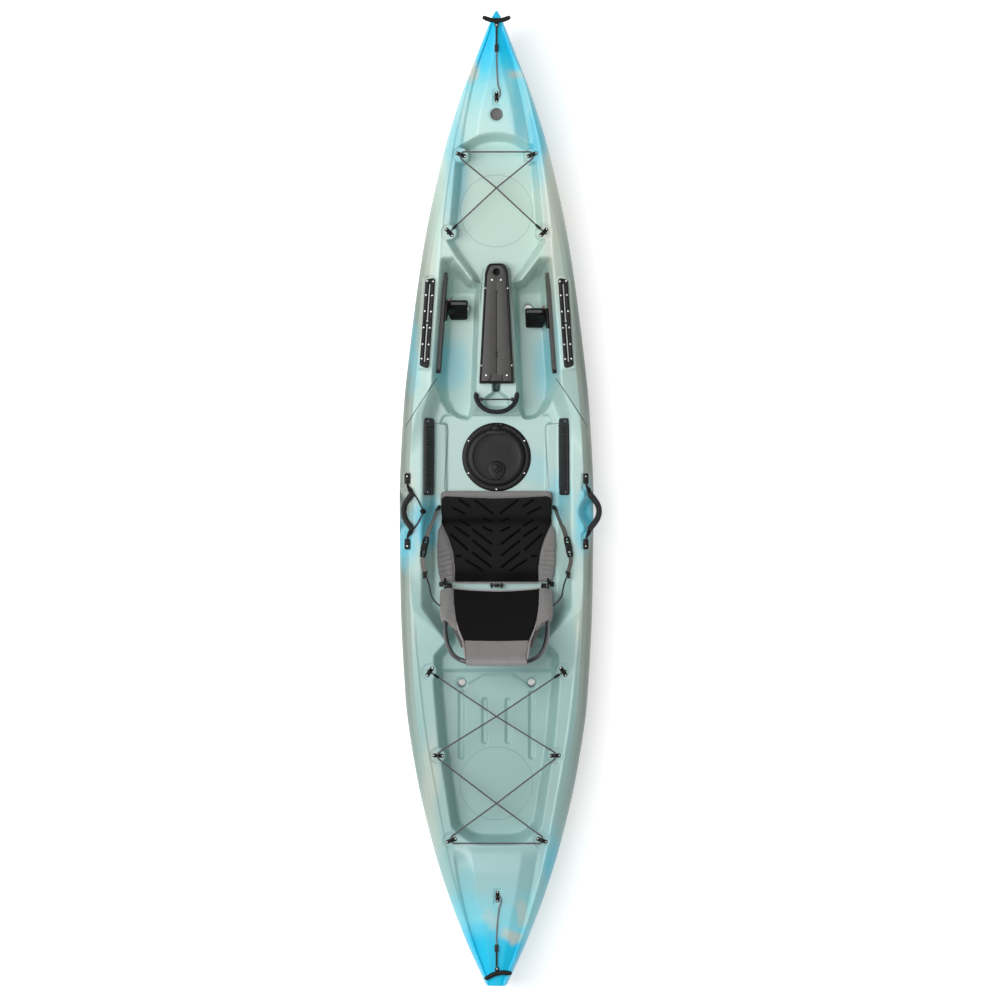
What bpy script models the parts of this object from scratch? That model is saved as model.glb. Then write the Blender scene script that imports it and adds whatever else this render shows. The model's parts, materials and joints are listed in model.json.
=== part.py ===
"""Sit-on-top fishing kayak: rotomoulded hull, hatch, seat, rails, foot braces and carry handles.

Metres. +Y points to the bow, +X to starboard and +Z up. The origin is on the keel flat, amidships.
"""

import math

import bmesh
import bpy
from mathutils import Matrix, Vector

# Driving dimensions of the hull
BOW_Y = 1.979
STERN_Y = -1.970
WALL = 0.0045
GAP = 0.0003
KEEL_FLAT = 0.085
STATION_STEP = 0.130
KEY_STATIONS = (-1.44, -1.400, 0.50, 1.43)
HOLLOW_STEPS = 14
ARC_STEP = 36.0
LIP_MARGIN = 0.030
POCKET_RISE = 0.120
POCKET_FILLET = 0.010

# Lines along the hull, as (y, value) stations from stern to bow
HALF_BEAM = [
    (-1.970, 0.045), (-1.80, 0.122), (-1.60, 0.199), (-1.40, 0.261), (-1.10, 0.330), (-0.80, 0.372),
    (-0.35, 0.393), (0.0, 0.396), (0.35, 0.381), (0.65, 0.350), (1.05, 0.294), (1.40, 0.218),
    (1.65, 0.141), (1.82, 0.074), (1.93, 0.030), (1.965, 0.015), (1.979, 0.006),
]
KEEL_Z = [
    (-1.970, 0.150), (-1.93, 0.105), (-1.85, 0.060), (-1.70, 0.024), (-1.45, 0.006), (-1.10, 0.0),
    (1.05, 0.0), (1.40, 0.008), (1.65, 0.030), (1.80, 0.070), (1.90, 0.140), (1.95, 0.225), (1.979, 0.315),
]
EDGE_Z = [
    (-1.970, 0.255), (-1.60, 0.245), (-1.0, 0.225), (-0.30, 0.205), (0.30, 0.205), (1.0, 0.235),
    (1.60, 0.290), (1.85, 0.325), (1.979, 0.342),
]
DECK_Z = [
    (-1.970, 0.315), (-1.60, 0.304), (-1.0, 0.292), (-0.60, 0.288), (-0.46, 0.282), (-0.34, 0.268),
    (0.0, 0.263), (0.34, 0.268), (0.50, 0.300), (0.56, 0.302), (0.90, 0.302), (1.0, 0.308), (1.45, 0.335),
    (1.75, 0.356), (1.90, 0.366), (1.979, 0.366),
]
SHOULDER_X = [
    (-1.970, 0.032), (-1.80, 0.094), (-1.506, 0.184), (-1.18, 0.249), (-0.90, 0.296), (-0.62, 0.328),
    (-0.45, 0.350), (-0.30, 0.368), (0.0, 0.372), (0.20, 0.362), (0.34, 0.330), (0.42, 0.285),
    (0.50, 0.250), (0.75, 0.238), (1.0, 0.228), (1.13, 0.218), (1.449, 0.173), (1.60, 0.138),
    (1.70, 0.112), (1.82, 0.060), (1.93, 0.022), (1.979, 0.003),
]
GROOVE_X = [
    (-1.970, 0.026), (-1.93, 0.040), (-1.75, 0.106), (-1.43, 0.166), (-1.30, 0.175), (1.30, 0.150),
    (1.43, 0.138), (1.76, 0.072), (1.90, 0.024), (1.979, 0.002),
]
RIDGE_X = [
    (-1.970, 0.012), (-1.93, 0.022), (-1.735, 0.052), (-1.44, 0.103), (-1.30, 0.110), (1.30, 0.080),
    (1.49, 0.076), (1.80, 0.016), (1.93, 0.006), (1.979, 0.001),
]
RIDGE_RISE = [
    (-1.970, 0.002), (-1.80, 0.012), (-1.52, 0.018), (-1.44, 0.009), (-1.40, 0.001), (-1.33, 0.0),
    (1.20, 0.0), (1.42, 0.020), (1.60, 0.020), (1.85, 0.008), (1.979, 0.001),
]
GROOVE_FALL = [
    (-1.970, 0.001), (-1.90, 0.005), (-1.80, 0.008), (-1.48, 0.008), (-1.42, 0.0), (1.42, 0.0),
    (1.49, 0.008), (1.80, 0.008), (1.90, 0.004), (1.979, 0.0005),
]
GROOVE_LIP = 0.010
SHOULDER_POWER = 2.6


def smooth_line(stations):
    """A function of y through the stations: a monotone cubic, so that it never overshoots."""
    ys = [y for y, _ in stations]
    values = [value for _, value in stations]
    slopes = [(values[i + 1] - values[i]) / (ys[i + 1] - ys[i]) for i in range(len(ys) - 1)]
    tangents = [slopes[0]]
    for before, after in zip(slopes, slopes[1:]):
        tangents.append(0.0 if before * after <= 0 else 2 * before * after / (before + after))
    tangents.append(slopes[-1])

    def value_at(y):
        y = min(max(y, ys[0]), ys[-1])
        i = 0
        while i < len(ys) - 2 and y > ys[i + 1]:
            i += 1
        span = ys[i + 1] - ys[i]
        t = (y - ys[i]) / span
        return (
            values[i] * (1 + 2 * t) * (1 - t) ** 2
            + tangents[i] * span * t * (1 - t) ** 2
            + values[i + 1] * t * t * (3 - 2 * t)
            - tangents[i + 1] * span * t * t * (1 - t)
        )

    return value_at


half_beam = smooth_line(HALF_BEAM)
keel_z = smooth_line(KEEL_Z)
edge_z = smooth_line(EDGE_Z)
deck_z = smooth_line(DECK_Z)
shoulder_x = smooth_line(SHOULDER_X)
groove_x = smooth_line(GROOVE_X)
ridge_x = smooth_line(RIDGE_X)
ridge_rise = smooth_line(RIDGE_RISE)
groove_fall = smooth_line(GROOVE_FALL)


def clear_scene():
    """Removes the objects that a new file starts with."""
    for obj in list(bpy.data.objects):
        bpy.data.objects.remove(obj)


def plastic(name, colour, roughness, metallic=0.0):
    """A Principled material."""
    material = bpy.data.materials.new(name)
    material.use_nodes = True
    shader = material.node_tree.nodes["Principled BSDF"]
    shader.inputs["Base Color"].default_value = (*colour, 1.0)
    shader.inputs["Roughness"].default_value = roughness
    shader.inputs["Metallic"].default_value = metallic
    return material


def place(name, bm, material, smooth_angle=30.0):
    """Puts a bmesh into the scene as an object, with its sharp edges kept."""
    bmesh.ops.recalc_face_normals(bm, faces=bm.faces)
    mesh = bpy.data.meshes.new(name)
    bm.to_mesh(mesh)
    bm.free()
    mesh.materials.append(material)
    mesh.shade_smooth()
    mesh.set_sharp_from_angle(angle=math.radians(smooth_angle))
    obj = bpy.data.objects.new(name, mesh)
    bpy.context.scene.collection.objects.link(obj)
    return obj


def loft(rings):
    """A bmesh skinned over rings of points, with flat caps on its two ends."""
    bm = bmesh.new()
    loops = [[bm.verts.new(point) for point in ring] for ring in rings]
    for low, high in zip(loops, loops[1:]):
        for i in range(len(low)):
            j = (i + 1) % len(low)
            bm.faces.new((low[i], low[j], high[j], high[i]))
    bm.faces.new(loops[0][::-1])
    bm.faces.new(loops[-1])
    bmesh.ops.recalc_face_normals(bm, faces=bm.faces)
    return bm


def together(parts):
    """One bmesh that holds several, which stay apart from each other."""
    whole = bmesh.new()
    for part in parts:
        mesh = bpy.data.meshes.new("piece")
        part.to_mesh(mesh)
        part.free()
        whole.from_mesh(mesh)
        bpy.data.meshes.remove(mesh)
    return whole


def hidden(obj):
    """Marks an object as a cutter, which is no piece of the kayak."""
    obj.hide_render = True
    obj.display_type = "WIRE"
    return obj


def combine(target, other, operation):
    """Adds a live Boolean to the target."""
    modifier = target.modifiers.new(f"{operation.lower()}_{other.name}", "BOOLEAN")
    modifier.operation = operation
    modifier.object = other
    modifier.solver = "EXACT"
    hidden(other)
    return modifier


# Outlines in plan: corners of (x, y, radius), joined by straight sides and rounded by arcs


def mirrored(half):
    """The whole outline from its starboard half, given from bow to stern."""
    port = [(-x, y, r) for x, y, r in reversed(half) if x > 0]
    return list(half) + port


def offset_corners(corners, grow):
    """The corners of the same outline moved outwards by grow, with its arcs kept concentric."""
    count = len(corners)
    area = sum(
        corners[i][0] * corners[(i + 1) % count][1] - corners[(i + 1) % count][0] * corners[i][1]
        for i in range(count)
    )
    turn = 1.0 if area > 0 else -1.0
    moved = []
    for i in range(count):
        here = Vector(corners[i][:2])
        before = (here - Vector(corners[i - 1][:2])).normalized()
        after = (Vector(corners[(i + 1) % count][:2]) - here).normalized()
        out_before = Vector((before.y, -before.x)) * turn
        out_after = Vector((after.y, -after.x)) * turn
        bisector = (out_before + out_after).normalized()
        point = here + bisector * (grow / max(bisector.dot(out_before), 0.3))
        convex = before.cross(after) * turn > 0
        radius = corners[i][2] + (grow if convex else -grow)
        moved.append((point.x, point.y, max(radius, 0.002)))
    return moved


def arc_steps(corners):
    """How many steps each corner's arc has: one for every 30 degrees that the corner turns."""
    steps = []
    for i in range(len(corners)):
        here = Vector(corners[i][:2])
        to_before = Vector(corners[i - 1][:2]) - here
        to_after = Vector(corners[(i + 1) % len(corners)][:2]) - here
        turn = 180.0 - math.degrees(to_before.angle(to_after))
        steps.append(max(1, round(turn / ARC_STEP)))
    return steps


def rounded(corners, steps=None):
    """Points round an outline, with its corners turned into arcs."""
    steps = steps or arc_steps(corners)
    points = []
    count = len(corners)
    for i in range(count):
        here = Vector(corners[i][:2])
        to_before = Vector(corners[i - 1][:2]) - here
        to_after = Vector(corners[(i + 1) % count][:2]) - here
        angle = to_before.angle(to_after)
        most = 0.45 * min(to_before.length, to_after.length)
        reach = min(corners[i][2] / math.tan(angle / 2), most)
        start = here + to_before.normalized() * reach
        end = here + to_after.normalized() * reach
        for step in range(steps[i] + 1):
            t = step / steps[i]
            points.append(start * (1 - t) ** 2 + here * 2 * t * (1 - t) + end * t * t)
    return points


def pocket(corners, lip, floor, draft, grow=0.0):
    """A bmesh that cuts a pocket: drafted walls down from its lip, and a softened floor edge.

    With grow it is the outside of the pocket's own wall, which has no softened edge.
    """
    run = draft / (lip - floor)
    rise = min(LIP_MARGIN, 1.5 * (lip - floor))
    levels = [(run * rise, lip + POCKET_RISE), (run * rise, lip + rise)]
    if grow:
        levels.append((-draft, floor - grow))
    else:
        fillet = min(POCKET_FILLET, 0.3 * (lip - floor))
        levels += [(-draft + run * fillet, floor + fillet), (-draft - 0.35 * fillet, floor + 0.2 * fillet)]
        levels.append((-draft - 1.1 * fillet, floor))
    steps = arc_steps(corners)
    rings = []
    for shift, z in levels[::-1]:
        rings.append([(p.x, p.y, z) for p in rounded(offset_corners(corners, shift + grow), steps)])
    return loft(rings)


def prism(corners, low, high, grow=0.0):
    """A bmesh that stands an outline up between two heights."""
    outline = rounded(offset_corners(corners, grow)) if grow else rounded(corners)
    return loft([[(p.x, p.y, z) for p in outline] for z in (low, high)])


def round_post(x, y, radius, low, high, sides=12, top_radius=None):
    """A bmesh of an upright round post."""
    rings = []
    for z, r in ((low, radius), (high, top_radius or radius)):
        rings.append([(x + u, y + v, z) for u, v in circle(r, sides)])
    return loft(rings)


# Pockets of the hull, each from its lip at deck level
BOW_WELL = mirrored([
    (0.055, 1.486, 0.20), (0.152, 1.436, 0.03), (0.165, 1.37, 0.30), (0.187, 1.12, 0.08),
    (0.214, 1.076, 0.03), (0.168, 0.995, 0.30), (0.099, 0.900, 0.03), (0.078, 0.860, 0.03),
])
SPINE_TOP = mirrored([(0.070, 0.96, 0.01), (0.115, 0.45, 0.05), (0.115, 0.372, 0.02)])
FOOTWELL = [
    (0.062, 0.890, 0.006), (0.104, 0.892, 0.012), (0.176, 0.985, 0.014), (0.225, 0.985, 0.018),
    (0.260, 0.490, 0.05), (0.252, 0.400, 0.06), (0.206, 0.325, 0.07), (0.100, 0.318, 0.03),
    (0.082, 0.380, 0.05),
]
COCKPIT = mirrored([
    (0.090, 0.400, 0.02), (0.254, 0.496, 0.02), (0.276, 0.425, 0.05), (0.3005, 0.345, 0.06),
    (0.3045, -0.440, 0.05), (0.190, -0.590, 0.02),
])
COCKPIT_FLOOR = mirrored([
    (0.085, 0.350, 0.02), (0.216, 0.350, 0.02), (0.236, 0.313, 0.01), (0.207, 0.313, 0.012),
    (0.207, -0.455, 0.03),
])
BEHIND_SEAT = mirrored([
    (0.190, -0.450, 0.01), (0.2007, -0.572, 0.015), (0.2527, -0.632, 0.020), (0.2545, -0.760, 0.02),
])
TANK_WELL = mirrored([
    (0.2545, -0.668, 0.02), (0.2545, -0.753, 0.3), (0.233, -1.0, 0.5), (0.181, -1.335, 0.05),
    (0.100, -1.398, 0.20),
])
HAND_SLOT = mirrored([
    (0.016, 0.486, 0.003), (0.016, 0.440, 0.01), (0.053, 0.415, 0.02), (0.053, 0.372, 0.02),
])
GRIP_SCOOP = [
    (0.396, 0.056, 0.01), (0.318, -0.0475, 0.11), (0.396, -0.151, 0.01), (0.470, -0.190, 0.01),
    (0.470, 0.095, 0.01),
]
GROOVES = {
    "outer": [(0.132, -0.781, 0.01), (0.156, -0.781, 0.01), (0.156, -1.056, 0.01), (0.132, -1.056, 0.01)],
    "inner": [(0.036, -0.814, 0.01), (0.060, -0.814, 0.01), (0.060, -0.993, 0.01), (0.036, -0.993, 0.01)],
}

BOW_FLOOR = 0.235
SPINE_FLOOR = 0.236
FOOT_FLOOR = 0.095
LEDGE_FLOOR = 0.162
SEAT_FLOOR = 0.150
BEHIND_FLOOR = 0.197
TANK_FLOOR = 0.187
GROOVE_FLOOR = 0.179
SCOOP_FLOOR = 0.178
FOOT_DRAFT = 0.034
SIDE_DRAFT = 0.043


def stations(step):
    """Stations along the hull: evenly spaced, with more at the tips and where the end decks begin."""
    count = round((BOW_Y - STERN_Y - 0.20) / step)
    inner = [STERN_Y + 0.10 + (BOW_Y - STERN_Y - 0.20) * i / count for i in range(count + 1)]
    inner = [y for y in inner if min(abs(y - key) for key in KEY_STATIONS) > 0.03] + list(KEY_STATIONS)
    return [STERN_Y, STERN_Y + 0.04] + sorted(inner) + [BOW_Y - 0.055, BOW_Y - 0.022, BOW_Y - 0.007, BOW_Y]


def deck_half(y):
    """Points of the deck's section from the centre line out to the widest line."""
    deck = deck_z(y)
    edge = edge_z(y)
    inner = shoulder_x(y)
    beam = half_beam(y)
    points = [
        (0.0, deck + ridge_rise(y)),
        (ridge_x(y), deck + ridge_rise(y)),
        (groove_x(y), deck - groove_fall(y)),
        (min(groove_x(y) + GROOVE_LIP, 0.5 * (groove_x(y) + inner)), deck),
        (inner, deck),
    ]
    for t in (0.40, 0.70, 0.91, 1.0):
        height = (1 - t**SHOULDER_POWER) ** (1 / SHOULDER_POWER)
        points.append((inner + t * (beam - inner), edge + (deck - edge) * height))
    return points


def bottom_half(y):
    """Points of the bottom's section from below the widest line in to the keel's centre."""
    beam = half_beam(y)
    keel = keel_z(y)
    depth = edge_z(y) - keel
    flat = min(KEEL_FLAT, KEEL_FLAT * (beam / 0.36) ** 1.3)
    return [
        (beam * 0.985, keel + 0.55 * depth),
        (beam * 0.940, keel + 0.24 * depth),
        (beam * 0.870, keel + 0.115 * depth),
        (beam * 0.740, keel),
        (beam * 0.500, keel + 0.085 * depth),
        (flat, keel),
        (0.0, keel),
    ]


def whole_ring(half, y):
    """A closed section at y from its starboard half, which runs from the deck's centre to the keel's."""
    port = [(-x, z) for x, z in reversed(half[1:-1])]
    return [(x, y, z) for x, z in half + port]


def outer_skin():
    """The hull's outside, before its pockets."""
    return loft([whole_ring(deck_half(y) + bottom_half(y), y) for y in stations(STATION_STEP)])


def inner_half(y):
    """The starboard half of the hollow's section: the outside moved in by the wall, with fewer points."""
    beam = half_beam(y) - WALL
    deck = deck_z(y) - groove_fall(y) - WALL
    edge = edge_z(y)
    keel = keel_z(y) + WALL
    depth = edge - keel
    inner = min(shoulder_x(y), beam * 0.95)
    flat = min(KEEL_FLAT, KEEL_FLAT * (half_beam(y) / 0.36) ** 1.3) - WALL
    points = [(0.0, deck), (inner, deck)]
    for t in (0.5, 0.8, 1.0):
        height = (1 - t**SHOULDER_POWER) ** (1 / SHOULDER_POWER)
        points.append((inner + t * (beam - inner), edge + (deck - edge) * height))
    points += [
        (beam * 0.975, keel + 0.55 * depth),
        (beam * 0.930, keel + 0.30 * depth),
        (beam * 0.840, keel + 0.115 * depth),
        (beam * 0.700, keel + 0.037 * depth),
        (beam * 0.480, keel + 0.090 * depth),
        (flat, keel),
        (0.0, keel),
    ]
    return points


def inner_skin():
    """The hollow inside the hull, before what the pockets take from it."""
    low = STERN_Y + 0.05
    high = BOW_Y - 0.13
    ys = [low + (high - low) * i / HOLLOW_STEPS for i in range(HOLLOW_STEPS + 1)]
    return loft([whole_ring(inner_half(y), y) for y in ys])


def flipped(corners):
    """The outline on the other side of the boat."""
    return [(-x, y, r) for x, y, r in reversed(corners)]


# Each pocket as its outline, lip height, floor height and how far its walls run in
POCKETS = {
    "bow_well": (BOW_WELL, 0.330, BOW_FLOOR, 0.020),
    "spine_top": (SPINE_TOP, 0.320, SPINE_FLOOR, 0.010),
    "footwell_right": (FOOTWELL, 0.300, FOOT_FLOOR, FOOT_DRAFT),
    "footwell_left": (flipped(FOOTWELL), 0.300, FOOT_FLOOR, FOOT_DRAFT),
    "cockpit": (COCKPIT, 0.268, LEDGE_FLOOR, SIDE_DRAFT),
    "cockpit_floor": (COCKPIT_FLOOR, LEDGE_FLOOR, SEAT_FLOOR, 0.004),
    "hand_slot": (HAND_SLOT, SPINE_FLOOR, 0.195, 0.008),
    "behind_seat": (BEHIND_SEAT, 0.288, BEHIND_FLOOR, 0.026),
    "tank_well": (TANK_WELL, 0.290, TANK_FLOOR, 0.028),
    "scoop_right": (GRIP_SCOOP, 0.262, SCOOP_FLOOR, 0.010),
    "scoop_left": (flipped(GRIP_SCOOP), 0.262, SCOOP_FLOOR, 0.010),
}
for groove_name, groove in GROOVES.items():
    POCKETS[f"{groove_name}_groove_right"] = (groove, TANK_FLOOR, GROOVE_FLOOR, 0.003)
    POCKETS[f"{groove_name}_groove_left"] = (flipped(groove), TANK_FLOOR, GROOVE_FLOOR, 0.003)

# Scupper tubes through the floors, as (x, y)
SCUPPERS = [(0.1305, 0.788), (0.125, -0.16), (0.1425, -0.748)]
SCUPPER_R = 0.0157
SCUPPER_TUBE_R = 0.0215

HATCH_Y = 0.176
HATCH_HOLE_R = 0.103

# Seats of the pad eyes, as (x, y): flat eight-sided bosses let into the deck beside the two open wells
EYE_SEATS = {
    "bow_front": (0.144, 1.400), "bow_rear": (0.192, 1.087), "tank_front": (0.2715, -0.698),
    "tank_middle": (0.2375, -1.039), "tank_rear": (0.184, -1.383),
}
EYE_SEAT_R = 0.031
EYE_SEAT_DROP = 0.0020

# Flat pads under the accessory rails: the ends of each rail's centre line
RAIL_FRONT = Vector((0.269, 0.899))
RAIL_REAR = Vector((0.294, 0.539))
RAIL_WIDTH = 0.039
RAIL_SEAT_Z = 0.300


def eye_seat_z(name):
    """Height of a pad eye's seat."""
    return deck_z(EYE_SEATS[name][1]) - EYE_SEAT_DROP


def octagon(x, y, radius):
    """An eight-sided outline with its flats facing along the axes."""
    turn = math.pi / 8
    return [
        (x + radius * math.cos(turn + i * 2 * turn), y + radius * math.sin(turn + i * 2 * turn))
        for i in range(8)
    ]


def octagon_post(x, y, radius, low, high):
    """A bmesh of an upright eight-sided post."""
    return loft([[(px, py, z) for px, py in octagon(x, y, radius)] for z in (low, high)])


def rail_outline(side, margin):
    """The four corners of a rail in plan, moved out by margin."""
    along = (RAIL_FRONT - RAIL_REAR).normalized()
    across = Vector((along.y, -along.x))
    half = RAIL_WIDTH / 2 + margin
    ends = (RAIL_REAR - along * margin, RAIL_FRONT + along * margin)
    shift = across * half
    corners = [ends[0] - shift, ends[0] + shift, ends[1] + shift, ends[1] - shift]
    radius = 0.008 + margin
    outline = [(side * c.x, c.y, radius) for c in corners]
    return outline if side > 0 else outline[::-1]


# Flat seats let into the deck: the two end pad eyes, the badge and the carry handles' mounts
END_EYE_Y = {"bow": 1.632, "stern": -1.610}
END_EYE_X = {"bow": 0.0, "stern": 0.004}
BADGE_Y = 1.562
BADGE_R = 0.025
SEAT_SINK = 0.0025
MOUNT_X = 0.3635
MOUNT_Y = (0.0875, -0.1795)
MOUNT_Z = 0.2620


def deck_frame(x, y, reach=0.04):
    """The frame on the centre of the end decks: x across, y along the deck and z off it, sunk a little."""
    low = deck_z(y - reach) + ridge_rise(y - reach)
    high = deck_z(y + reach) + ridge_rise(y + reach)
    slope = Vector((0.0, 2 * reach, high - low)).normalized()
    middle = min((low + high) / 2, deck_z(y) + ridge_rise(y)) - SEAT_SINK
    return frame_matrix((x, y, middle), (1, 0, 0), slope)


def deck_recesses(seats):
    """The bmeshes that cut the flat seats of every fitting into the deck."""
    cuts = [octagon_post(x, y, EYE_SEAT_R + 0.001, top, top + 0.06) for x, y, top in seats]
    for side in (1, -1):
        cuts.append(prism(rail_outline(side, 0.007), RAIL_SEAT_Z, RAIL_SEAT_Z + 0.05))
        for y in MOUNT_Y:
            cuts.append(slab(rectangle(side * MOUNT_X, y, 0.0125, 0.0225, 0.006), MOUNT_Z, MOUNT_Z + 0.03))
    for end in ("bow", "stern"):
        frame = deck_frame(END_EYE_X[end], END_EYE_Y[end])
        cuts.append(slab(rectangle(0.0, 0.0, 0.011, 0.026, 0.004), 0.0, 0.02, matrix=frame))
    badge = round_post(0.0, 0.0, BADGE_R + 0.001, 0.0, 0.02, sides=20)
    bmesh.ops.transform(badge, matrix=deck_frame(0.0, BADGE_Y), verts=badge.verts)
    return cuts + [badge]


def hull_shell(material):
    """The hollow hull: its outside, less its recesses, pockets, hollow, scuppers and hatch hole."""
    hull = place("hull", outer_skin(), material)
    hollow = place("hollow", inner_skin(), material)
    seats = [(side * x, y, eye_seat_z(key)) for key, (x, y) in EYE_SEATS.items() for side in (1, -1)]
    pads = [prism(rail_outline(side, 0.004), RAIL_SEAT_Z - 0.013, RAIL_SEAT_Z + 0.0011) for side in (1, -1)]
    combine(hull, place("rail_pads", together(pads), material), "UNION")
    combine(hull, place("deck_recesses", together(deck_recesses(seats)), material), "DIFFERENCE")
    for name, (corners, lip, floor, draft) in POCKETS.items():
        grown = place(f"{name}_walls", pocket(corners, lip, floor, draft, grow=WALL), material)
        cut = place(f"{name}_cut", pocket(corners, lip, floor, draft), material)
        if name in ("bow_well", "tank_well"):
            near = [seat for seat in seats if (seat[1] > 0) == (name == "bow_well")]
            inner = [octagon_post(x, y, EYE_SEAT_R - WALL, floor - 0.03, top - WALL) for x, y, top in near]
            outer = [octagon_post(x, y, EYE_SEAT_R, floor - 0.03, top + 0.002) for x, y, top in near]
            combine(grown, place(f"{name}_seat_cores", together(inner), material), "DIFFERENCE")
            combine(cut, place(f"{name}_seats", together(outer), material), "DIFFERENCE")
        combine(hollow, grown, "DIFFERENCE")
        combine(hull, cut, "DIFFERENCE")
    places = [(side * x, y) for side in (1, -1) for x, y in SCUPPERS]
    tubes = [round_post(x, y, SCUPPER_TUBE_R, -0.05, 0.24) for x, y in places]
    combine(hollow, place("scupper_tubes", together(tubes), material), "DIFFERENCE")
    combine(hull, hollow, "DIFFERENCE")
    bores = [round_post(x, y, SCUPPER_R, -0.05, 0.24) for x, y in places]
    bores.append(round_post(0.0, HATCH_Y, HATCH_HOLE_R, 0.12, 0.20, sides=32))
    combine(hull, place("bores", together(bores), material), "DIFFERENCE")
    return hull


# Shapes for the fittings


def section_ring(centre, tangent, up, section):
    """Points of a section standing square to the tangent, with its second axis towards up."""
    side = tangent.cross(up).normalized()
    over = side.cross(tangent).normalized()
    return [centre + side * u + over * v for u, v in section]


def swept(path, section, up=(0.0, 0.0, 1.0), scales=None):
    """A bmesh of a section swept along a path, mitred at its bends."""
    points = [Vector(p) for p in path]
    rings = []
    for i, point in enumerate(points):
        before = (point - points[i - 1]).normalized() if i else None
        after = (points[i + 1] - point).normalized() if i < len(points) - 1 else None
        tangent = ((before or after) + (after or before)).normalized()
        scale = scales[i] if scales else 1.0
        rings.append(section_ring(point, tangent, Vector(up), [(u * scale, v * scale) for u, v in section]))
    return loft(rings)


def circle(radius, sides=10):
    """A round section."""
    angles = [2 * math.pi * i / sides for i in range(sides)]
    return [(radius * math.cos(a), radius * math.sin(a)) for a in angles]


def strip(width, thickness):
    """A flat section with its two faces up and down."""
    x = width / 2
    z = thickness / 2
    return [(-x, -z), (x, -z), (x, z), (-x, z)]


def flowing(controls, step):
    """Points about a step apart on a smooth curve through the controls."""
    points = [Vector(c) for c in controls]
    points = [points[0] * 2 - points[1]] + points + [points[-1] * 2 - points[-2]]
    found = []
    for a, b, c, d in zip(points, points[1:], points[2:], points[3:]):
        count = max(1, round((c - b).length / step))
        reach = (c - b).length
        start = (c - a).normalized() * reach
        end = (d - b).normalized() * reach
        for i in range(count):
            t = i / count
            leaving = b * (1 + 2 * t) * (1 - t) ** 2 + start * t * (1 - t) ** 2
            found.append(leaving + c * t * t * (3 - 2 * t) - end * t * t * (1 - t))
    found.append(points[-2])
    return found


def cord(name, path, radius, material, resolution=2):
    """A round cord as a curve tube with closed ends."""
    curve = bpy.data.curves.new(name, "CURVE")
    curve.dimensions = "3D"
    spline = curve.splines.new("POLY")
    spline.points.add(len(path) - 1)
    for point, place_at in zip(spline.points, path):
        point.co = (*place_at, 1.0)
    curve.bevel_depth = radius
    curve.bevel_resolution = resolution
    curve.use_fill_caps = True
    curve.materials.append(material)
    obj = bpy.data.objects.new(name, curve)
    bpy.context.scene.collection.objects.link(obj)
    return obj


def turned(profile, steps, centre):
    """A bmesh of a profile of (radius, z) turned about an upright axis through the centre.

    A profile that starts and ends on the axis makes a disc, and any other makes a ring.
    """
    bm = bmesh.new()
    on_axis = profile[0][0] == 0.0
    columns = []
    for radius, z in profile:
        if radius == 0.0:
            columns.append([bm.verts.new((centre[0], centre[1], z))] * steps)
        else:
            columns.append([
                bm.verts.new((
                    centre[0] + radius * math.cos(2 * math.pi * i / steps),
                    centre[1] + radius * math.sin(2 * math.pi * i / steps),
                    z,
                ))
                for i in range(steps)
            ])
    pairs = list(zip(columns, columns[1:]))
    if not on_axis:
        pairs.append((columns[-1], columns[0]))
    for low, high in pairs:
        for i in range(steps):
            j = (i + 1) % steps
            corners = [low[i], low[j], high[j], high[i]]
            kept = [v for k, v in enumerate(corners) if v is not corners[k - 1]]
            bm.faces.new(kept)
    bmesh.ops.recalc_face_normals(bm, faces=bm.faces)
    return bm


def block(size, centre=(0.0, 0.0, 0.0), chamfer=0.0, matrix=None):
    """A bmesh of a box, with its edges chamfered when asked."""
    bm = bmesh.new()
    bmesh.ops.create_cube(bm, size=1.0)
    bmesh.ops.scale(bm, vec=size, verts=bm.verts)
    bmesh.ops.translate(bm, vec=centre, verts=bm.verts)
    if chamfer:
        bmesh.ops.bevel(
            bm, geom=bm.edges, offset=chamfer, offset_type="OFFSET", segments=1, profile=0.5,
            affect="EDGES", material=-1,
        )
    if matrix:
        bmesh.ops.transform(bm, matrix=matrix, verts=bm.verts)
    return bm


def slab(corners, low, high, chamfer=0.0, matrix=None):
    """A bmesh of an outline with thickness, with its top edge chamfered when asked."""
    steps = arc_steps(corners)
    levels = [(0.0, low), (0.0, high - chamfer)] if chamfer else [(0.0, low), (0.0, high)]
    if chamfer:
        levels.append((-chamfer, high))
    rings = []
    for shift, z in levels:
        outline = rounded(offset_corners(corners, shift), steps) if shift else rounded(corners, steps)
        rings.append([(p.x, p.y, z) for p in outline])
    bm = loft(rings)
    if matrix:
        bmesh.ops.transform(bm, matrix=matrix, verts=bm.verts)
    return bm


def rectangle(x, y, half_width, half_length, radius):
    """A rectangle's outline with rounded corners."""
    return [
        (x - half_width, y - half_length, radius), (x + half_width, y - half_length, radius),
        (x + half_width, y + half_length, radius), (x - half_width, y + half_length, radius),
    ]


def frame_matrix(origin, x_axis, y_axis):
    """The matrix that takes x and y to the two axes and z to their cross product."""
    x_axis = Vector(x_axis).normalized()
    z_axis = x_axis.cross(Vector(y_axis)).normalized()
    y_axis = z_axis.cross(x_axis)
    matrix = Matrix((x_axis, y_axis, z_axis)).transposed().to_4x4()
    matrix.translation = Vector(origin)
    return matrix


def pivot(name, position, axis, children):
    """An empty on a joint's axis, which its pieces hang from."""
    empty = bpy.data.objects.new(name, None)
    empty.location = position
    empty.rotation_mode = "QUATERNION"
    empty.rotation_quaternion = Vector(axis).to_track_quat("Z", "Y")
    bpy.context.scene.collection.objects.link(empty)
    bpy.context.view_layer.update()
    for child in children:
        child.parent = empty
        child.matrix_parent_inverse = empty.matrix_world.inverted()
    return empty


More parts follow.
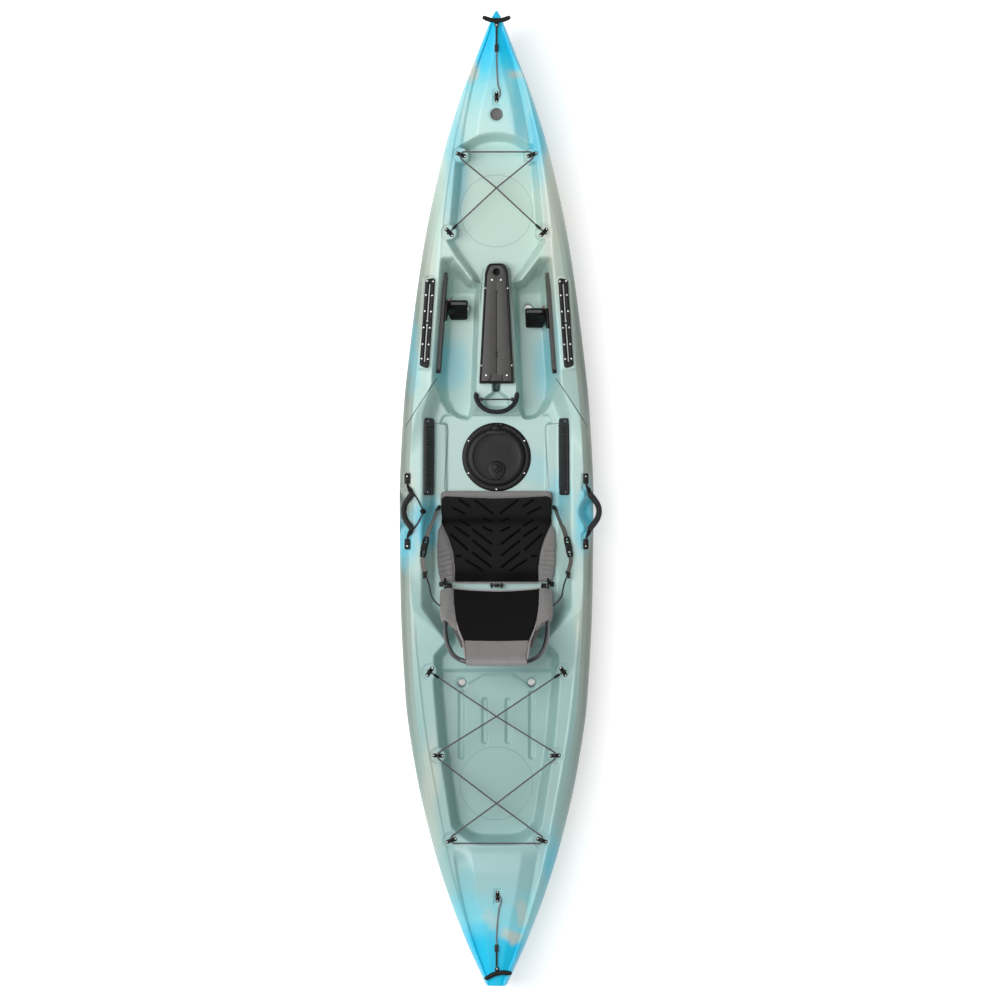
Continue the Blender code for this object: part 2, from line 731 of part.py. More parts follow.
# Hatch: a screwed ring, its seal, a hinged lid and a turning latch
HATCH_STEPS = 28
HATCH_Z = SEAT_FLOOR + GAP
RING_R = 0.141
LID_R = 0.1185
LID_TOP = HATCH_Z + 0.0165
HINGE_Y = 0.305
HINGE_Z = HATCH_Z + 0.0125
KNUCKLE_R = 0.0048
PIN_R = 0.0022
LATCH_Y = 0.127


def barrel_arc(first, last):
    """Points of a hinge barrel's arc, as (y, z), from one angle to another."""
    angles = [math.radians(a) for a in range(first, last + 1, 30)]
    return [(HINGE_Y + KNUCKLE_R * math.cos(a), HINGE_Z + KNUCKLE_R * math.sin(a)) for a in angles]


def knuckle(x, width, low_z, reach_y):
    """A bmesh of one hinge knuckle: a barrel round the pin's line with a web to its plate."""
    if reach_y < HINGE_Y:
        outline = barrel_arc(-90, 90) + [(reach_y, HINGE_Z + 0.0035), (reach_y, low_z)]
    else:
        outline = barrel_arc(0, 180) + [(HINGE_Y - KNUCKLE_R, low_z), (HINGE_Y + KNUCKLE_R, low_z)]
    return loft([[(x + shift, y, z) for y, z in outline] for shift in (-width / 2, width / 2)])


def hatch(black, rubber, steel):
    """The hatch's pieces."""
    z = HATCH_Z
    ring_profile = [
        (0.0985, z - 0.014), (0.1025, z - 0.014), (0.1025, z), (RING_R, z), (RING_R, z + 0.002),
        (0.137, z + 0.0055), (0.1215, z + 0.0065), (0.1205, z + 0.003), (0.0985, z + 0.003),
    ]
    ring = place("hatch_ring", turned(ring_profile, HATCH_STEPS, (0.0, HATCH_Y)), black)
    for side in (1, -1):
        lug = place(f"ring_lug_{side}", knuckle(side * 0.0215, 0.010, z + 0.004, HINGE_Y + 0.01), black)
        combine(ring, lug, "UNION")
    bore = place("hinge_bore", loft([
        [(x, HINGE_Y + u, HINGE_Z + v) for u, v in circle(PIN_R + GAP, 10)] for x in (-0.04, 0.04)
    ]), black)
    combine(ring, bore, "DIFFERENCE")
    seal_profile = [
        (0.1055, z + 0.0033), (0.1115, z + 0.0033), (0.1115, z + 0.0055), (0.1085, z + 0.0064),
        (0.1055, z + 0.0055),
    ]
    place("hatch_seal", turned(seal_profile, HATCH_STEPS, (0.0, HATCH_Y)), rubber)
    lid_profile = [
        (0.0, z + 0.0125), (0.096, z + 0.0125), (0.0985, z + 0.0068), (0.117, z + 0.0068),
        (LID_R, z + 0.0082), (LID_R, z + 0.0115), (0.115, z + 0.0145), (0.104, LID_TOP), (0.0, LID_TOP),
    ]
    lid = place("hatch_lid", turned(lid_profile, HATCH_STEPS, (0.0, HATCH_Y)), black)
    combine(lid, place("lid_knuckle", knuckle(0.0, 0.0315, z + 0.0085, 0.289), black), "UNION")
    combine(lid, place("lid_bore", loft([
        [(x, HINGE_Y + u, HINGE_Z + v) for u, v in circle(PIN_R + GAP, 10)] for x in (-0.04, 0.04)
    ]), black), "DIFFERENCE")
    place("hatch_hinge_pin", loft([
        [(x, HINGE_Y + u, HINGE_Z + v) for u, v in circle(PIN_R, 10)] for x in (-0.0263, 0.0263)
    ]), steel)
    outline = [
        (0.035, 0.146, 0.034), (0.035, 0.112, 0.034), (0.013, 0.083, 0.008), (-0.013, 0.083, 0.008),
        (-0.035, 0.112, 0.034), (-0.035, 0.146, 0.034), (0.0, 0.164, 0.06),
    ]
    handle = slab(outline[::-1], LID_TOP + GAP, LID_TOP + 0.0115, chamfer=0.0025)
    latch = place("hatch_latch", handle, black)
    pivot("hatch_lid_axis", (0.0, HINGE_Y, HINGE_Z), (-1, 0, 0), [lid])
    pivot("hatch_latch_axis", (0.0, LATCH_Y, LID_TOP), (0, 0, 1), [latch])


# Console between the footwells
CONSOLE_TOP = 0.296
CONSOLE_BORDER = 0.009


def console(black, grey):
    """The console's base and the panel let into its top."""
    outline = mirrored([(0.034, 0.962, 0.03), (0.047, 0.925, 0.05), (0.0705, 0.474, 0.006)])
    low = SPINE_FLOOR + GAP
    base = place("console_base", slab(outline, low, CONSOLE_TOP, chamfer=0.004), black)
    inner = slab(offset_corners(outline, -0.006), low - 0.01, CONSOLE_TOP - 0.012)
    combine(base, place("console_inside", inner, black), "DIFFERENCE")
    panel = offset_corners(outline, -CONSOLE_BORDER)
    recess = slab(offset_corners(panel, GAP), CONSOLE_TOP - 0.004, CONSOLE_TOP + 0.02)
    combine(base, place("console_recess", recess, black), "DIFFERENCE")
    hole = round_post(0.0, 0.927, 0.0145, low - 0.02, CONSOLE_TOP + 0.02, sides=16)
    combine(base, place("console_hole", hole, black), "DIFFERENCE")
    for side in (1, -1):
        notch = [(side * 0.034, 0.470, 0.002), (side * 0.046, 0.470, 0.002), (side * 0.040, 0.4835, 0.002)]
        cut = prism(notch if side > 0 else notch[::-1], low - 0.02, CONSOLE_TOP + 0.02)
        combine(base, place(f"console_notch_{side}", cut, black), "DIFFERENCE")
    lid = slab(panel, CONSOLE_TOP - 0.004 + GAP, CONSOLE_TOP + 0.0015, chamfer=0.001)
    cover = place("console_cover", lid, grey)
    bore = round_post(0.0, 0.927, 0.013, low, CONSOLE_TOP + 0.03, sides=16)
    combine(cover, place("cover_hole", bore, grey), "DIFFERENCE")
    groove = block((0.003, 0.337, 0.004), (0.0, 0.6815, CONSOLE_TOP + 0.0025))
    combine(cover, place("cover_groove", groove, grey), "DIFFERENCE")


# Accessory rails, whose slot has an entry gap at mid-length
RAIL_HEIGHT = 0.014


def rail(side, metal):
    """One accessory rail with its undercut slot."""
    name = "right" if side > 0 else "left"
    low = RAIL_SEAT_Z + GAP
    top = low + RAIL_HEIGHT
    bar = place(f"rail_{name}", slab(rail_outline(side, 0.0), low, top, chamfer=0.003), metal)
    middle = (RAIL_FRONT + RAIL_REAR) / 2
    length = (RAIL_FRONT - RAIL_REAR).length
    along = (RAIL_FRONT - RAIL_REAR).normalized()
    origin = (side * middle.x, middle.y, 0.0)
    matrix = frame_matrix(origin, (side * along.x, along.y, 0.0), (-along.y, side * along.x, 0.0))
    cuts = {
        "slot": block((length - 0.036, 0.0095, 0.03), (0.0, 0.0, top + 0.004), matrix=matrix),
        "undercut": block((length - 0.040, 0.019, 0.0055), (0.0, 0.0, low + 0.00525), matrix=matrix),
        "entry": block((0.024, 0.0205, 0.03), (0.0, 0.0, top + 0.004), matrix=matrix),
    }
    for key, bm in cuts.items():
        combine(bar, place(f"rail_{name}_{key}", bm, metal), "DIFFERENCE")


# Foot braces: a track on each footwell's outer wall, a pedal that slides on it and its lever
TRACK_FRONT_Y = 0.928
TRACK_REAR_Y = 0.518
TRACK_Z = 0.215
PEDAL_Y = {1: 0.743, -1: 0.775}
PEDAL_X = 0.154
PEDAL_WIDTH = 0.076
PEDAL_LENGTH = 0.108
PEDAL_LEAN = 47.0


def foot_wall(y, z):
    """Where the starboard footwell's outer wall stands at this y and height."""
    (x0, y0, _), (x1, y1, _) = FOOTWELL[3], FOOTWELL[4]
    lip = x0 + (x1 - x0) * (y - y0) / (y1 - y0)
    return lip - FOOT_DRAFT * (0.300 - z) / (0.300 - FOOT_FLOOR)


def track_frame(side, y):
    """The frame on a footwell's wall: x along the track to the bow, y up the wall and z out of it."""
    origin = Vector((side * foot_wall(y, TRACK_Z), y, TRACK_Z))
    front = Vector((side * foot_wall(y + 0.1, TRACK_Z), y + 0.1, TRACK_Z))
    above = Vector((side * foot_wall(y, TRACK_Z + 0.05), y, TRACK_Z + 0.05))
    along = (front - origin).normalized()
    up = (above - origin).normalized()
    matrix = frame_matrix(origin, along, up)
    if matrix.col[2].x * side > 0:
        matrix = frame_matrix(origin, along, up) @ Matrix.Scale(-1, 4, (0, 0, 1))
    return matrix


def foot_brace(side, black, red):
    """A track, its sliding pedal and the pedal's lever."""
    name = "right" if side > 0 else "left"
    front = Vector((foot_wall(TRACK_FRONT_Y, TRACK_Z), TRACK_FRONT_Y))
    rear = Vector((foot_wall(TRACK_REAR_Y, TRACK_Z), TRACK_REAR_Y))
    length = (front - rear).length
    matrix = track_frame(side, (TRACK_FRONT_Y + TRACK_REAR_Y) / 2)
    bar = block((length, 0.034, 0.016), (0.0, 0.0, 0.008 + GAP), chamfer=0.0025, matrix=matrix)
    track = place(f"foot_track_{name}", bar, black)
    slot = block((length - 0.030, 0.010, 0.03), (0.0, 0.0, 0.022), matrix=matrix)
    combine(track, place(f"track_{name}_slot", slot, black), "DIFFERENCE")
    undercut = block((length - 0.034, 0.020, 0.007), (0.0, 0.0, 0.0075), matrix=matrix)
    combine(track, place(f"track_{name}_undercut", undercut, black), "DIFFERENCE")
    # The slider: a shoe in the undercut, a neck through the slot and a carriage over the track's face
    local = track_frame(side, PEDAL_Y[side])
    shoe = block((0.070, 0.0190, 0.0058), (0.0, 0.0, 0.0075), matrix=local)
    pedal = place(f"foot_pedal_{name}", shoe, black)
    neck = block((0.060, 0.0090, 0.012), (0.0, 0.0, 0.0135), matrix=local)
    combine(pedal, place(f"pedal_{name}_neck", neck, black), "UNION")
    carriage = block((0.082, 0.034, 0.010), (0.0, 0.0, 0.0218), chamfer=0.002, matrix=local)
    combine(pedal, place(f"pedal_{name}_carriage", carriage, black), "UNION")
    lean = math.radians(PEDAL_LEAN)
    centre = Vector((side * PEDAL_X, PEDAL_Y[side], TRACK_Z - 0.022))
    outline = rectangle(0.0, 0.0, PEDAL_WIDTH / 2, PEDAL_LENGTH / 2, 0.010)
    tilted = frame_matrix(centre, (1, 0, 0), (0, math.cos(lean), math.sin(lean)))
    plate = slab(outline, -0.004, 0.004, chamfer=0.0015, matrix=tilted)
    combine(pedal, place(f"pedal_{name}_plate", plate, black), "UNION")
    arm_end = foot_wall(PEDAL_Y[side], TRACK_Z) - 0.0235
    arm_path = [
        centre + Vector((side * 0.020, 0, 0)),
        Vector((side * arm_end, PEDAL_Y[side], TRACK_Z - 0.006)),
    ]
    arm = swept(arm_path, strip(0.036, 0.014), up=(0, -math.sin(lean), math.cos(lean)))
    combine(pedal, place(f"pedal_{name}_arm", arm, black), "UNION")
    # The lever lies along the carriage's face above the arm, on a pin across the track
    lever_matrix = local @ Matrix.Translation((0.0, 0.0, 0.0271 + GAP))
    tab = block((0.026, 0.008, 0.005), (0.040, -0.0130, 0.0025), chamfer=0.0015, matrix=lever_matrix)
    lever = place(f"foot_lever_{name}", tab, red)
    hinge = lever_matrix @ Vector((0.027, -0.0130, 0.0))
    pivot(f"foot_slide_{name}_axis", local @ Vector((0, 0, 0)), local.col[0].xyz, [pedal])
    pivot(f"foot_lever_{name}_axis", hinge, local.col[1].xyz, [lever])


# Ribbed pads on the cockpit's side walls
SIDE_PAD_FRONT = 0.334
SIDE_PAD_REAR = 0.020
SIDE_PAD_THICK = 0.015


def cockpit_wall(y, z):
    """Where the cockpit's starboard side wall stands at this y and height."""
    (x0, y0, _), (x1, y1, _) = COCKPIT[3], COCKPIT[4]
    lip = x0 + (x1 - x0) * (y - y0) / (y1 - y0)
    return lip - SIDE_DRAFT * (0.268 - z) / (0.268 - LEDGE_FLOOR)


def wall_frame(side, y, z):
    """The frame on the cockpit's wall: x along it to the bow, y up it and z out of it."""
    origin = Vector((side * cockpit_wall(y, z), y, z))
    along = Vector((side * cockpit_wall(y + 0.1, z), y + 0.1, z)) - origin
    up = Vector((side * cockpit_wall(y, z + 0.05), y, z + 0.05)) - origin
    matrix = frame_matrix(origin, along, up)
    if matrix.col[2].x * side > 0:
        matrix = matrix @ Matrix.Scale(-1, 4, (0, 0, 1))
    return matrix


def side_pad(side, black):
    """One ribbed pad."""
    name = "right" if side > 0 else "left"
    middle = (SIDE_PAD_FRONT + SIDE_PAD_REAR) / 2
    length = SIDE_PAD_FRONT - SIDE_PAD_REAR
    matrix = wall_frame(side, middle, 0.217)
    outline = rectangle(0.0, 0.0, length / 2, 0.043, 0.014)
    pad = slab(outline, GAP, SIDE_PAD_THICK, chamfer=0.004, matrix=matrix)
    obj = place(f"side_pad_{name}", pad, black)
    ribs = bmesh.new()
    count = 13
    for i in range(count):
        x = -length / 2 + 0.030 + (length - 0.060) * i / (count - 1)
        cube = bmesh.ops.create_cube(ribs, size=1.0)["verts"]
        bmesh.ops.scale(ribs, vec=(0.007, 0.060, 0.006), verts=cube)
        bmesh.ops.translate(ribs, vec=(x, 0.0, SIDE_PAD_THICK), verts=cube)
    bmesh.ops.transform(ribs, matrix=matrix, verts=ribs.verts)
    combine(obj, place(f"side_pad_{name}_grooves", ribs, black), "DIFFERENCE")


# Carry handles at the sides: two mounts, a webbing strap and a grip that hang beside a scoop
MOUNT_HEIGHT = 0.009
PIVOT_Z = MOUNT_Z + GAP + MOUNT_HEIGHT / 2
GRIP_R = 0.0125
CORE_R = 0.0034
# Each handle's line from its middle to its front mount, as (y, reach outboard, rise), before its lean
HANG_LEAN = {1: 24.0, -1: 0.0}
HANG_LINE = {
    1: [
        (-0.046, 0.0600, 0.0), (-0.020, 0.0540, 0.0), (0.004, 0.0370, 0.0), (0.022, 0.0200, 0.0020),
        (0.032, 0.0150, 0.0050), (0.043, 0.0090, 0.0085), (0.056, 0.0020, 0.0045), (0.067, 0.0, 0.0),
        (0.084, 0.0, 0.0),
    ],
    -1: [
        (-0.046, 0.0135, 0.0135), (-0.020, 0.0095, 0.0135), (0.004, -0.0040, 0.0135),
        (0.022, -0.0170, 0.0135), (0.032, -0.0160, 0.0128), (0.043, -0.0105, 0.0105),
        (0.056, -0.0025, 0.0040), (0.067, 0.0, 0.0), (0.084, 0.0, 0.0),
    ],
}
HANG_WIDTH = [CORE_R, CORE_R, CORE_R, CORE_R, CORE_R, 0.0095, 0.0080, 0.0022, 0.0022]
HANG_THICK = [CORE_R, CORE_R, CORE_R, CORE_R, CORE_R, 0.0015, 0.0015, 0.0022, 0.0022]


def hang_path(side):
    """The handle's whole line from its rear mount to its front one."""
    lean = math.radians(HANG_LEAN[side])
    points = []
    for y, reach, rise in HANG_LINE[side]:
        x = MOUNT_X + reach * math.cos(lean) + rise * math.sin(lean)
        z = PIVOT_Z - reach * math.sin(lean) + rise * math.cos(lean)
        points.append(Vector((side * x, y, z)))
    rear = [Vector((p.x, 2 * HANG_LINE[side][0][0] - p.y, p.z)) for p in points[1:]]
    return rear[::-1] + points


def carry_handle(side, black, webbing):
    """One carry handle, hanging at its own angle."""
    name = "right" if side > 0 else "left"
    for key, y in zip(("front", "rear"), MOUNT_Y):
        low = MOUNT_Z + GAP
        foot = slab(rectangle(side * MOUNT_X, y, 0.011, 0.021, 0.006), low, low + MOUNT_HEIGHT, chamfer=0.002)
        mount = place(f"carry_mount_{name}_{key}", foot, black)
        inward = -1 if y > 0 else 1
        mouth = block((0.030, 0.034, 0.0054), (side * MOUNT_X, y + inward * 0.014, PIVOT_Z))
        combine(mount, place(f"mount_mouth_{name}_{key}", mouth, black), "DIFFERENCE")
    path = hang_path(side)
    lean = math.radians(HANG_LEAN[side])
    up = Vector((side * math.sin(lean), 0.0, math.cos(lean)))
    widths = HANG_WIDTH[:0:-1] + HANG_WIDTH
    thicks = HANG_THICK[:0:-1] + HANG_THICK
    rings = []
    for i, point in enumerate(path):
        tangent = (path[min(i + 1, len(path) - 1)] - path[max(i - 1, 0)]).normalized()
        section = [(widths[i] * u, thicks[i] * v) for u, v in circle(1.0, 8)]
        rings.append(section_ring(point, tangent, up, section))
    strap = place(f"carry_strap_{name}", loft(rings), webbing)
    grip_path = path[5:12]
    tube = swept(grip_path, circle(GRIP_R, 12), up=up, scales=[0.88, 1.0, 1.0, 1.0, 1.0, 1.0, 0.88])
    grip = place(f"carry_grip_{name}", tube, black)
    ends = (grip_path[0] * 1.2 - grip_path[1] * 0.2, grip_path[-1] * 1.2 - grip_path[-2] * 0.2)
    core = swept([ends[0]] + grip_path[1:-1] + [ends[1]], circle(CORE_R + 0.0021, 8), up=up)
    combine(grip, place(f"grip_core_{name}", core, black), "DIFFERENCE")
    pivot(f"carry_{name}_axis", (side * MOUNT_X, 0.0, PIVOT_Z), (0, -1, 0), [strap, grip])


# Centre handle behind the console: a bow-shaped grip on a rod across the spine
ROD_Y = 0.410
ROD_Z = 0.2475
ROD_R = 0.003


def centre_handle(black, steel):
    """The rod on its two feet, and the grip that swings on it."""
    rod = place("centre_rod", loft([
        [(x, ROD_Y + u, ROD_Z + v) for u, v in circle(ROD_R, 10)] for x in (-0.0895, 0.0895)
    ]), steel)
    for side in (1, -1):
        middle = (side * 0.0640, ROD_Y, SPINE_FLOOR + GAP + 0.0135 / 2)
        foot = block((0.012, 0.016, 0.0135), middle, chamfer=0.0015)
        combine(rod, place(f"rod_foot_{side}", foot, steel), "UNION")
    half = [
        (0.0, 0.358, 0.2665), (0.030, 0.362, 0.2660), (0.056, 0.376, 0.2620), (0.074, 0.395, 0.2550),
        (0.081, 0.410, 0.2515), (0.083, 0.427, 0.2550), (0.084, 0.440, 0.2660),
    ]
    path = [Vector((-x, y, z)) for x, y, z in half[:0:-1]] + [Vector(p) for p in half]
    scales = [0.55, 0.75, 0.88, 0.95, 1.0, 1.0, 1.0, 1.0, 1.0, 0.95, 0.88, 0.75, 0.55]
    grip = place("centre_grip", swept(path, circle(0.0112, 10), scales=scales), black)
    bore = loft([
        [(x, ROD_Y + u, ROD_Z + v) for u, v in circle(ROD_R + 0.0004, 10)] for x in (-0.11, 0.11)
    ])
    combine(grip, place("grip_bore", bore, black), "DIFFERENCE")
    inside = block((0.142, 0.018, 0.020), (0.0, ROD_Y, ROD_Z - 0.002))
    combine(grip, place("grip_clearance", inside, black), "DIFFERENCE")
    pivot("centre_grip_axis", (0.0, ROD_Y, ROD_Z), (-1, 0, 0), [grip])


# End toggles: a T-handle on a rope from a sleeve, and a shock cord back to a pad eye
SLEEVE_R = 0.008
ROPE_R = 0.004
END_CORD_R = 0.003
ENDS = {
    "bow": {
        "sign": 1, "sleeve": (1.812, 1.842), "stem": 1.915, "grip": 1.9405, "sweep": 0.013, "yaw": 0.0,
    },
    "stern": {
        "sign": -1, "sleeve": (-1.803, -1.833), "stem": -1.896, "grip": -1.9215, "sweep": 0.010, "yaw": 12.0,
    },
}


def deck_top(y):
    """Height of the end deck at the centre line."""
    return deck_z(y) + ridge_rise(y)


def end_toggle(end, black, rope_material, cord_material):
    """The toggle, its rope, its sleeve and its shock cord at one end."""
    size = ENDS[end]
    sign = size["sign"]
    inner, face = size["sleeve"]
    sleeve_z = deck_top(inner) + SLEEVE_R + 0.0016 if end == "stern" else deck_top(face) + SLEEVE_R + 0.0012
    stem_y = size["stem"]
    grip_y = size["grip"]
    grip_z = max(deck_top(grip_y), deck_top(stem_y)) + 0.0112
    half_bar = [(0.018, 0.0, 0.0), (0.040, 0.006, 0.001), (0.0555, size["sweep"], 0.004)]
    bar = [(-x, grip_y + sign * y, grip_z + z) for x, y, z in half_bar[::-1]]
    bar += [(x, grip_y + sign * y, grip_z + z) for x, y, z in half_bar]
    about = Matrix.Translation((0.0, stem_y, 0.0))
    turn = about @ Matrix.Rotation(math.radians(size["yaw"]) * -sign, 4, "Z") @ about.inverted()
    bm = swept(bar, circle(0.0095, 12), scales=[0.72, 0.95, 1.0, 1.0, 0.95, 0.72])
    bmesh.ops.transform(bm, matrix=turn, verts=bm.verts)
    toggle = place(f"{end}_toggle", bm, black)
    stem_mid = (stem_y + grip_y) / 2
    rope_end_z = grip_z - 0.0028
    stem_size = (0.015, abs(grip_y - stem_y), 0.012)
    stem = block(stem_size, (0.0, stem_mid, rope_end_z), chamfer=0.002, matrix=turn)
    combine(toggle, place(f"{end}_stem", stem, black), "UNION")
    rope_path = [
        (0.0, face + sign * 0.0004, sleeve_z),
        (0.0, face + sign * 0.020, sleeve_z - 0.35 * (sleeve_z - rope_end_z)),
        (0.0, face + sign * 0.045, rope_end_z + 0.0006),
        (0.0, stem_y - sign * (0.0008 + 0.0002 * size["yaw"]), rope_end_z),
    ]
    rope = cord(f"{end}_rope", [Vector(p) for p in rope_path], ROPE_R, rope_material, 2)
    # The shock cord runs from inside the sleeve to the pad eye, through it and a little beyond
    x = END_EYE_X[end]
    frame = deck_frame(x, END_EYE_Y[end])
    route = [(0.0060, 0.046), (0.0128, 0.026), (0.0145, 0.009), (0.0085, 0.0), (-0.0110, 0.0)]
    through = [frame @ Vector((u, sign * v, EYE_HOLE_Z)) for u, v in route]
    leaving = inner - sign * 0.040
    line = [Vector((0.0, inner + sign * 0.004, sleeve_z)), Vector((0.0, leaving, deck_top(leaving) + 0.0050))]
    line += flowing(through, 0.008)
    bungee_rings = swept(line, circle(END_CORD_R, 8))
    bungee = place(f"{end}_bungee", bungee_rings, cord_material)
    sleeve = loft([[(u, y, sleeve_z + v) for u, v in circle(SLEEVE_R, 12)] for y in (inner, face)])
    combine(bungee, place(f"{end}_sleeve", sleeve, cord_material), "UNION")
    mouth = (0.0, face + sign * 0.0004, sleeve_z + SLEEVE_R + 0.0003)
    pivot(f"{end}_toggle_axis", mouth, (sign, 0, 0), [toggle, rope])
    pad_eye(f"{end}_pad_eye", frame @ Matrix.Rotation(math.radians(90), 4, "Z"), black)


# Pad eyes, and the shock cords laced through them
EYE_HOLE_Z = 0.0075
EYE_OUTER_HALF = [(0.023, 0.0), (0.023, 0.003), (0.0145, 0.0045), (0.0112, 0.0105), (0.0065, 0.0155)]
EYE_INNER_HALF = [(0.0068, 0.0036), (0.0074, 0.0046), (0.0076, 0.0065), (0.0066, 0.0094), (0.0034, 0.0115)]
EYE_OUTER = EYE_OUTER_HALF + [(-x, z) for x, z in EYE_OUTER_HALF[::-1]] + [(-0.007, 0.0), (0.007, 0.0)]
EYE_INNER = EYE_INNER_HALF + [(-x, z) for x, z in EYE_INNER_HALF[::-1]] + [(-0.003, 0.0033), (0.003, 0.0033)]


def pad_eye(name, matrix, material):
    """A pad eye whose base stands in the frame's plane, with its hole along the frame's y."""
    bm = bmesh.new()
    columns = []
    for side in (1, -1):
        outer = []
        for along, up in EYE_OUTER:
            half = 0.0080 if up < 0.004 else 0.0048
            outer.append(bm.verts.new(matrix @ Vector((along, side * half, up + GAP))))
        inner = [bm.verts.new(matrix @ Vector((along, side * 0.0048, up + GAP))) for along, up in EYE_INNER]
        columns.append((outer, inner))
    (outer_a, inner_a), (outer_b, inner_b) = columns
    count = len(EYE_OUTER)
    for i in range(count):
        j = (i + 1) % count
        bm.faces.new((outer_a[i], outer_a[j], inner_a[j], inner_a[i]))
        bm.faces.new((outer_b[j], outer_b[i], inner_b[i], inner_b[j]))
        bm.faces.new((outer_a[j], outer_a[i], outer_b[i], outer_b[j]))
        bm.faces.new((inner_a[i], inner_a[j], inner_b[j], inner_b[i]))
    bmesh.ops.triangulate(bm, faces=bm.faces)
    return place(name, bm, material)


def eye_at(key):
    """A pad eye's place on its seat, from a key such as bow_front_right."""
    end, row, hand = key.split("_")
    x, y = EYE_SEATS[f"{end}_{row}"]
    return Vector(((1 if hand == "right" else -1) * x, y, eye_seat_z(f"{end}_{row}")))


def plan_unit(vector):
    """The vector's direction in plan."""
    return Vector((vector.x, vector.y, 0.0)).normalized()


HOOK_REACH = 0.0445


def laced_cord(name, keys, lifts, black, cord_material):
    """A shock cord from a hook at the first eye, through the eyes between, to a hook at the last one.

    Each eye is turned so that its hole faces halfway between the cord's two directions. The lifts keep the
    two runs apart where they cross.
    """
    eyes = [eye_at(key) for key in keys]
    runs = [plan_unit(b - a) for a, b in zip(eyes, eyes[1:])]
    path = [eyes[0] + runs[0] * HOOK_REACH + Vector((0, 0, EYE_HOLE_Z))]
    for i, eye in enumerate(eyes):
        hole = eye + Vector((0, 0, EYE_HOLE_Z + GAP))
        if i in (0, len(eyes) - 1):
            through = runs[0] if i == 0 else runs[-1]
        else:
            through = (runs[i - 1] + runs[i]).normalized()
            into = (runs[i - 1] + through).normalized()
            out = (runs[i] + through).normalized()
            near = [hole - through * 0.0065, hole + through * 0.0065]
            bend = [near[0] - into * 0.0095, near[1] + out * 0.0095]
            far = [bend[0] - runs[i - 1] * 0.016, bend[1] + runs[i] * 0.016]
            path += flowing([far[0], bend[0], near[0], near[1], bend[1], far[1]], 0.0065)
        frame = frame_matrix(eye, (through.y, -through.x, 0.0), through)
        pad_eye(f"pad_eye_{keys[i]}", frame, black)
        if i < len(eyes) - 1 and lifts[i]:
            share, lift = lifts[i]
            mid = eye.lerp(eyes[i + 1], share) + Vector((0, 0, EYE_HOLE_Z + lift))
            path.append(mid)
    path.append(eyes[-1] - runs[-1] * HOOK_REACH + Vector((0, 0, EYE_HOLE_Z)))
    cord(name, path, CORD_R, cord_material, 2)
    for key, eye, away in ((keys[0], eyes[0], runs[0]), (keys[-1], eyes[-1], -runs[-1])):
        hook(f"hook_{key}", eye, away, black)


CORD_R = 0.003
HOOK_WIRE_R = 0.0021
HOOK_LINE = [
    (0.0240, 0.0080), (0.0120, 0.0080), (-0.0050, 0.0078), (-0.0105, 0.0105), (-0.0115, 0.0160),
    (-0.0070, 0.0205), (0.0020, 0.0210), (0.0070, 0.0200),
]


def hook(name, eye, away, material):
    """A shock-cord hook: a barrel on the cord's end, and a wire bent under and back over the eye's arch."""
    path = [eye + away * along + Vector((0, 0, up)) for along, up in HOOK_LINE]
    obj = place(name, swept(path, circle(HOOK_WIRE_R, 6), up=(away.y, -away.x, 0.0)), material)
    centre = eye + Vector((0, 0, 0.0080))
    barrel_line = [centre + away * reach for reach in (0.0200, 0.0235, HOOK_REACH - GAP)]
    barrel = swept(barrel_line, circle(0.0055, 10), scales=[0.6, 1.0, 1.0])
    combine(obj, place(f"{name}_barrel", barrel, material), "UNION")


# Seat: a pan on the cockpit's ledges, its pad, and a folding back on a tube frame
PAN_HALF = 0.231
PAN_FRONT = 0.041
PAN_REAR = -0.334
PAN_LOW = LEDGE_FLOOR + 0.0008
FOLD_Y = -0.065
SEAT_HINGE_Y = -0.352
SEAT_HINGE_Z = 0.215
BACK_LEAN = 40.0
TUBE_R = 0.0095
PANEL_BACK = 0.0112
PANEL_THICK = 0.024


def pan_top(y):
    """Height of the pan's top, which slopes up to the front."""
    return 0.176 + 0.028 * max(0.0, (y - FOLD_Y) / (PAN_FRONT - FOLD_Y))


def slab_ring(y, half, low, high, round_edge):
    """A section of a flat cushion: its two sides rounded over."""
    middle = (low + high) / 2
    edge = half - round_edge
    under = middle - 0.2 * (high - low)
    over = middle + 0.15 * (high - low)
    side = [(edge, low), (half, under), (half, over), (edge, high - 0.0006), (edge * 0.5, high)]
    return [(x, y, z) for x, z in side] + [(-x, y, z) for x, z in side[::-1]]


EAR_X = 0.2105
EAR_OUTLINE = [
    (-0.3690, SEAT_HINGE_Z - 0.004, 0.010), (-0.3690, SEAT_HINGE_Z + 0.012, 0.010),
    (-0.3420, SEAT_HINGE_Z + 0.012, 0.008), (-0.3120, 0.178, 0.004), (-0.3120, PAN_LOW + 0.004, 0.002),
    (-0.3400, PAN_LOW + 0.004, 0.002),
]


def hinge_rod(radius, start, end):
    """A bmesh of a rod on the seat's hinge line between two x."""
    ring = circle(radius, 10)
    return loft([[(x, SEAT_HINGE_Y + u, SEAT_HINGE_Z + v) for u, v in ring] for x in (start, end)])


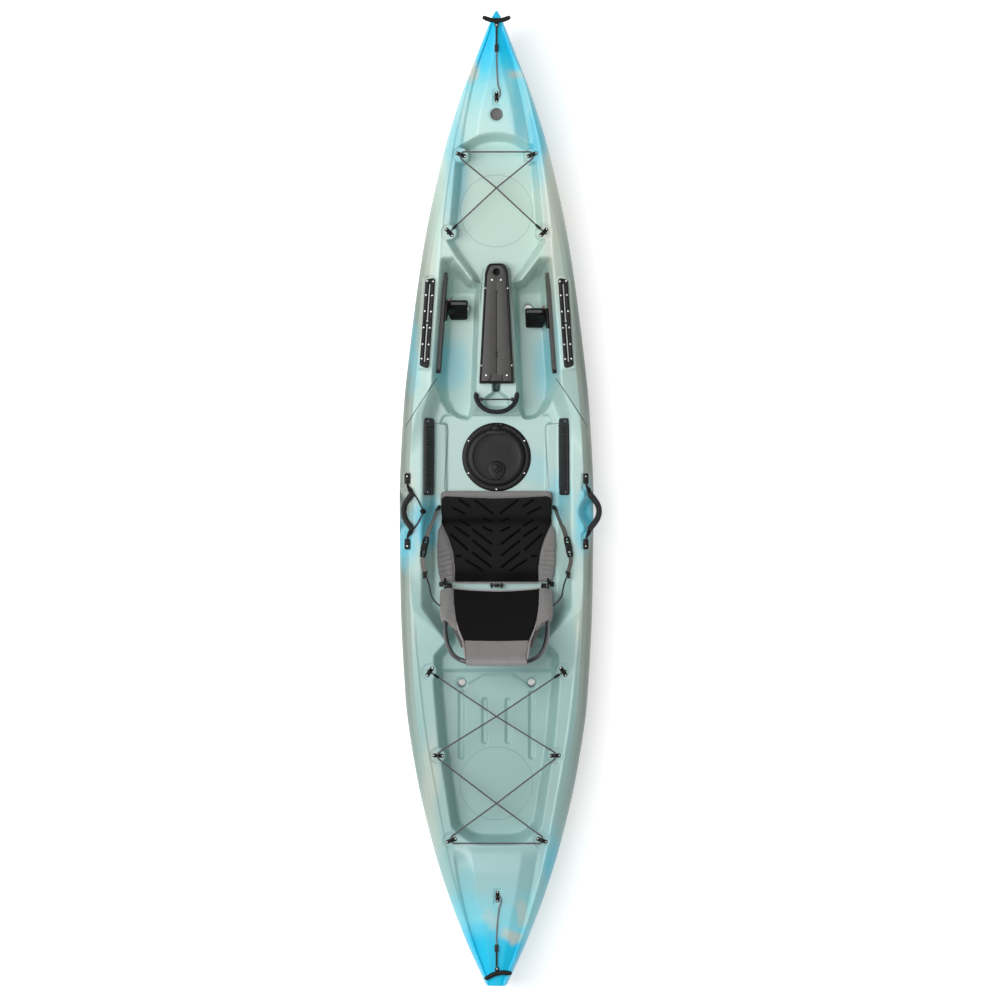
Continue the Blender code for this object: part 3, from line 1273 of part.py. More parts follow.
def seat(grey, black, steel):
    """The seat's pan, pad, frame and back panel."""
    rings = []
    for y, half, drop, lift in (
        (PAN_REAR, PAN_HALF - 0.010, 0.003, 0.004), (PAN_REAR + 0.008, PAN_HALF - 0.002, 0.0, 0.0),
        (-0.200, PAN_HALF, 0.0, 0.0), (FOLD_Y, PAN_HALF, 0.0, 0.0), (0.028, PAN_HALF - 0.002, 0.0, 0.012),
        (PAN_FRONT, PAN_HALF - 0.012, 0.004, 0.018),
    ):
        rings.append(slab_ring(y, half, PAN_LOW + lift, pan_top(y) - drop, 0.006))
    pan = place("seat_pan", loft(rings), grey)
    for side in (1, -1):
        upright = Matrix(((0, 0, 1, 0), (1, 0, 0, 0), (0, 1, 0, 0), (0, 0, 0, 1)))
        ear = slab(EAR_OUTLINE, side * EAR_X - 0.004, side * EAR_X + 0.004, matrix=upright)
        combine(pan, place(f"pan_ear_{side}", ear, grey), "UNION")
        bore = hinge_rod(0.0045, side * 0.19, side * 0.23)
        combine(pan, place(f"ear_bore_{side}", bore, grey), "DIFFERENCE")
    pad_rings = []
    for y, half, thick in (
        (-0.326, 0.176, 0.004), (-0.318, 0.180, 0.0095), (-0.250, 0.178, 0.0125), (-0.180, 0.183, 0.0130),
        (-0.125, 0.200, 0.0125), (-0.100, 0.222, 0.0120), (FOLD_Y, 0.225, 0.0085), (-0.040, 0.225, 0.0105),
        (0.004, 0.224, 0.0095), (0.0125, 0.220, 0.004),
    ):
        low = pan_top(y) + 0.0006
        ring = []
        for k in range(9):
            x = half * (1 - k / 4)
            crown = 1 - abs(x / half) ** 4
            ring.append((x, y, low + 0.35 * thick + 0.65 * thick * crown))
        pad_rings.append([(-half, y, low), (half, y, low)] + ring)
    pad = place("seat_pad", loft(pad_rings), black)
    slots = bmesh.new()
    for x0, y0, x1, y1 in (
        (0.096, -0.122, 0.017, -0.183), (0.096, -0.169, 0.022, -0.227), (0.096, -0.216, 0.017, -0.276),
        (0.165, -0.153, 0.115, -0.199), (0.123, -0.248, 0.071, -0.281),
    ):
        for side in (1, -1):
            line = Vector((side * (x1 - x0), y1 - y0, 0.0))
            middle = Vector((side * (x0 + x1) / 2, (y0 + y1) / 2, 0.1955))
            verts = bmesh.ops.create_cube(slots, size=1.0)["verts"]
            bmesh.ops.scale(slots, vec=(line.length, 0.008, 0.020), verts=verts)
            bmesh.ops.transform(slots, matrix=frame_matrix(middle, line, (-line.y, line.x, 0.0)), verts=verts)
    combine(pad, place("pad_slots", slots, black), "DIFFERENCE")

    lean = math.radians(BACK_LEAN)
    back = frame_matrix((0.0, SEAT_HINGE_Y, SEAT_HINGE_Z), (1, 0, 0), (0, -math.sin(lean), math.cos(lean)))
    half = [
        (0.0, 0.465), (0.070, 0.464), (0.120, 0.459), (0.148, 0.447), (0.163, 0.430), (0.176, 0.400),
        (0.186, 0.360), (0.199, 0.290), (0.204, 0.219), (0.199, 0.110), (0.190, 0.0),
    ]
    path = [Vector((-u, v, 0.0)) for u, v in half[:0:-1]] + [Vector((u, v, 0.0)) for u, v in half]
    tube = swept(path, circle(TUBE_R, 10))
    bmesh.ops.transform(tube, matrix=back, verts=tube.verts)
    frame = place("seat_back_frame", tube, black)
    for side in (1, -1):
        stub = hinge_rod(0.0040, side * 0.186, side * 0.2150)
        combine(frame, place(f"frame_stub_{side}", stub, steel), "UNION")
    panel_rings = []
    for v, half_width, thick in (
        (0.022, 0.214, 0.008), (0.030, 0.224, 0.018), (0.060, 0.229, 0.022), (0.110, 0.222, 0.024),
        (0.160, 0.203, 0.024), (0.210, 0.176, 0.024), (0.260, 0.154, 0.024), (0.310, 0.137, 0.022),
        (0.345, 0.129, 0.018), (0.400, 0.128, 0.020), (0.450, 0.127, 0.020),
        (0.468, 0.122, 0.016), (0.476, 0.114, 0.008),
    ):
        ring = [(-half_width * 0.97, v, PANEL_BACK), (half_width * 0.97, v, PANEL_BACK)]
        for k in range(7):
            u = half_width * (1 - k / 3)
            ring.append((u, v, PANEL_BACK + 0.3 * thick + 0.7 * thick * (1 - abs(u / half_width) ** 3)))
        panel_rings.append(ring)
    panel_mesh = loft(panel_rings)
    bmesh.ops.transform(panel_mesh, matrix=back, verts=panel_mesh.verts)
    panel = place("seat_back_panel", panel_mesh, black)
    pivot("seat_back_axis", (0.0, SEAT_HINGE_Y, SEAT_HINGE_Z), (1, 0, 0), [frame, panel])


STRAP_LINE = [
    (0.2365, -0.030, 0.196), (0.258, -0.085, 0.240), (0.280, -0.140, 0.278), (0.299, -0.195, 0.292),
    (0.302, -0.250, 0.294), (0.290, -0.300, 0.293),
]
STRAP_CORD = [
    (0.290, -0.300, 0.293), (0.274, -0.345, 0.295), (0.262, -0.395, 0.302), (0.232, -0.428, 0.310),
    (0.2140, -0.432, 0.3105),
]


def seat_strap(side, webbing, black):
    """A seat's side strap: webbing, a buckle and the cord that holds the frame."""
    name = "right" if side > 0 else "left"
    line = [Vector((side * x, y, z)) for x, y, z in STRAP_LINE]
    facing = Vector((side * 0.75, 0.0, 0.66))
    strap = place(f"seat_strap_{name}", swept(line, strip(0.022, 0.0026), up=facing), webbing)
    along = (line[4] - line[3]).normalized()
    matrix = frame_matrix((line[3] + line[4]) / 2, along.cross(facing), along)
    buckle = block((0.031, 0.046, 0.011), chamfer=0.003, matrix=matrix)
    combine(strap, place(f"strap_buckle_{name}", buckle, black), "UNION")
    thin = swept([Vector((side * x, y, z)) for x, y, z in STRAP_CORD], circle(0.0032, 8))
    combine(strap, place(f"strap_cord_{name}", thin, black), "UNION")


def paddle_keeper(black):
    """The paddle keeper: a short shock cord with a ball on it, at the port side."""
    z = deck_z(0.0) + 0.0044
    controls = [
        (-0.3430, 0.030, z), (-0.331, 0.018, z + 0.001), (-0.312, -0.016, z + 0.006),
        (-0.300, -0.046, z + 0.009), (-0.312, -0.078, z + 0.006), (-0.331, -0.110, z + 0.001),
        (-0.3430, -0.122, z),
    ]
    keeper = place("paddle_keeper", swept(flowing(controls, 0.018), circle(0.0030, 8)), black)
    ball = bmesh.new()
    at = Matrix.Translation((-0.2985, -0.046, z + 0.0105))
    bmesh.ops.create_uvsphere(ball, u_segments=12, v_segments=8, radius=0.0120, matrix=at)
    combine(keeper, place("keeper_ball", ball, black), "UNION")


def deck_badge(black):
    """The round badge on the bow deck."""
    profile = [(0.0, GAP), (BADGE_R, GAP), (BADGE_R, 0.0015), (BADGE_R - 0.0015, 0.0026), (0.0, 0.0026)]
    bm = turned(profile, 20, (0.0, 0.0))
    bmesh.ops.transform(bm, matrix=deck_frame(0.0, BADGE_Y), verts=bm.verts)
    place("deck_badge", bm, black)


def kayak():
    """Builds every piece."""
    polyethylene = plastic("rotomoulded polyethylene", (0.42, 0.63, 0.62), 0.35)
    black = plastic("black nylon", (0.012, 0.012, 0.013), 0.42)
    rubber = plastic("black rubber", (0.015, 0.015, 0.015), 0.7)
    grey = plastic("dark grey ABS", (0.09, 0.09, 0.088), 0.5)
    red = plastic("red nylon", (0.35, 0.01, 0.03), 0.4)
    steel = plastic("stainless steel", (0.62, 0.62, 0.62), 0.3, 1.0)
    fabric = plastic("grey polyester fabric", (0.19, 0.185, 0.18), 0.9)
    mesh = plastic("black mesh fabric", (0.014, 0.014, 0.015), 0.85)
    webbing = plastic("grey webbing", (0.16, 0.16, 0.16), 0.85)
    shock_cord = plastic("black shock cord", (0.02, 0.02, 0.02), 0.7)
    grey_cord = plastic("grey shock cord", (0.25, 0.25, 0.25), 0.7)
    rope = plastic("black rope", (0.015, 0.015, 0.016), 0.8)
    hull_shell(polyethylene)
    hatch(black, rubber, steel)
    console(black, grey)
    for side in (1, -1):
        rail(side, black)
        foot_brace(side, black, red)
        side_pad(side, rubber)
        carry_handle(side, rubber, webbing)
        seat_strap(side, webbing, black)
    centre_handle(black, steel)
    for end in ENDS:
        end_toggle(end, black, rope, grey_cord)
    bow_keys = ("bow_rear_left", "bow_front_right", "bow_front_left", "bow_rear_right")
    laced_cord("bow_well_bungee", bow_keys, [(0.57, 0.005), None, (0.43, -0.004)], black, shock_cord)
    tank_keys = (
        "tank_front_left", "tank_middle_right", "tank_rear_left", "tank_rear_right", "tank_middle_left",
        "tank_front_right",
    )
    tank_lifts = [(0.53, 0.005), (0.56, 0.005), None, (0.44, -0.004), (0.47, -0.004)]
    laced_cord("tank_well_bungee", tank_keys, tank_lifts, black, shock_cord)
    seat(fabric, mesh, black)
    paddle_keeper(black)
    deck_badge(black)


clear_scene()
kayak()
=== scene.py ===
"""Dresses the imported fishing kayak: moulded hull, hatch, console, rails, foot braces, handles, cords and seat.

Metres. +Y points to the bow, +X to starboard and +Z up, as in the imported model.
"""

import json
import logging
import math
from collections.abc import Callable, Sequence
from dataclasses import dataclass
from enum import Enum

import bmesh
import bpy
import numpy as np
from mathutils import Matrix, Vector, noise

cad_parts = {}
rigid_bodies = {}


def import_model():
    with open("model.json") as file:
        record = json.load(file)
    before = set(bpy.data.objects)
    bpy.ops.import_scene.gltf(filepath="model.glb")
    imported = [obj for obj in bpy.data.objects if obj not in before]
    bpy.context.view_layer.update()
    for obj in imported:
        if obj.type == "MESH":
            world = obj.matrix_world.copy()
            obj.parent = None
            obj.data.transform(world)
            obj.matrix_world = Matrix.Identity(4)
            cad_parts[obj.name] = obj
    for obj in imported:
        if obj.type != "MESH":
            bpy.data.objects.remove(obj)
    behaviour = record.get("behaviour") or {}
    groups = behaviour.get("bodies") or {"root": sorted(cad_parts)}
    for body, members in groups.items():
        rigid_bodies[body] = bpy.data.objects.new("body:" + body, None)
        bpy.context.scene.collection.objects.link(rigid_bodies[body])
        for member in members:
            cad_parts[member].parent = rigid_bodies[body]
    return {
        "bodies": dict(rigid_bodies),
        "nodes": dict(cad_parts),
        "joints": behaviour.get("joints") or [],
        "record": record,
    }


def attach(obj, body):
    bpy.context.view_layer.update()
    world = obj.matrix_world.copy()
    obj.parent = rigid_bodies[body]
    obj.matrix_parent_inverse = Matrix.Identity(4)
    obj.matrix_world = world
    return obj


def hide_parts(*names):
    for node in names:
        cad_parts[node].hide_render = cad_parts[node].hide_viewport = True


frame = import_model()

LOG = logging.getLogger("kayak")
HULL_BODY = "hull_body"
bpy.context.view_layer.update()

Colour = tuple[float, float, float, float]
Point = tuple[float, float, float]
Value = float | Sequence[float] | bpy.types.NodeSocket
MEASURES = ("LENGTH", "DISTANCE", "DOT_PRODUCT")


class Side(Enum):
    """A side of the boat, whose value is the sign of x."""

    STARBOARD = 1
    PORT = -1

    @property
    def hand(self) -> str:
        """The word that node names end with."""
        return "right" if self is Side.STARBOARD else "left"


class Slot(Enum):
    """The record's material slots."""

    POLYETHYLENE = "polyethylene"
    NYLON = "black_nylon"
    RUBBER = "black_rubber"
    ABS = "grey_abs"
    RED = "red_nylon"
    STEEL = "steel"
    FABRIC = "grey_fabric"
    MESH = "black_mesh"
    WEBBING = "grey_webbing"
    SHOCK_CORD = "shock_cord"
    GREY_CORD = "grey_cord"
    ROPE = "rope"


# Materials


def linear(code: str) -> Colour:
    """Turns an sRGB hex colour into Blender's linear one.

    Args:
        code: Six hex digits, with or without a leading #.

    Returns:
        Red, green, blue and an alpha of 1.
    """
    values = [int(code.lstrip("#")[i : i + 2], 16) / 255 for i in (0, 2, 4)]
    red, green, blue = (v / 12.92 if v <= 0.04045 else ((v + 0.055) / 1.055) ** 2.4 for v in values)
    return (red, green, blue, 1.0)


def per_metre(millimetres: float) -> float:
    """The scale that gives a pattern a feature of this many millimetres."""
    return 1000.0 / millimetres


def add(
    tree: bpy.types.NodeTree,
    kind: str,
    settings: dict | None = None,
    inputs: dict | None = None,
    stops: Sequence[tuple[float, Colour]] = (),
) -> bpy.types.Node:
    """Adds a node to a material.

    Args:
        tree: The material's node tree.
        kind: The node's type.
        settings: Values set on the node itself.
        inputs: Values or output sockets, by input name or number.
        stops: The places and colours of a colour ramp.

    Returns:
        The new node.
    """
    node = tree.nodes.new(kind)
    for key, value in (settings or {}).items():
        setattr(node, key, value)
    for key, value in (inputs or {}).items():
        if isinstance(value, bpy.types.NodeSocket):
            tree.links.new(value, node.inputs[key])
        else:
            node.inputs[key].default_value = value
    if stops:
        elements = node.color_ramp.elements
        elements.remove(elements[-1])
        elements[0].position, elements[0].color = stops[0]
        for place, colour in stops[1:]:
            elements.new(place).color = colour
    return node


def maths(tree: bpy.types.NodeTree, operation: str, *values: Value) -> bpy.types.NodeSocket:
    """Adds an operation on numbers and returns its result."""
    return add(tree, "ShaderNodeMath", {"operation": operation}, dict(enumerate(values))).outputs["Value"]


def vectors(tree: bpy.types.NodeTree, operation: str, *values: Value) -> bpy.types.NodeSocket:
    """Adds an operation on vectors and returns its result, which is a number for a length or a product."""
    node = add(tree, "ShaderNodeVectorMath", {"operation": operation}, dict(enumerate(values)))
    return node.outputs["Value" if operation in MEASURES else "Vector"]


def ranged(
    tree: bpy.types.NodeTree,
    value: bpy.types.NodeSocket,
    start: float,
    end: float,
    low: float = 0.0,
    high: float = 1.0,
    soft_ends: bool = False,
) -> bpy.types.NodeSocket:
    """Maps the range of a value to another one.

    Args:
        tree: The material's node tree.
        value: The value.
        start: Where the value gives the low end.
        end: Where it gives the high end.
        low: What it gives at the start, and beyond it.
        high: What it gives at the end, and beyond it.
        soft_ends: Whether it eases in and out.

    Returns:
        The mapped value's socket.
    """
    return add(tree, "ShaderNodeMapRange", {"interpolation_type": "SMOOTHSTEP" if soft_ends else "LINEAR"}, {
        "Value": value, "From Min": start, "From Max": end, "To Min": low, "To Max": high,
    }).outputs["Result"]


def greatest(tree: bpy.types.NodeTree, masks: Sequence[bpy.types.NodeSocket]) -> bpy.types.NodeSocket:
    """Joins masks, so that each place has the greatest of them."""
    total = masks[0]
    for mask in masks[1:]:
        total = maths(tree, "MAXIMUM", total, mask)
    return total


def mixed(tree: bpy.types.NodeTree, share: Value, first: Value, second: Value) -> bpy.types.NodeSocket:
    """Mixes a share of the second colour into the first."""
    return add(tree, "ShaderNodeMix", {"data_type": "RGBA"}, {0: share, 6: first, 7: second}).outputs[2]


def noisy(
    tree: bpy.types.NodeTree, place: bpy.types.NodeSocket, size_mm: float, detail: float, roughness: float = 0.5
) -> bpy.types.Node:
    """Adds a noise whose features are this many millimetres."""
    return add(tree, "ShaderNodeTexNoise", inputs={
        "Vector": place, "Scale": per_metre(size_mm), "Detail": detail, "Roughness": roughness,
    })


def bumped(
    tree: bpy.types.NodeTree, shader: bpy.types.Node, height: bpy.types.NodeSocket, strength: float,
    distance: float
) -> None:
    """Lets a height tilt the surface's normals."""
    bump = add(tree, "ShaderNodeBump", inputs={"Strength": strength, "Distance": distance, "Height": height})
    tree.links.new(bump.outputs["Normal"], shader.inputs["Normal"])


@dataclass(frozen=True)
class Finish:
    """A real material with its surface: the base of every finish."""

    name: str
    slot: Slot
    colour: str
    roughness: float
    metallic: float = 0.0
    ior: float = 1.5
    grain_mm: float = 1.2
    grain_depth: float = 0.05
    variation: float = 0.08
    specular: float = 0.5

    def material(self) -> bpy.types.Material:
        """The Blender material, made once."""
        found = bpy.data.materials.get(self.name)
        if found is not None:
            return found
        made = bpy.data.materials.new(self.name)
        made.use_nodes = True
        tree = made.node_tree
        shader = tree.nodes["Principled BSDF"]
        shader.inputs["Metallic"].default_value = self.metallic
        if self.metallic == 0.0:
            shader.inputs["IOR"].default_value = self.ior
        shader.inputs["Specular IOR Level"].default_value = self.specular
        self.dress(tree, shader)
        return made

    def dress(self, tree: bpy.types.NodeTree, shader: bpy.types.Node) -> None:
        """Moulding grain: a fine bump, and colour and gloss that vary a little over the surface."""
        place = add(tree, "ShaderNodeTexCoord").outputs["Object"]
        grain = noisy(tree, place, self.grain_mm, 2.0, 0.6)
        drift = noisy(tree, place, 45.0, 3.0)
        self.tint(tree, shader, drift.outputs["Fac"])
        bumped(tree, shader, grain.outputs["Fac"], self.grain_depth, 0.001)

    def tint(self, tree: bpy.types.NodeTree, shader: bpy.types.Node, drift: bpy.types.NodeSocket) -> None:
        """Spreads the colour and the roughness about their middle values.

        Args:
            tree: The material's node tree.
            shader: The Principled node.
            drift: A slow noise from 0 to 1.
        """
        base = linear(self.colour)
        low = tuple(c * (1 - self.variation) for c in base[:3]) + (1.0,)
        high = tuple(min(1.0, c * (1 + self.variation)) for c in base[:3]) + (1.0,)
        colour = add(tree, "ShaderNodeValToRGB", inputs={"Fac": drift}, stops=[(0.3, low), (0.7, high)])
        gloss = ranged(tree, drift, 0.3, 0.7, self.roughness * 0.93, self.roughness * 1.07)
        tree.links.new(colour.outputs["Color"], shader.inputs["Base Color"])
        tree.links.new(gloss, shader.inputs["Roughness"])


@dataclass(frozen=True)
class Cloth(Finish):
    """Woven or knitted cloth, whose threads follow the piece's UV map in metres."""

    thread_mm: float = 2.4
    thread_depth: float = 0.35
    sheen: float = 0.25
    # The colour that the painted shade darkens the cloth towards
    shade_colour: str = "#0a0a0b"

    def dress(self, tree: bpy.types.NodeTree, shader: bpy.types.Node) -> None:
        """A basket weave from two crossed waves, with uneven dye, a soft sheen, and painted shade that darkens
        the cloth where the piece's points ask for it.
        """
        shader.inputs["Sheen Weight"].default_value = self.sheen
        shader.inputs["Sheen Roughness"].default_value = 0.5
        place = add(tree, "ShaderNodeUVMap", {"uv_map": "cloth"}).outputs["UV"]
        waves = []
        for direction in ("X", "Y"):
            waves.append(add(
                tree, "ShaderNodeTexWave", {"bands_direction": direction, "wave_profile": "SIN"},
                {"Vector": place, "Scale": per_metre(self.thread_mm) * math.pi / 10.0, "Distortion": 0.4},
            ).outputs["Fac"])
        weave = maths(tree, "MAXIMUM", *waves)
        drift = noisy(tree, place, 30.0, 4.0)
        self.tint(tree, shader, maths(tree, "MULTIPLY_ADD", weave, 0.22, drift.outputs["Fac"]))
        woven = shader.inputs["Base Color"].links[0].from_socket
        # Painted shade: each point's share, set by the piece, darkens the cloth where gathers, slots and folds
        # fall in shade
        painted_shade = add(tree, "ShaderNodeAttribute", {"attribute_name": "painted_shade"}).outputs["Fac"]
        shaded = mixed(tree, painted_shade, woven, linear(self.shade_colour))
        tree.links.new(shaded, shader.inputs["Base Color"])
        bumped(tree, shader, weave, self.thread_depth, 0.0006)


@dataclass(frozen=True)
class Braid(Finish):
    """A braided sheath: two sets of strands that cross round the cord, on a UV map in metres."""

    strand_mm: float = 3.0
    fleck: str = "#3a3a3a"

    def dress(self, tree: bpy.types.NodeTree, shader: bpy.types.Node) -> None:
        """Crossed diagonal strands, with the pale fleck that a sheath has."""
        place = add(tree, "ShaderNodeUVMap", {"uv_map": "cloth"}).outputs["UV"]
        waves = []
        for angle in (0.6, -0.6):
            turned = add(tree, "ShaderNodeMapping", inputs={"Vector": place, "Rotation": (0.0, 0.0, angle)})
            waves.append(add(
                tree, "ShaderNodeTexWave", {"bands_direction": "X"},
                {"Vector": turned.outputs["Vector"], "Scale": per_metre(self.strand_mm) * math.pi / 10.0},
            ).outputs["Fac"])
        braid = maths(tree, "MAXIMUM", *waves)
        colour = add(tree, "ShaderNodeValToRGB", inputs={"Fac": braid}, stops=[
            (0.35, tuple(c * 0.4 for c in linear(self.colour)[:3]) + (1.0,)), (0.8, linear(self.colour)),
            (0.97, linear(self.fleck)),
        ])
        tree.links.new(colour.outputs["Color"], shader.inputs["Base Color"])
        shader.inputs["Roughness"].default_value = self.roughness
        bumped(tree, shader, braid, 0.5, 0.0005)


@dataclass(frozen=True)
class Steel(Finish):
    """Stainless steel, drawn or turned: colour and roughness that vary with a fine noise."""

    def dress(self, tree: bpy.types.NodeTree, shader: bpy.types.Node) -> None:
        """A fine noise in the colour and the roughness."""
        place = add(tree, "ShaderNodeTexCoord").outputs["Object"]
        self.tint(tree, shader, noisy(tree, place, 0.6, 3.0).outputs["Fac"])


@dataclass(frozen=True)
class Spot:
    """A soft round patch of another colour in the hull's plastic.

    Attributes:
        x: Its centre across the boat.
        y: Its centre along the boat.
        wide: Its half-width across.
        long: Its half-length along.
        strength: How much of the other colour it has at its centre.
    """

    x: float
    y: float
    wide: float
    long: float
    strength: float


@dataclass(frozen=True)
class Rotomoulded(Finish):
    """Rotomoulded polyethylene, whose coloured powders run into each other in the mould.

    The eye sees a satin shell with a faint orange peel, cyan at the tips and in cloudy patches, beige on the
    outer decks, and a pale sea green between them. The darker bands on the flanks along the widest line, and the
    dark lines in the wells' rings and along the deck's creases, are painted shade.
    """

    cyan: str = "#00c6f0"
    beige: str = "#c9c7b6"
    # Painted shade: two darker colours for the flanks that turn away from the light, out to the widest line
    flank_shade: str = "#8b998f"
    edge: str = "#69776f"
    pale: str = "#bcd4c9"
    patch: str = "#3cc3de"
    # Painted shade: the dark colours of the rings' grooves in the wells' floors and of the deck's creases
    ring: str = "#4d6f6c"
    crease: str = "#3c5553"
    cyan_spots: tuple[Spot, ...] = ()
    beige_spots: tuple[Spot, ...] = ()
    rings: tuple[tuple[float, float], ...] = ()
    crease_shade_lines: tuple[tuple[tuple[float, float], tuple[float, float], float, float], ...] = ()
    drift: tuple[float, float] = (0.13, 0.17)
    ramp_end: float = 2.0
    soft_edge: float = 0.0008

    def patches(
        self, tree: bpy.types.NodeTree, place: bpy.types.NodeSocket, spots: Sequence[Spot]
    ) -> bpy.types.NodeSocket:
        """One mask for all the patches of a colour.

        Args:
            tree: The material's node tree.
            place: The position that the patches read, already made uneven.
            spots: The patches.

        Returns:
            The mask's socket, from 0 to 1.
        """
        masks = []
        for spot in spots:
            near = add(tree, "ShaderNodeMapping", inputs={
                "Vector": place, "Location": (-spot.x / spot.wide, -spot.y / spot.long, 0.0),
                "Scale": (1 / spot.wide, 1 / spot.long, 0.0),
            })
            away = vectors(tree, "LENGTH", near.outputs["Vector"])
            masks.append(ranged(tree, away, 1.25, 0.35, 0.0, spot.strength, soft_ends=True))
        return greatest(tree, masks)

    def dress(self, tree: bpy.types.NodeTree, shader: bpy.types.Node) -> None:
        """The run-together colours, painted shade on the flanks, in the rings of the wells' floors and along the
        creases, the rings' grooves in the bump, and the orange peel.
        """
        place = add(tree, "ShaderNodeTexCoord").outputs["Object"]
        cloud = noisy(tree, place, 240.0, 4.0, 0.62)
        pushed = vectors(tree, "MULTIPLY_ADD", cloud.outputs["Color"], (*self.drift, 0.0), place)
        uneven = vectors(tree, "SUBTRACT", pushed, (self.drift[0] / 2, self.drift[1] / 2, 0.0))
        split = add(tree, "ShaderNodeSeparateXYZ", inputs={0: uneven})
        along = ranged(tree, split.outputs["Y"], -self.ramp_end, self.ramp_end)

        def at(y: float) -> float:
            """The ramp's place for a distance along the boat."""
            return (y + self.ramp_end) / (2 * self.ramp_end)

        base = add(tree, "ShaderNodeValToRGB", inputs={"Fac": along}, stops=[
            (at(-1.92), linear(self.cyan)), (at(-1.80), linear("#16c4ea")), (at(-1.72), linear("#7ed2df")),
            (at(-1.55), linear("#94bfbf")), (at(-1.20), linear("#92b3af")), (at(-0.60), linear("#94b9b6")),
            (at(-0.20), linear("#b0cdc6")), (at(0.40), linear("#b3d0ca")), (at(0.90), linear("#b9d3ca")),
            (at(1.30), linear(self.pale)), (at(1.52), linear("#b4dbd7")), (at(1.68), linear("#8fd9e2")),
            (at(1.76), linear("#3fcbe8")), (at(1.84), linear(self.cyan)),
        ])
        cyan_mask = self.patches(tree, uneven, self.cyan_spots)
        beige_mask = self.patches(tree, uneven, self.beige_spots)
        out = add(tree, "ShaderNodeAttribute", {"attribute_name": "outward"}).outputs["Fac"]
        away = maths(tree, "ABSOLUTE", split.outputs["Y"])
        inland = ranged(tree, away, 1.50, 0.50, soft_ends=True)
        colour = mixed(tree, beige_mask, base.outputs["Color"], linear(self.beige))
        # Painted shade: the flanks out to the widest line are darkened in two bands, faded out towards the ends
        for start, full, most, code in ((0.0, 0.10, 0.88, self.flank_shade), (0.25, 0.75, 0.90, self.edge)):
            band = ranged(tree, out, start, full, 0.0, most, soft_ends=True)
            colour = mixed(tree, maths(tree, "MULTIPLY", band, inland), colour, linear(code))
        colour = mixed(tree, cyan_mask, colour, linear(self.patch))
        # Painted shade in the rings' grooves and along the creases
        line = self.moulded_rings(tree, place)
        colour = mixed(tree, maths(tree, "MULTIPLY", line, 0.30), colour, linear(self.ring))
        colour = mixed(tree, self.painted_crease_shade(tree, place), colour, linear(self.crease))
        fine = noisy(tree, place, 5.0, 2.0).outputs["Fac"]
        speckled = add(tree, "ShaderNodeVectorMath", {"operation": "SCALE"}, {
            0: colour, "Scale": ranged(tree, fine, 0.25, 0.75, 0.985, 1.015),
        })
        tree.links.new(speckled.outputs["Vector"], shader.inputs["Base Color"])
        gloss = ranged(tree, cloud.outputs["Fac"], 0.3, 0.7, self.roughness * 0.9, self.roughness * 1.12)
        tree.links.new(gloss, shader.inputs["Roughness"])
        relief = maths(tree, "MULTIPLY_ADD", line, -2.2, fine)
        bumped(tree, shader, relief, 0.22, 0.0012)

    def painted_crease_shade(
        self, tree: bpy.types.NodeTree, place: bpy.types.NodeSocket
    ) -> bpy.types.NodeSocket:
        """The mask of the painted shade along the straight creases where the moulding folds, the same on both
        sides.

        Args:
            tree: The material's node tree.
            place: The position on the hull.

        Returns:
            The mask's socket.
        """
        split = add(tree, "ShaderNodeSeparateXYZ", inputs={0: place})
        across = maths(tree, "ABSOLUTE", split.outputs["X"])
        plan = add(tree, "ShaderNodeCombineXYZ", inputs={0: across, 1: split.outputs["Y"]}).outputs["Vector"]
        lines = []
        for start, end, wide, strength in self.crease_shade_lines:
            run = Vector(end) - Vector(start)
            along = run.normalized()
            offset = vectors(tree, "SUBTRACT", plan, (*start, 0.0))
            lengthwise = ((along.x, along.y), run.length / 2, run.length / 2)
            sideways = ((-along.y, along.x), 0.0, wide / 2)
            masks = []
            for axis, middle, half in (lengthwise, sideways):
                off = maths(tree, "SUBTRACT", vectors(tree, "DOT_PRODUCT", offset, (*axis, 0.0)), middle)
                gap = maths(tree, "ABSOLUTE", off)
                masks.append(ranged(tree, gap, half + self.soft_edge, half - self.soft_edge, soft_ends=True))
            lines.append(maths(tree, "MULTIPLY", maths(tree, "MULTIPLY", *masks), strength))
        above_keel = ranged(tree, split.outputs["Z"], 0.140, 0.150)
        return maths(tree, "MULTIPLY", greatest(tree, lines), above_keel)

    def moulded_rings(
        self, tree: bpy.types.NodeTree, place: bpy.types.NodeSocket
    ) -> bpy.types.NodeSocket:
        """The mask of the round lines let into the floors of the two wells, 3 mm wide.

        Args:
            tree: The material's node tree.
            place: The position on the hull.

        Returns:
            The mask's socket.
        """
        flat = vectors(tree, "MULTIPLY", place, (1.0, 1.0, 0.0))
        height = add(tree, "ShaderNodeSeparateXYZ", inputs={0: place}).outputs["Z"]
        lines = []
        for centre_y, radius in self.rings:
            away = vectors(tree, "DISTANCE", flat, (0.0, centre_y, 0.0))
            gap = maths(tree, "ABSOLUTE", maths(tree, "SUBTRACT", away, radius))
            lines.append(ranged(tree, gap, 3 * self.soft_edge, self.soft_edge, soft_ends=True))
        on_floor = ranged(tree, height, 0.246, 0.242)
        above_keel = ranged(tree, height, 0.170, 0.175)
        return maths(tree, "MULTIPLY", greatest(tree, lines), maths(tree, "MULTIPLY", on_floor, above_keel))



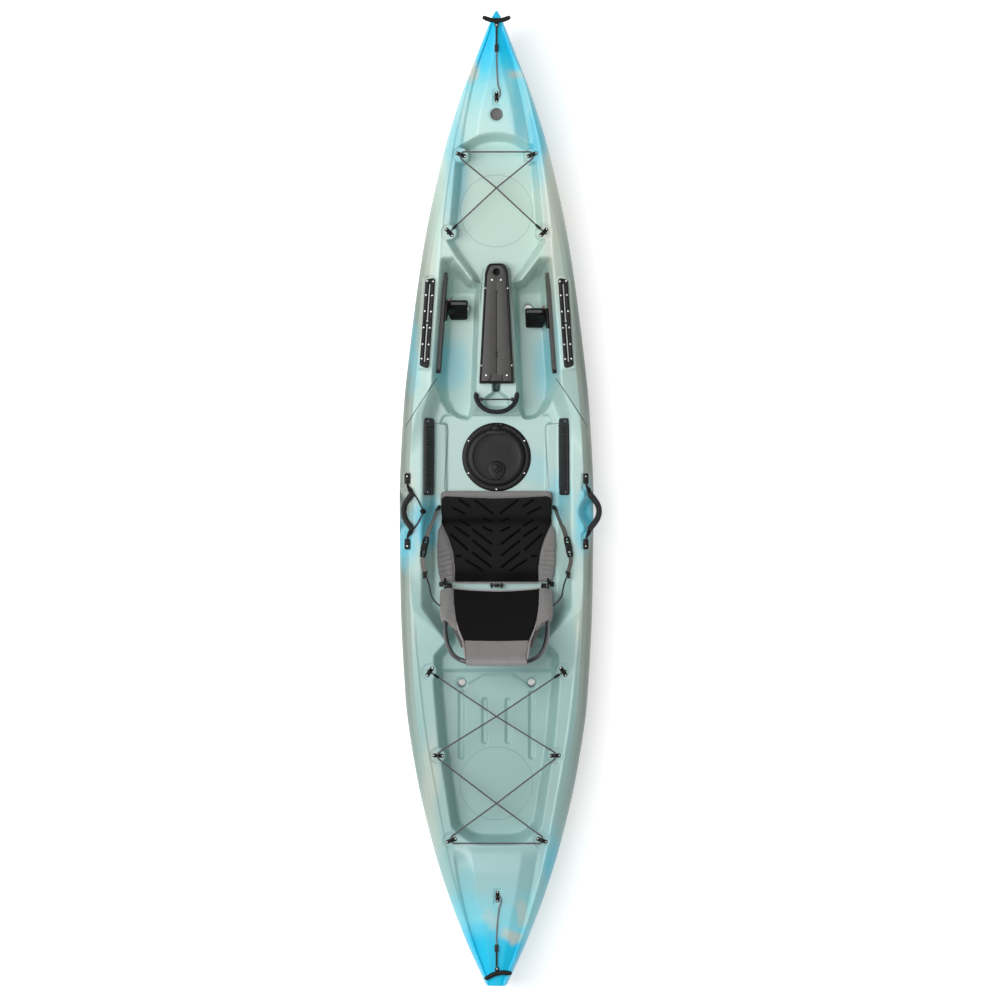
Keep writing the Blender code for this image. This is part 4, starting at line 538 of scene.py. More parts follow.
# Polyethylene: IOR 1.5, satin from a polished mould
HULL_PLASTIC = Rotomoulded(
    "rotomoulded polyethylene", Slot.POLYETHYLENE, "#a9d3cd", 0.34,
    cyan_spots=(
        Spot(0.17, 1.52, 0.055, 0.24, 0.85), Spot(-0.17, 1.36, 0.045, 0.32, 0.45),
        Spot(0.10, 1.60, 0.05, 0.20, 0.5),
        Spot(-0.345, 0.60, 0.030, 0.18, 0.35), Spot(-0.19, 0.56, 0.08, 0.13, 0.45),
        Spot(0.20, 0.58, 0.06, 0.18, 0.45),
        Spot(-0.29, -0.10, 0.06, 0.13, 0.75), Spot(-0.37, -0.17, 0.05, 0.12, 0.70),
        Spot(0.355, -0.05, 0.055, 0.15, 0.80),
        Spot(0.25, 0.02, 0.05, 0.12, 0.45), Spot(0.16, 0.12, 0.05, 0.08, 0.25),
        Spot(0.235, -1.56, 0.06, 0.22, 0.65),
        Spot(-0.12, -1.62, 0.08, 0.14, 0.25),
    ),
    beige_spots=(
        Spot(-0.10, 1.745, 0.035, 0.05, 0.9), Spot(0.085, 1.715, 0.05, 0.03, 0.8),
        Spot(0.235, 1.15, 0.05, 0.36, 0.55),
        Spot(-0.30, 0.98, 0.05, 0.30, 0.55), Spot(-0.375, 0.10, 0.03, 0.45, 0.45),
        Spot(0.37, 0.20, 0.03, 0.35, 0.40),
        Spot(-0.36, -0.55, 0.05, 0.25, 0.35), Spot(0.355, -0.60, 0.05, 0.35, 0.40),
        Spot(-0.27, -1.22, 0.05, 0.32, 0.45),
        Spot(0.055, -1.755, 0.05, 0.035, 0.75), Spot(-0.02, -1.715, 0.03, 0.05, 0.35),
        Spot(0.10, -1.66, 0.03, 0.05, 0.5),
    ),
    # The rings get painted shade and a groove in the bump; the creases, each a start, an end, a width and a
    # strength, get painted shade
    rings=((1.179, 0.147), (-1.159, 0.149)),
    crease_shade_lines=(
        ((0.242, 0.497), (0.372, 0.297), 0.0042, 0.95), ((0.2564, 0.3139), (0.2035, 0.3103), 0.0050, 0.55),
        ((0.2035, 0.3103), (0.198, 0.285), 0.0050, 0.55), ((0.198, 0.285), (0.2145, 0.045), 0.0050, 0.55),
    ),
)
# Nylon: injection moulded, with a fine spark-eroded grain
NYLON = Finish(
    "moulded black nylon", Slot.NYLON, "#141414", 0.42, grain_mm=0.9, grain_depth=0.10, specular=0.20
)
# Thermoplastic rubber: softer, with a matte skin
RUBBER = Finish("black rubber", Slot.RUBBER, "#18181a", 0.62, ior=1.52, grain_mm=0.7, grain_depth=0.16)
# The same rubber with chalk in it: a dull grey strip on the pedals
GREY_RUBBER = Finish("grey tread rubber", Slot.RUBBER, "#5f5e5c", 0.6, ior=1.52, grain_mm=0.7, grain_depth=0.16)
# ABS: gloss black with a fine grain, as a plain moulded badge has
BADGE = Finish("glossy black ABS", Slot.NYLON, "#141415", 0.18, ior=1.53, grain_mm=0.6, grain_depth=0.02)
# ABS: leather grain, which dulls the panel to a dark grey
GREY_ABS = Finish(
    "dark grey ABS", Slot.ABS, "#454442", 0.5, ior=1.53, grain_mm=1.6, grain_depth=0.22, specular=0.30
)
# Nylon with glass fibre, which greys it: the foot tracks
GREY_NYLON = Finish(
    "glass filled grey nylon", Slot.NYLON, "#494846", 0.45, grain_mm=0.9, grain_depth=0.12, specular=0.4
)
# Steel under a black coat, which hides the metal
BLACK_STEEL = Finish("black coated steel", Slot.STEEL, "#161617", 0.32, grain_mm=0.5, grain_depth=0.03)
# Anodised aluminium, blasted first, so that it shines evenly
ALUMINIUM = Steel("anodised aluminium", Slot.STEEL, "#9fa4a0", 0.45, metallic=0.5, variation=0.04)
# Nylon dyed through, polished in the tool: the red catches the light on the levers
RED_NYLON = Finish("red nylon", Slot.RED, "#b3142f", 0.32, grain_mm=0.9, grain_depth=0.05)
# Stainless steel: bright, with faint turning lines, so that a screw reads as a small light dot
STAINLESS = Steel("stainless steel", Slot.STEEL, "#c9c9c7", 0.28, metallic=1.0, variation=0.06)
# Polyester: 600 denier oxford, drawn coarser than its 0.5 mm threads so that the weave shows
POLYESTER = Cloth(
    "grey polyester oxford", Slot.FABRIC, "#7d7b7a", 0.86, thread_mm=2.2, thread_depth=0.35, specular=0.2,
    sheen=0.12
)
# The same oxford, paler on the roll round the tube: a painted highlight where the roll catches the light
ROLL_HIGHLIGHT_CLOTH = Cloth(
    "light grey polyester oxford", Slot.FABRIC, "#868484", 0.84, thread_mm=2.2, thread_depth=0.35, specular=0.2,
    sheen=0.12,
)
# Binding tape: a fine rib that catches light, so the edges read paler than the cloth
BINDING = Cloth(
    "pinkish grey binding tape", Slot.FABRIC, "#968c8d", 0.84, thread_mm=1.2, thread_depth=0.4, specular=0.2,
    sheen=0.12
)
# Spacer mesh over foam: open knit, drawn at 3 mm, with a near-black colour for the painted shade in the pad's
# slots and fold
SPACER = Cloth(
    "black spacer mesh", Slot.MESH, "#1f1e1e", 0.9, thread_mm=3.0, thread_depth=0.6, specular=0.08, sheen=0.02,
    shade_colour="#030303",
)
# Nylon webbing: a tight rib without lustre, on the handles' straps
BLACK_WEBBING = Cloth(
    "black nylon webbing", Slot.WEBBING, "#1b1c1c", 0.78, thread_mm=1.6, thread_depth=0.5, specular=0.15,
    sheen=0.05
)
# Open mesh without foam behind it: the darkest cloth, since little light comes back
BACK_MESH = Cloth(
    "black open mesh", Slot.MESH, "#151414", 0.9, thread_mm=3.0, thread_depth=0.6, specular=0.06, sheen=0.01,
    shade_colour="#030303",
)
# The same webbing in grey: its rib shows across the seat's straps
WEBBING = Cloth(
    "grey nylon webbing", Slot.WEBBING, "#67635f", 0.78, thread_mm=1.6, thread_depth=0.5, specular=0.2,
    sheen=0.1
)
# Shock cord: rubber in a braided sheath, dark with a pale fleck along the strands
SHOCK_CORD = Braid("black shock cord", Slot.SHOCK_CORD, "#3b3536", 0.72, fleck="#7c7478")
# Shock cord in grey: the fleck makes it read lighter than the deck's lines
GREY_CORD = Braid("grey shock cord", Slot.GREY_CORD, "#66686a", 0.72, fleck="#9a9c9e")
# Braided rope: close strands, almost black, with a dull fleck
ROPE = Braid("black braided rope", Slot.ROPE, "#1b1c1d", 0.75, fleck="#37393a")
# Powder-coated aluminium: the coat is smooth, and hides the metal
COATED_TUBE = Finish(
    "powder coated tube", Slot.NYLON, "#202122", 0.16, grain_mm=0.5, grain_depth=0.02, specular=0.9
)


# Shapes made with bmesh operators


def finished(
    name: str,
    bm: bmesh.types.BMesh,
    finish: Finish,
    body: str = HULL_BODY,
    nodes: Sequence[str] = (),
    smooth_angle: float = 35.0,
    recalculate: bool = True,
) -> bpy.types.Object:
    """Turns a bmesh into a piece of the kayak.

    Args:
        name: The piece's name.
        bm: Its shape, in place. It is freed.
        finish: What it is made of.
        body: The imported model's body that it moves with.
        nodes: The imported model's nodes that it stands for.
        smooth_angle: Edges sharper than this stay sharp, in degrees.
        recalculate: Whether its faces are turned outwards first.

    Returns:
        The new object, with its place in its mesh.
    """
    if recalculate:
        bmesh.ops.recalc_face_normals(bm, faces=bm.faces)
    mesh = bpy.data.meshes.new(name)
    bm.to_mesh(mesh)
    bm.free()
    mesh.materials.append(finish.material())
    mesh.shade_smooth()
    if smooth_angle < 180.0:
        mesh.set_sharp_from_angle(angle=math.radians(smooth_angle))
    return placed(name, mesh, body, nodes)


def placed(
    name: str, mesh: bpy.types.Mesh, body: str, nodes: Sequence[str]
) -> bpy.types.Object:
    piece = bpy.data.objects.new(f"{name}.shown" if name in bpy.data.objects else name, mesh)
    bpy.context.scene.collection.objects.link(piece)
    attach(piece, body)
    if nodes:
        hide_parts(*nodes)
    LOG.info("%s: %d faces", piece.name, len(mesh.polygons))
    return piece


def merged(parts: Sequence[bmesh.types.BMesh]) -> bmesh.types.BMesh:
    """Puts several shapes into one bmesh, and frees them."""
    whole = bmesh.new()
    for part in parts:
        mesh = bpy.data.meshes.new("part")
        part.to_mesh(mesh)
        part.free()
        whole.from_mesh(mesh)
        bpy.data.meshes.remove(mesh)
    return whole


def moved(bm: bmesh.types.BMesh, matrix: Matrix) -> bmesh.types.BMesh:
    """Puts a shape in the place that a matrix gives it, and returns it."""
    bmesh.ops.transform(bm, matrix=matrix, verts=bm.verts)
    return bm


def axes(origin: Sequence[float], x_axis: Sequence[float], y_axis: Sequence[float]) -> Matrix:
    """The matrix of a frame from its origin, its x axis and a vector near its y axis."""
    across = Vector(x_axis).normalized()
    up = across.cross(Vector(y_axis)).normalized()
    matrix = Matrix((across, up.cross(across), up)).transposed().to_4x4()
    matrix.translation = Vector(origin)
    return matrix


def rounded(corners: Sequence[Point], steps: int = 7) -> list[Vector]:
    """Points round an outline whose corners are given as (x, y, radius).

    Args:
        corners: The corners, in order.
        steps: How many steps each rounded corner has.

    Returns:
        The outline's points, as 2-D vectors.
    """
    points = []
    count = len(corners)
    for i in range(count):
        here = Vector(corners[i][:2])
        before = Vector(corners[i - 1][:2]) - here
        after = Vector(corners[(i + 1) % count][:2]) - here
        reach = min(corners[i][2] / math.tan(before.angle(after) / 2), 0.45 * min(before.length, after.length))
        start = here + before.normalized() * reach
        end = here + after.normalized() * reach
        if corners[i][2] < 0.0005:
            points.append(here)
            continue
        for step in range(steps + 1):
            t = step / steps
            points.append(start * (1 - t) ** 2 + here * 2 * t * (1 - t) + end * t * t)
    return points


def rectangle(x: float, y: float, wide: float, long: float, radius: float) -> list[Point]:
    """The corners of a rectangle from its centre and half-sizes."""
    return [
        (x - wide, y - long, radius), (x + wide, y - long, radius), (x + wide, y + long, radius),
        (x - wide, y + long, radius),
    ]


def both_sides(half: Sequence[Point]) -> list[Point]:
    """The whole outline from its starboard half, which runs from bow to stern."""
    return list(half) + [(-x, y, r) for x, y, r in reversed(half) if x > 0]


def plate(
    outline: Sequence[Sequence[float]],
    low: float,
    high: float,
    edge: float = 0.0,
    segments: int = 3,
    holes: Sequence[Sequence[Sequence[float]]] = (),
) -> bmesh.types.BMesh:
    """Stands an outline up between two heights, with its top edge rounded and holes through it.

    Args:
        outline: The outline's points in plan.
        low: The height of its underside.
        high: The height of its top.
        edge: The radius of the top edge, or 0 for a sharp one.
        segments: How many segments that radius has.
        holes: The points of each hole through it.

    Returns:
        The closed shape.
    """
    bm = bmesh.new()
    loops = []
    for points in (outline, *holes):
        ring = [bm.verts.new((p[0], p[1], low)) for p in points]
        loops += [bm.edges.new((ring[i - 1], ring[i])) for i in range(len(ring))]
    if holes:
        bmesh.ops.triangle_fill(bm, use_beauty=True, edges=loops)
    else:
        bmesh.ops.contextual_create(bm, geom=loops)
    raised = bmesh.ops.extrude_face_region(bm, geom=list(bm.faces))["geom"]
    top = [v for v in raised if isinstance(v, bmesh.types.BMVert)]
    bmesh.ops.translate(bm, vec=(0.0, 0.0, high - low), verts=top)
    bmesh.ops.recalc_face_normals(bm, faces=bm.faces)
    if edge:
        rim = [
            e for e in bm.edges
            if all(abs(v.co.z - high) < 1e-7 for v in e.verts)
            and any(abs(f.normal.z) < 0.5 for f in e.link_faces)
        ]
        bmesh.ops.bevel(
            bm, geom=rim, offset=edge, offset_type="OFFSET", segments=segments, profile=0.5, affect="EDGES",
            material=-1,
        )
    return bm


def box(
    size: Sequence[float], centre: Sequence[float] = (0.0, 0.0, 0.0), edge: float = 0.0, segments: int = 2,
    matrix: Matrix | None = None,
) -> bmesh.types.BMesh:
    """A block with rounded edges, turned and moved by a matrix when one is given."""
    bm = bmesh.new()
    bmesh.ops.create_cube(bm, size=1.0)
    bmesh.ops.scale(bm, vec=size, verts=bm.verts)
    bmesh.ops.translate(bm, vec=centre, verts=bm.verts)
    if edge:
        bmesh.ops.bevel(
            bm, geom=bm.edges, offset=edge, offset_type="OFFSET", segments=segments, profile=0.5,
            affect="EDGES",
            material=-1,
        )
    if matrix:
        bmesh.ops.transform(bm, matrix=matrix, verts=bm.verts)
    return bm


def spun(
    profile: Sequence[tuple[float, float]], steps: int, matrix: Matrix, closed: bool = True
) -> bmesh.types.BMesh:
    """Spins a profile of (radius, height) about its upright axis.

    Args:
        profile: The profile's points.
        steps: How many steps the full turn has.
        matrix: Where the turned shape stands.
        closed: Whether the profile is a ring, and not a line between two points on the axis.

    Returns:
        The turned shape.
    """
    bm = bmesh.new()
    verts = [bm.verts.new((r, 0.0, z)) for r, z in profile]
    pairs = list(zip(verts, verts[1:])) + ([(verts[-1], verts[0])] if closed else [])
    edges = [bm.edges.new(pair) for pair in pairs]
    bmesh.ops.spin(
        bm, geom=verts + edges, cent=(0.0, 0.0, 0.0), axis=(0.0, 0.0, 1.0), angle=2 * math.pi, steps=steps,
        use_merge=True,
    )
    bmesh.ops.remove_doubles(bm, verts=bm.verts, dist=1e-7)
    bmesh.ops.transform(bm, matrix=matrix, verts=bm.verts)
    bmesh.ops.recalc_face_normals(bm, faces=bm.faces)
    return bm


def circle(radius: float, sides: int, flat: float = 1.0) -> list[tuple[float, float]]:
    """A round or flattened section."""
    angles = [2 * math.pi * i / sides for i in range(sides)]
    return [(radius * math.cos(a), radius * flat * math.sin(a)) for a in angles]


def strap(width: float, thickness: float) -> list[tuple[float, float]]:
    """A flat section with rounded edges."""
    x = width / 2 - thickness / 2
    z = thickness / 2
    return [(-x, -z), (0.0, -z), (x, -z), (x + z, 0.0), (x, z), (0.0, z), (-x, z), (-x - z, 0.0)]


def flowing(controls: Sequence[Sequence[float]], step: float) -> list[Vector]:
    """Points about a step apart on a smooth curve through the controls."""
    points = [Vector(c) for c in controls]
    points = [points[0] * 2 - points[1]] + points + [points[-1] * 2 - points[-2]]
    found = []
    for a, b, c, d in zip(points, points[1:], points[2:], points[3:]):
        reach = (c - b).length
        count = max(1, round(reach / step))
        start = (c - a).normalized() * reach
        end = (d - b).normalized() * reach
        for i in range(count):
            t = i / count
            leaving = b * (1 + 2 * t) * (1 - t) ** 2 + start * t * (1 - t) ** 2
            found.append(leaving + c * t * t * (3 - 2 * t) - end * t * t * (1 - t))
    found.append(points[-2])
    return found


def swept(
    path: Sequence[Sequence[float]],
    section: Sequence[tuple[float, float]],
    up: Sequence[float] = (0.0, 0.0, 1.0),
    scales: Sequence[float | tuple[float, float]] | None = None,
    capped: bool = True,
) -> bmesh.types.BMesh:
    """Extrudes a section along a path, with a UV map in metres along and round it.

    Args:
        path: The path's points.
        section: The section's points, across and towards up.
        up: The direction that the section's second axis leans to.
        scales: The section's scale at each point, or its two scales.
        capped: Whether the two ends are closed.

    Returns:
        The tube.
    """
    points = [Vector(p) for p in path]
    frames = []
    for i, point in enumerate(points):
        last = i == len(points) - 1
        ahead = (point - points[i - 1] if last else points[i + 1] - point).normalized()
        behind = (point - points[i - 1]).normalized() if i else ahead
        tangent = (ahead + behind).normalized()
        side = tangent.cross(Vector(up)).normalized()
        matrix = Matrix((side, side.cross(tangent), tangent)).transposed().to_4x4()
        matrix.translation = point
        scale = scales[i] if scales else 1.0
        wide, thick = scale if isinstance(scale, tuple) else (scale, scale)
        frames.append(matrix @ Matrix.Diagonal((wide, thick, 1.0, 1.0)))
    bm = bmesh.new()
    along = bm.verts.layers.float.new("along")
    around = bm.verts.layers.float.new("around")
    ring = []
    length = 0.0
    for i, (u, v) in enumerate(section):
        vert = bm.verts.new(frames[0] @ Vector((u, v, 0.0)))
        ring.append(vert)
        vert[around] = length
        following = section[(i + 1) % len(section)]
        length += math.hypot(following[0] - u, following[1] - v)
    edges = [bm.edges.new((ring[i], ring[(i + 1) % len(ring)])) for i in range(len(ring))]
    if capped:
        bm.faces.new(ring[::-1])
    travelled = 0.0
    for i in range(1, len(points)):
        travelled += (points[i] - points[i - 1]).length
        made = bmesh.ops.extrude_edge_only(bm, edges=edges)["geom"]
        verts = [g for g in made if isinstance(g, bmesh.types.BMVert)]
        edges = [g for g in made if isinstance(g, bmesh.types.BMEdge)]
        bmesh.ops.transform(bm, matrix=frames[i] @ frames[i - 1].inverted(), verts=verts)
        for vert in verts:
            vert[along] = travelled
    if capped:
        bmesh.ops.contextual_create(bm, geom=edges)
    bmesh.ops.recalc_face_normals(bm, faces=bm.faces)
    layer = bm.loops.layers.uv.new("cloth")
    for face in bm.faces:
        rounds = [loop.vert[around] for loop in face.loops]
        wraps = max(rounds) - min(rounds) > length / 2 and len(face.verts) == 4
        for loop, value in zip(face.loops, rounds):
            loop[layer].uv = (loop.vert[along], value + (length if wraps and value < length / 2 else 0.0))
    return bm


def screws(spots: Sequence[Matrix], radius: float = 0.0042, height: float = 0.0016) -> bmesh.types.BMesh:
    """Pan-head screws with a socket in each.

    Args:
        spots: The frame of each screw, with z out of the surface.
        radius: The head's radius.
        height: The head's height.

    Returns:
        All of them in one bmesh.
    """
    profile = [
        (0.0, height * 0.45), (radius * 0.38, height * 0.45), (radius * 0.42, height * 1.02),
        (radius * 0.62, height),
        (radius * 0.90, height * 0.62), (radius, height * 0.15), (radius, -0.0006), (0.0, -0.0006),
    ]
    return merged([spun(profile, 14, spot, closed=False) for spot in spots])


def flat_spot(x: float, y: float, z: float) -> Matrix:
    """A frame that faces straight up."""
    return Matrix.Translation((x, y, z))


# Hull

Stations = Sequence[tuple[float, float]]


@dataclass(frozen=True)
class Line:
    """A value along the boat: a monotone cubic through (y, value) stations, from stern to bow."""

    stations: Stations

    def __call__(self, y: np.ndarray | float) -> np.ndarray:
        """The value at each y."""
        ys = np.array([s[0] for s in self.stations])
        values = np.array([s[1] for s in self.stations])
        slopes = np.diff(values) / np.diff(ys)
        product = slopes[:-1] * slopes[1:]
        total = np.where(product > 0, slopes[:-1] + slopes[1:], 1.0)
        inner = np.where(product > 0, 2 * product / total, 0.0)
        tangents = np.concatenate(([slopes[0]], inner, [slopes[-1]]))
        y = np.clip(np.asarray(y, float), ys[0], ys[-1])
        i = np.clip(np.searchsorted(ys, y, side="left") - 1, 0, len(ys) - 2)
        span = ys[i + 1] - ys[i]
        t = (y - ys[i]) / span
        return (
            values[i] * (1 + 2 * t) * (1 - t) ** 2 + tangents[i] * span * t * (1 - t) ** 2
            + values[i + 1] * t * t * (3 - 2 * t) - tangents[i + 1] * span * t * t * (1 - t)
        )


def soft_above(u: np.ndarray, radius: np.ndarray | float) -> np.ndarray:
    """The positive part of u, with its corner at 0 rounded over a radius."""
    radius = np.maximum(radius, 1e-6)
    return np.where(u <= -radius, 0.0, np.where(u >= radius, u, (u + radius) ** 2 / (4 * radius)))


def ramp(
    u: np.ndarray, start: np.ndarray | float, end: np.ndarray | float, lip: float, floor: float | None = None
) -> np.ndarray:
    """A slope from 0 at start to 1 at end, with its two corners rounded.

    Args:
        u: Where the slope is read.
        start: Where it begins.
        end: Where it ends.
        lip: The rounding at its start.
        floor: The rounding at its end, which is the lip's when not given.

    Returns:
        The slope's value.
    """
    rise = soft_above(u - start, lip) - soft_above(u - end, lip if floor is None else floor)
    return rise / np.maximum(end - start, 1e-6)


def inside_distance(x: np.ndarray, y: np.ndarray, outline: Sequence[Vector], reach: float) -> np.ndarray:
    """How far inside an outline each point is, which is negative outside it.

    Args:
        x: The points' x.
        y: The points' y.
        outline: The outline's points.
        reach: Points further out than this get minus this.

    Returns:
        The distances.
    """
    px = np.array([p[0] for p in outline])
    py = np.array([p[1] for p in outline])
    far = np.full(x.shape, -reach)
    near = (x > px.min() - reach) & (x < px.max() + reach) & (y > py.min() - reach) & (y < py.max() + reach)
    if not near.any():
        return far
    qx = x[near]
    qy = y[near]
    least = np.full(qx.shape, 1e9)
    within = np.zeros(qx.shape, bool)
    for ax, ay, bx, by in zip(px, py, np.roll(px, -1), np.roll(py, -1)):
        dx, dy = bx - ax, by - ay
        span = dx * dx + dy * dy
        if span < 1e-14:
            continue
        t = np.clip(((qx - ax) * dx + (qy - ay) * dy) / span, 0.0, 1.0)
        least = np.minimum(least, (qx - ax - t * dx) ** 2 + (qy - ay - t * dy) ** 2)
        if dy != 0.0:
            crosses = (ay > qy) != (by > qy)
            within ^= crosses & (qx < (bx - ax) * (qy - ay) / dy + ax)
    distance = np.sqrt(least)
    far[near] = np.maximum(np.where(within, distance, -distance), -reach)
    return far


@dataclass(frozen=True)
class Pocket:
    """A space let into the deck.

    Attributes:
        corners: Its outline at the deck, as (x, y, radius) corners.
        floor: Its floor's height.
        draft: How far its walls run in on their way down.
        lip: The rounding at the deck.
        foot: The rounding at the floor.
        twin: Whether it has a mirrored twin to port.
        steeper: How many times steeper its wall is on the boat's centre side.
        rise: Where its floor starts to rise towards the bow, where it stops, and by how much.
    """

    corners: Sequence[Point]
    floor: float
    draft: float
    lip: float = 0.005
    foot: float = 0.010
    twin: bool = False
    steeper: float = 1.0
    rise: Point | None = None


@dataclass(frozen=True)
class Pad:
    """A flat seat on the deck for a fitting, as its outline's points, height and how wide its border is."""

    outline: Sequence[Vector]
    height: float
    border: float = 0.005


EYE_SEATS: dict[str, tuple[float, float]] = {
    "bow_front": (0.144, 1.400), "bow_rear": (0.192, 1.087), "tank_front": (0.2715, -0.698),
    "tank_middle": (0.2375, -1.039), "tank_rear": (0.184, -1.383),
}
SCUPPERS = ((0.1305, 0.788), (0.125, -0.16), (0.1425, -0.748))
SCUPPER_R = 0.0157
HATCH_Y = 0.176
RAIL_FRONT = Vector((0.269, 0.899))
RAIL_REAR = Vector((0.294, 0.539))
RAIL_WIDTH = 0.039
RAIL_SEAT = 0.300
MOUNT_X = 0.3635
MOUNT_Y = (0.0875, -0.1795)
MOUNT_SEAT = 0.2620
BADGE_Y = 1.562


@dataclass
class Hull:
    """The rotomoulded hull: its deck with every well, its bottom, its scuppers and the hatch's hollow."""

    bow_y: float = 1.979
    stern_y: float = -1.970
    rows: int = 1044
    inner_columns: int = 92
    outer_columns: int = 28
    edge_band: float = 0.050
    shoulder_power: float = 1.5
    flank_band: float = 0.042
    wall: float = 0.0045
    beam: Line = Line((
        (-1.970, 0.045), (-1.80, 0.122), (-1.60, 0.199), (-1.40, 0.261), (-1.10, 0.330), (-0.80, 0.372),
        (-0.35, 0.393), (0.0, 0.396), (0.35, 0.381), (0.65, 0.350), (1.05, 0.294), (1.40, 0.218),
        (1.65, 0.141), (1.82, 0.074), (1.93, 0.030), (1.965, 0.015), (1.979, 0.006),
    ))
    keel: Line = Line((
        (-1.970, 0.150), (-1.93, 0.105), (-1.85, 0.060), (-1.70, 0.024), (-1.45, 0.006), (-1.10, 0.0),
        (1.05, 0.0), (1.40, 0.008), (1.65, 0.030), (1.80, 0.070), (1.90, 0.140), (1.95, 0.225), (1.979, 0.315),
    ))
    edge: Line = Line((
        (-1.970, 0.255), (-1.60, 0.245), (-1.0, 0.225), (-0.30, 0.205), (0.30, 0.205), (1.0, 0.235),
        (1.60, 0.290), (1.85, 0.325), (1.979, 0.342),
    ))
    top: Line = Line((
        (-1.970, 0.315), (-1.60, 0.304), (-1.0, 0.292), (-0.60, 0.288), (0.0, 0.290), (0.50, 0.300),
        (0.56, 0.302), (0.90, 0.302), (1.0, 0.308), (1.45, 0.335), (1.75, 0.356), (1.90, 0.366), (1.979, 0.366),
    ))
    shoulder: Line = Line((
        (-1.970, 0.032), (-1.80, 0.094), (-1.506, 0.184), (-1.18, 0.249), (-0.90, 0.296), (-0.62, 0.326),
        (-0.45, 0.340), (-0.30, 0.351), (0.0, 0.355), (0.20, 0.348), (0.34, 0.326), (0.42, 0.285),
        (0.50, 0.250), (0.75, 0.238), (1.0, 0.228), (1.13, 0.218), (1.449, 0.173), (1.60, 0.138),
        (1.70, 0.112), (1.82, 0.060), (1.93, 0.022), (1.979, 0.003),
    ))
    groove: Line = Line((
        (-1.970, 0.026), (-1.93, 0.040), (-1.75, 0.106), (-1.43, 0.166), (-1.30, 0.175), (1.30, 0.150),
        (1.43, 0.138), (1.76, 0.072), (1.90, 0.024), (1.979, 0.002),
    ))
    ridge: Line = Line((
        (-1.970, 0.012), (-1.93, 0.022), (-1.735, 0.052), (-1.44, 0.103), (-1.30, 0.110), (1.30, 0.080),
        (1.49, 0.076), (1.80, 0.016), (1.93, 0.006), (1.979, 0.001),
    ))
    ridge_rise: Line = Line((
        (-1.970, 0.002), (-1.80, 0.012), (-1.52, 0.018), (-1.44, 0.009), (-1.40, 0.001), (-1.33, 0.0),
        (1.20, 0.0), (1.42, 0.020), (1.60, 0.020), (1.85, 0.008), (1.979, 0.001),
    ))
    groove_fall: Line = Line((
        (-1.970, 0.001), (-1.90, 0.005), (-1.80, 0.008), (-1.48, 0.008), (-1.42, 0.0), (1.42, 0.0),
        (1.49, 0.008), (1.80, 0.008), (1.90, 0.004), (1.979, 0.0005),
    ))
    pockets: tuple[Pocket, ...] = (
        Pocket(both_sides([
            (0.055, 1.486, 0.20), (0.152, 1.436, 0.03), (0.165, 1.37, 0.30), (0.187, 1.12, 0.08),
            (0.214, 1.076, 0.03), (0.168, 0.995, 0.30), (0.099, 0.900, 0.03), (0.078, 0.860, 0.03),
        ]), 0.235, 0.021, 0.005, 0.007),
        Pocket(both_sides([(0.070, 0.96, 0.01), (0.115, 0.45, 0.05), (0.115, 0.372, 0.02)]), 0.236, 0.010),
        Pocket([
            (0.062, 0.890, 0.006), (0.104, 0.892, 0.012), (0.176, 0.985, 0.014), (0.225, 0.985, 0.018),
            (0.260, 0.490, 0.05), (0.252, 0.400, 0.06), (0.206, 0.325, 0.07), (0.100, 0.318, 0.03),
            (0.082, 0.380, 0.05),
        ], 0.095, 0.034, 0.006, 0.026, True, 2.2, (0.850, 0.975, 0.085)),
        Pocket(both_sides([
            (0.090, 0.400, 0.02), (0.254, 0.496, 0.02), (0.276, 0.425, 0.05), (0.3005, 0.345, 0.06),
            (0.3045, -0.440, 0.05), (0.190, -0.590, 0.02),
        ]), 0.162, 0.043, 0.007, 0.012),
        Pocket(both_sides([
            (0.190, -0.450, 0.01), (0.2007, -0.572, 0.015), (0.2527, -0.632, 0.020), (0.2545, -0.760, 0.02),
        ]), 0.197, 0.026),
        Pocket(both_sides([
            (0.2545, -0.668, 0.02), (0.2545, -0.753, 0.3), (0.233, -1.0, 0.5), (0.181, -1.335, 0.05),
            (0.100, -1.398, 0.20),
        ]), 0.187, 0.028, 0.005, 0.008),
        Pocket([
            (0.400, 0.062, 0.01), (0.318, -0.0475, 0.12), (0.400, -0.157, 0.01), (0.470, -0.190, 0.01),
            (0.470, 0.095, 0.01),
        ], 0.180, 0.022, 0.005, 0.012, True),
    )
    sunk: tuple[Pocket, ...] = (
        Pocket(both_sides([
            (0.085, 0.350, 0.02), (0.216, 0.350, 0.02), (0.236, 0.313, 0.01), (0.207, 0.313, 0.012),
            (0.207, -0.455, 0.03),
        ]), 0.150, 0.005, 0.002, 0.002),
        Pocket(both_sides([
            (0.016, 0.486, 0.003), (0.016, 0.440, 0.01), (0.053, 0.415, 0.02), (0.053, 0.372, 0.02),
        ]), 0.185, 0.008, 0.002, 0.004),
        Pocket(both_sides([(0.013, 0.500, 0.002), (0.013, 0.446, 0.002)]), 0.105, 0.004, 0.001, 0.002),
        Pocket([
            (0.1315, -0.777, 0.01), (0.1565, -0.777, 0.01), (0.1565, -1.060, 0.012), (0.1315, -1.060, 0.012),
        ], 0.1805, 0.005, 0.002, 0.002, True),
        Pocket([
            (0.0355, -0.810, 0.01), (0.0605, -0.810, 0.01), (0.0605, -0.997, 0.012), (0.0355, -0.997, 0.012),
        ], 0.1805, 0.005, 0.002, 0.002, True),
    )

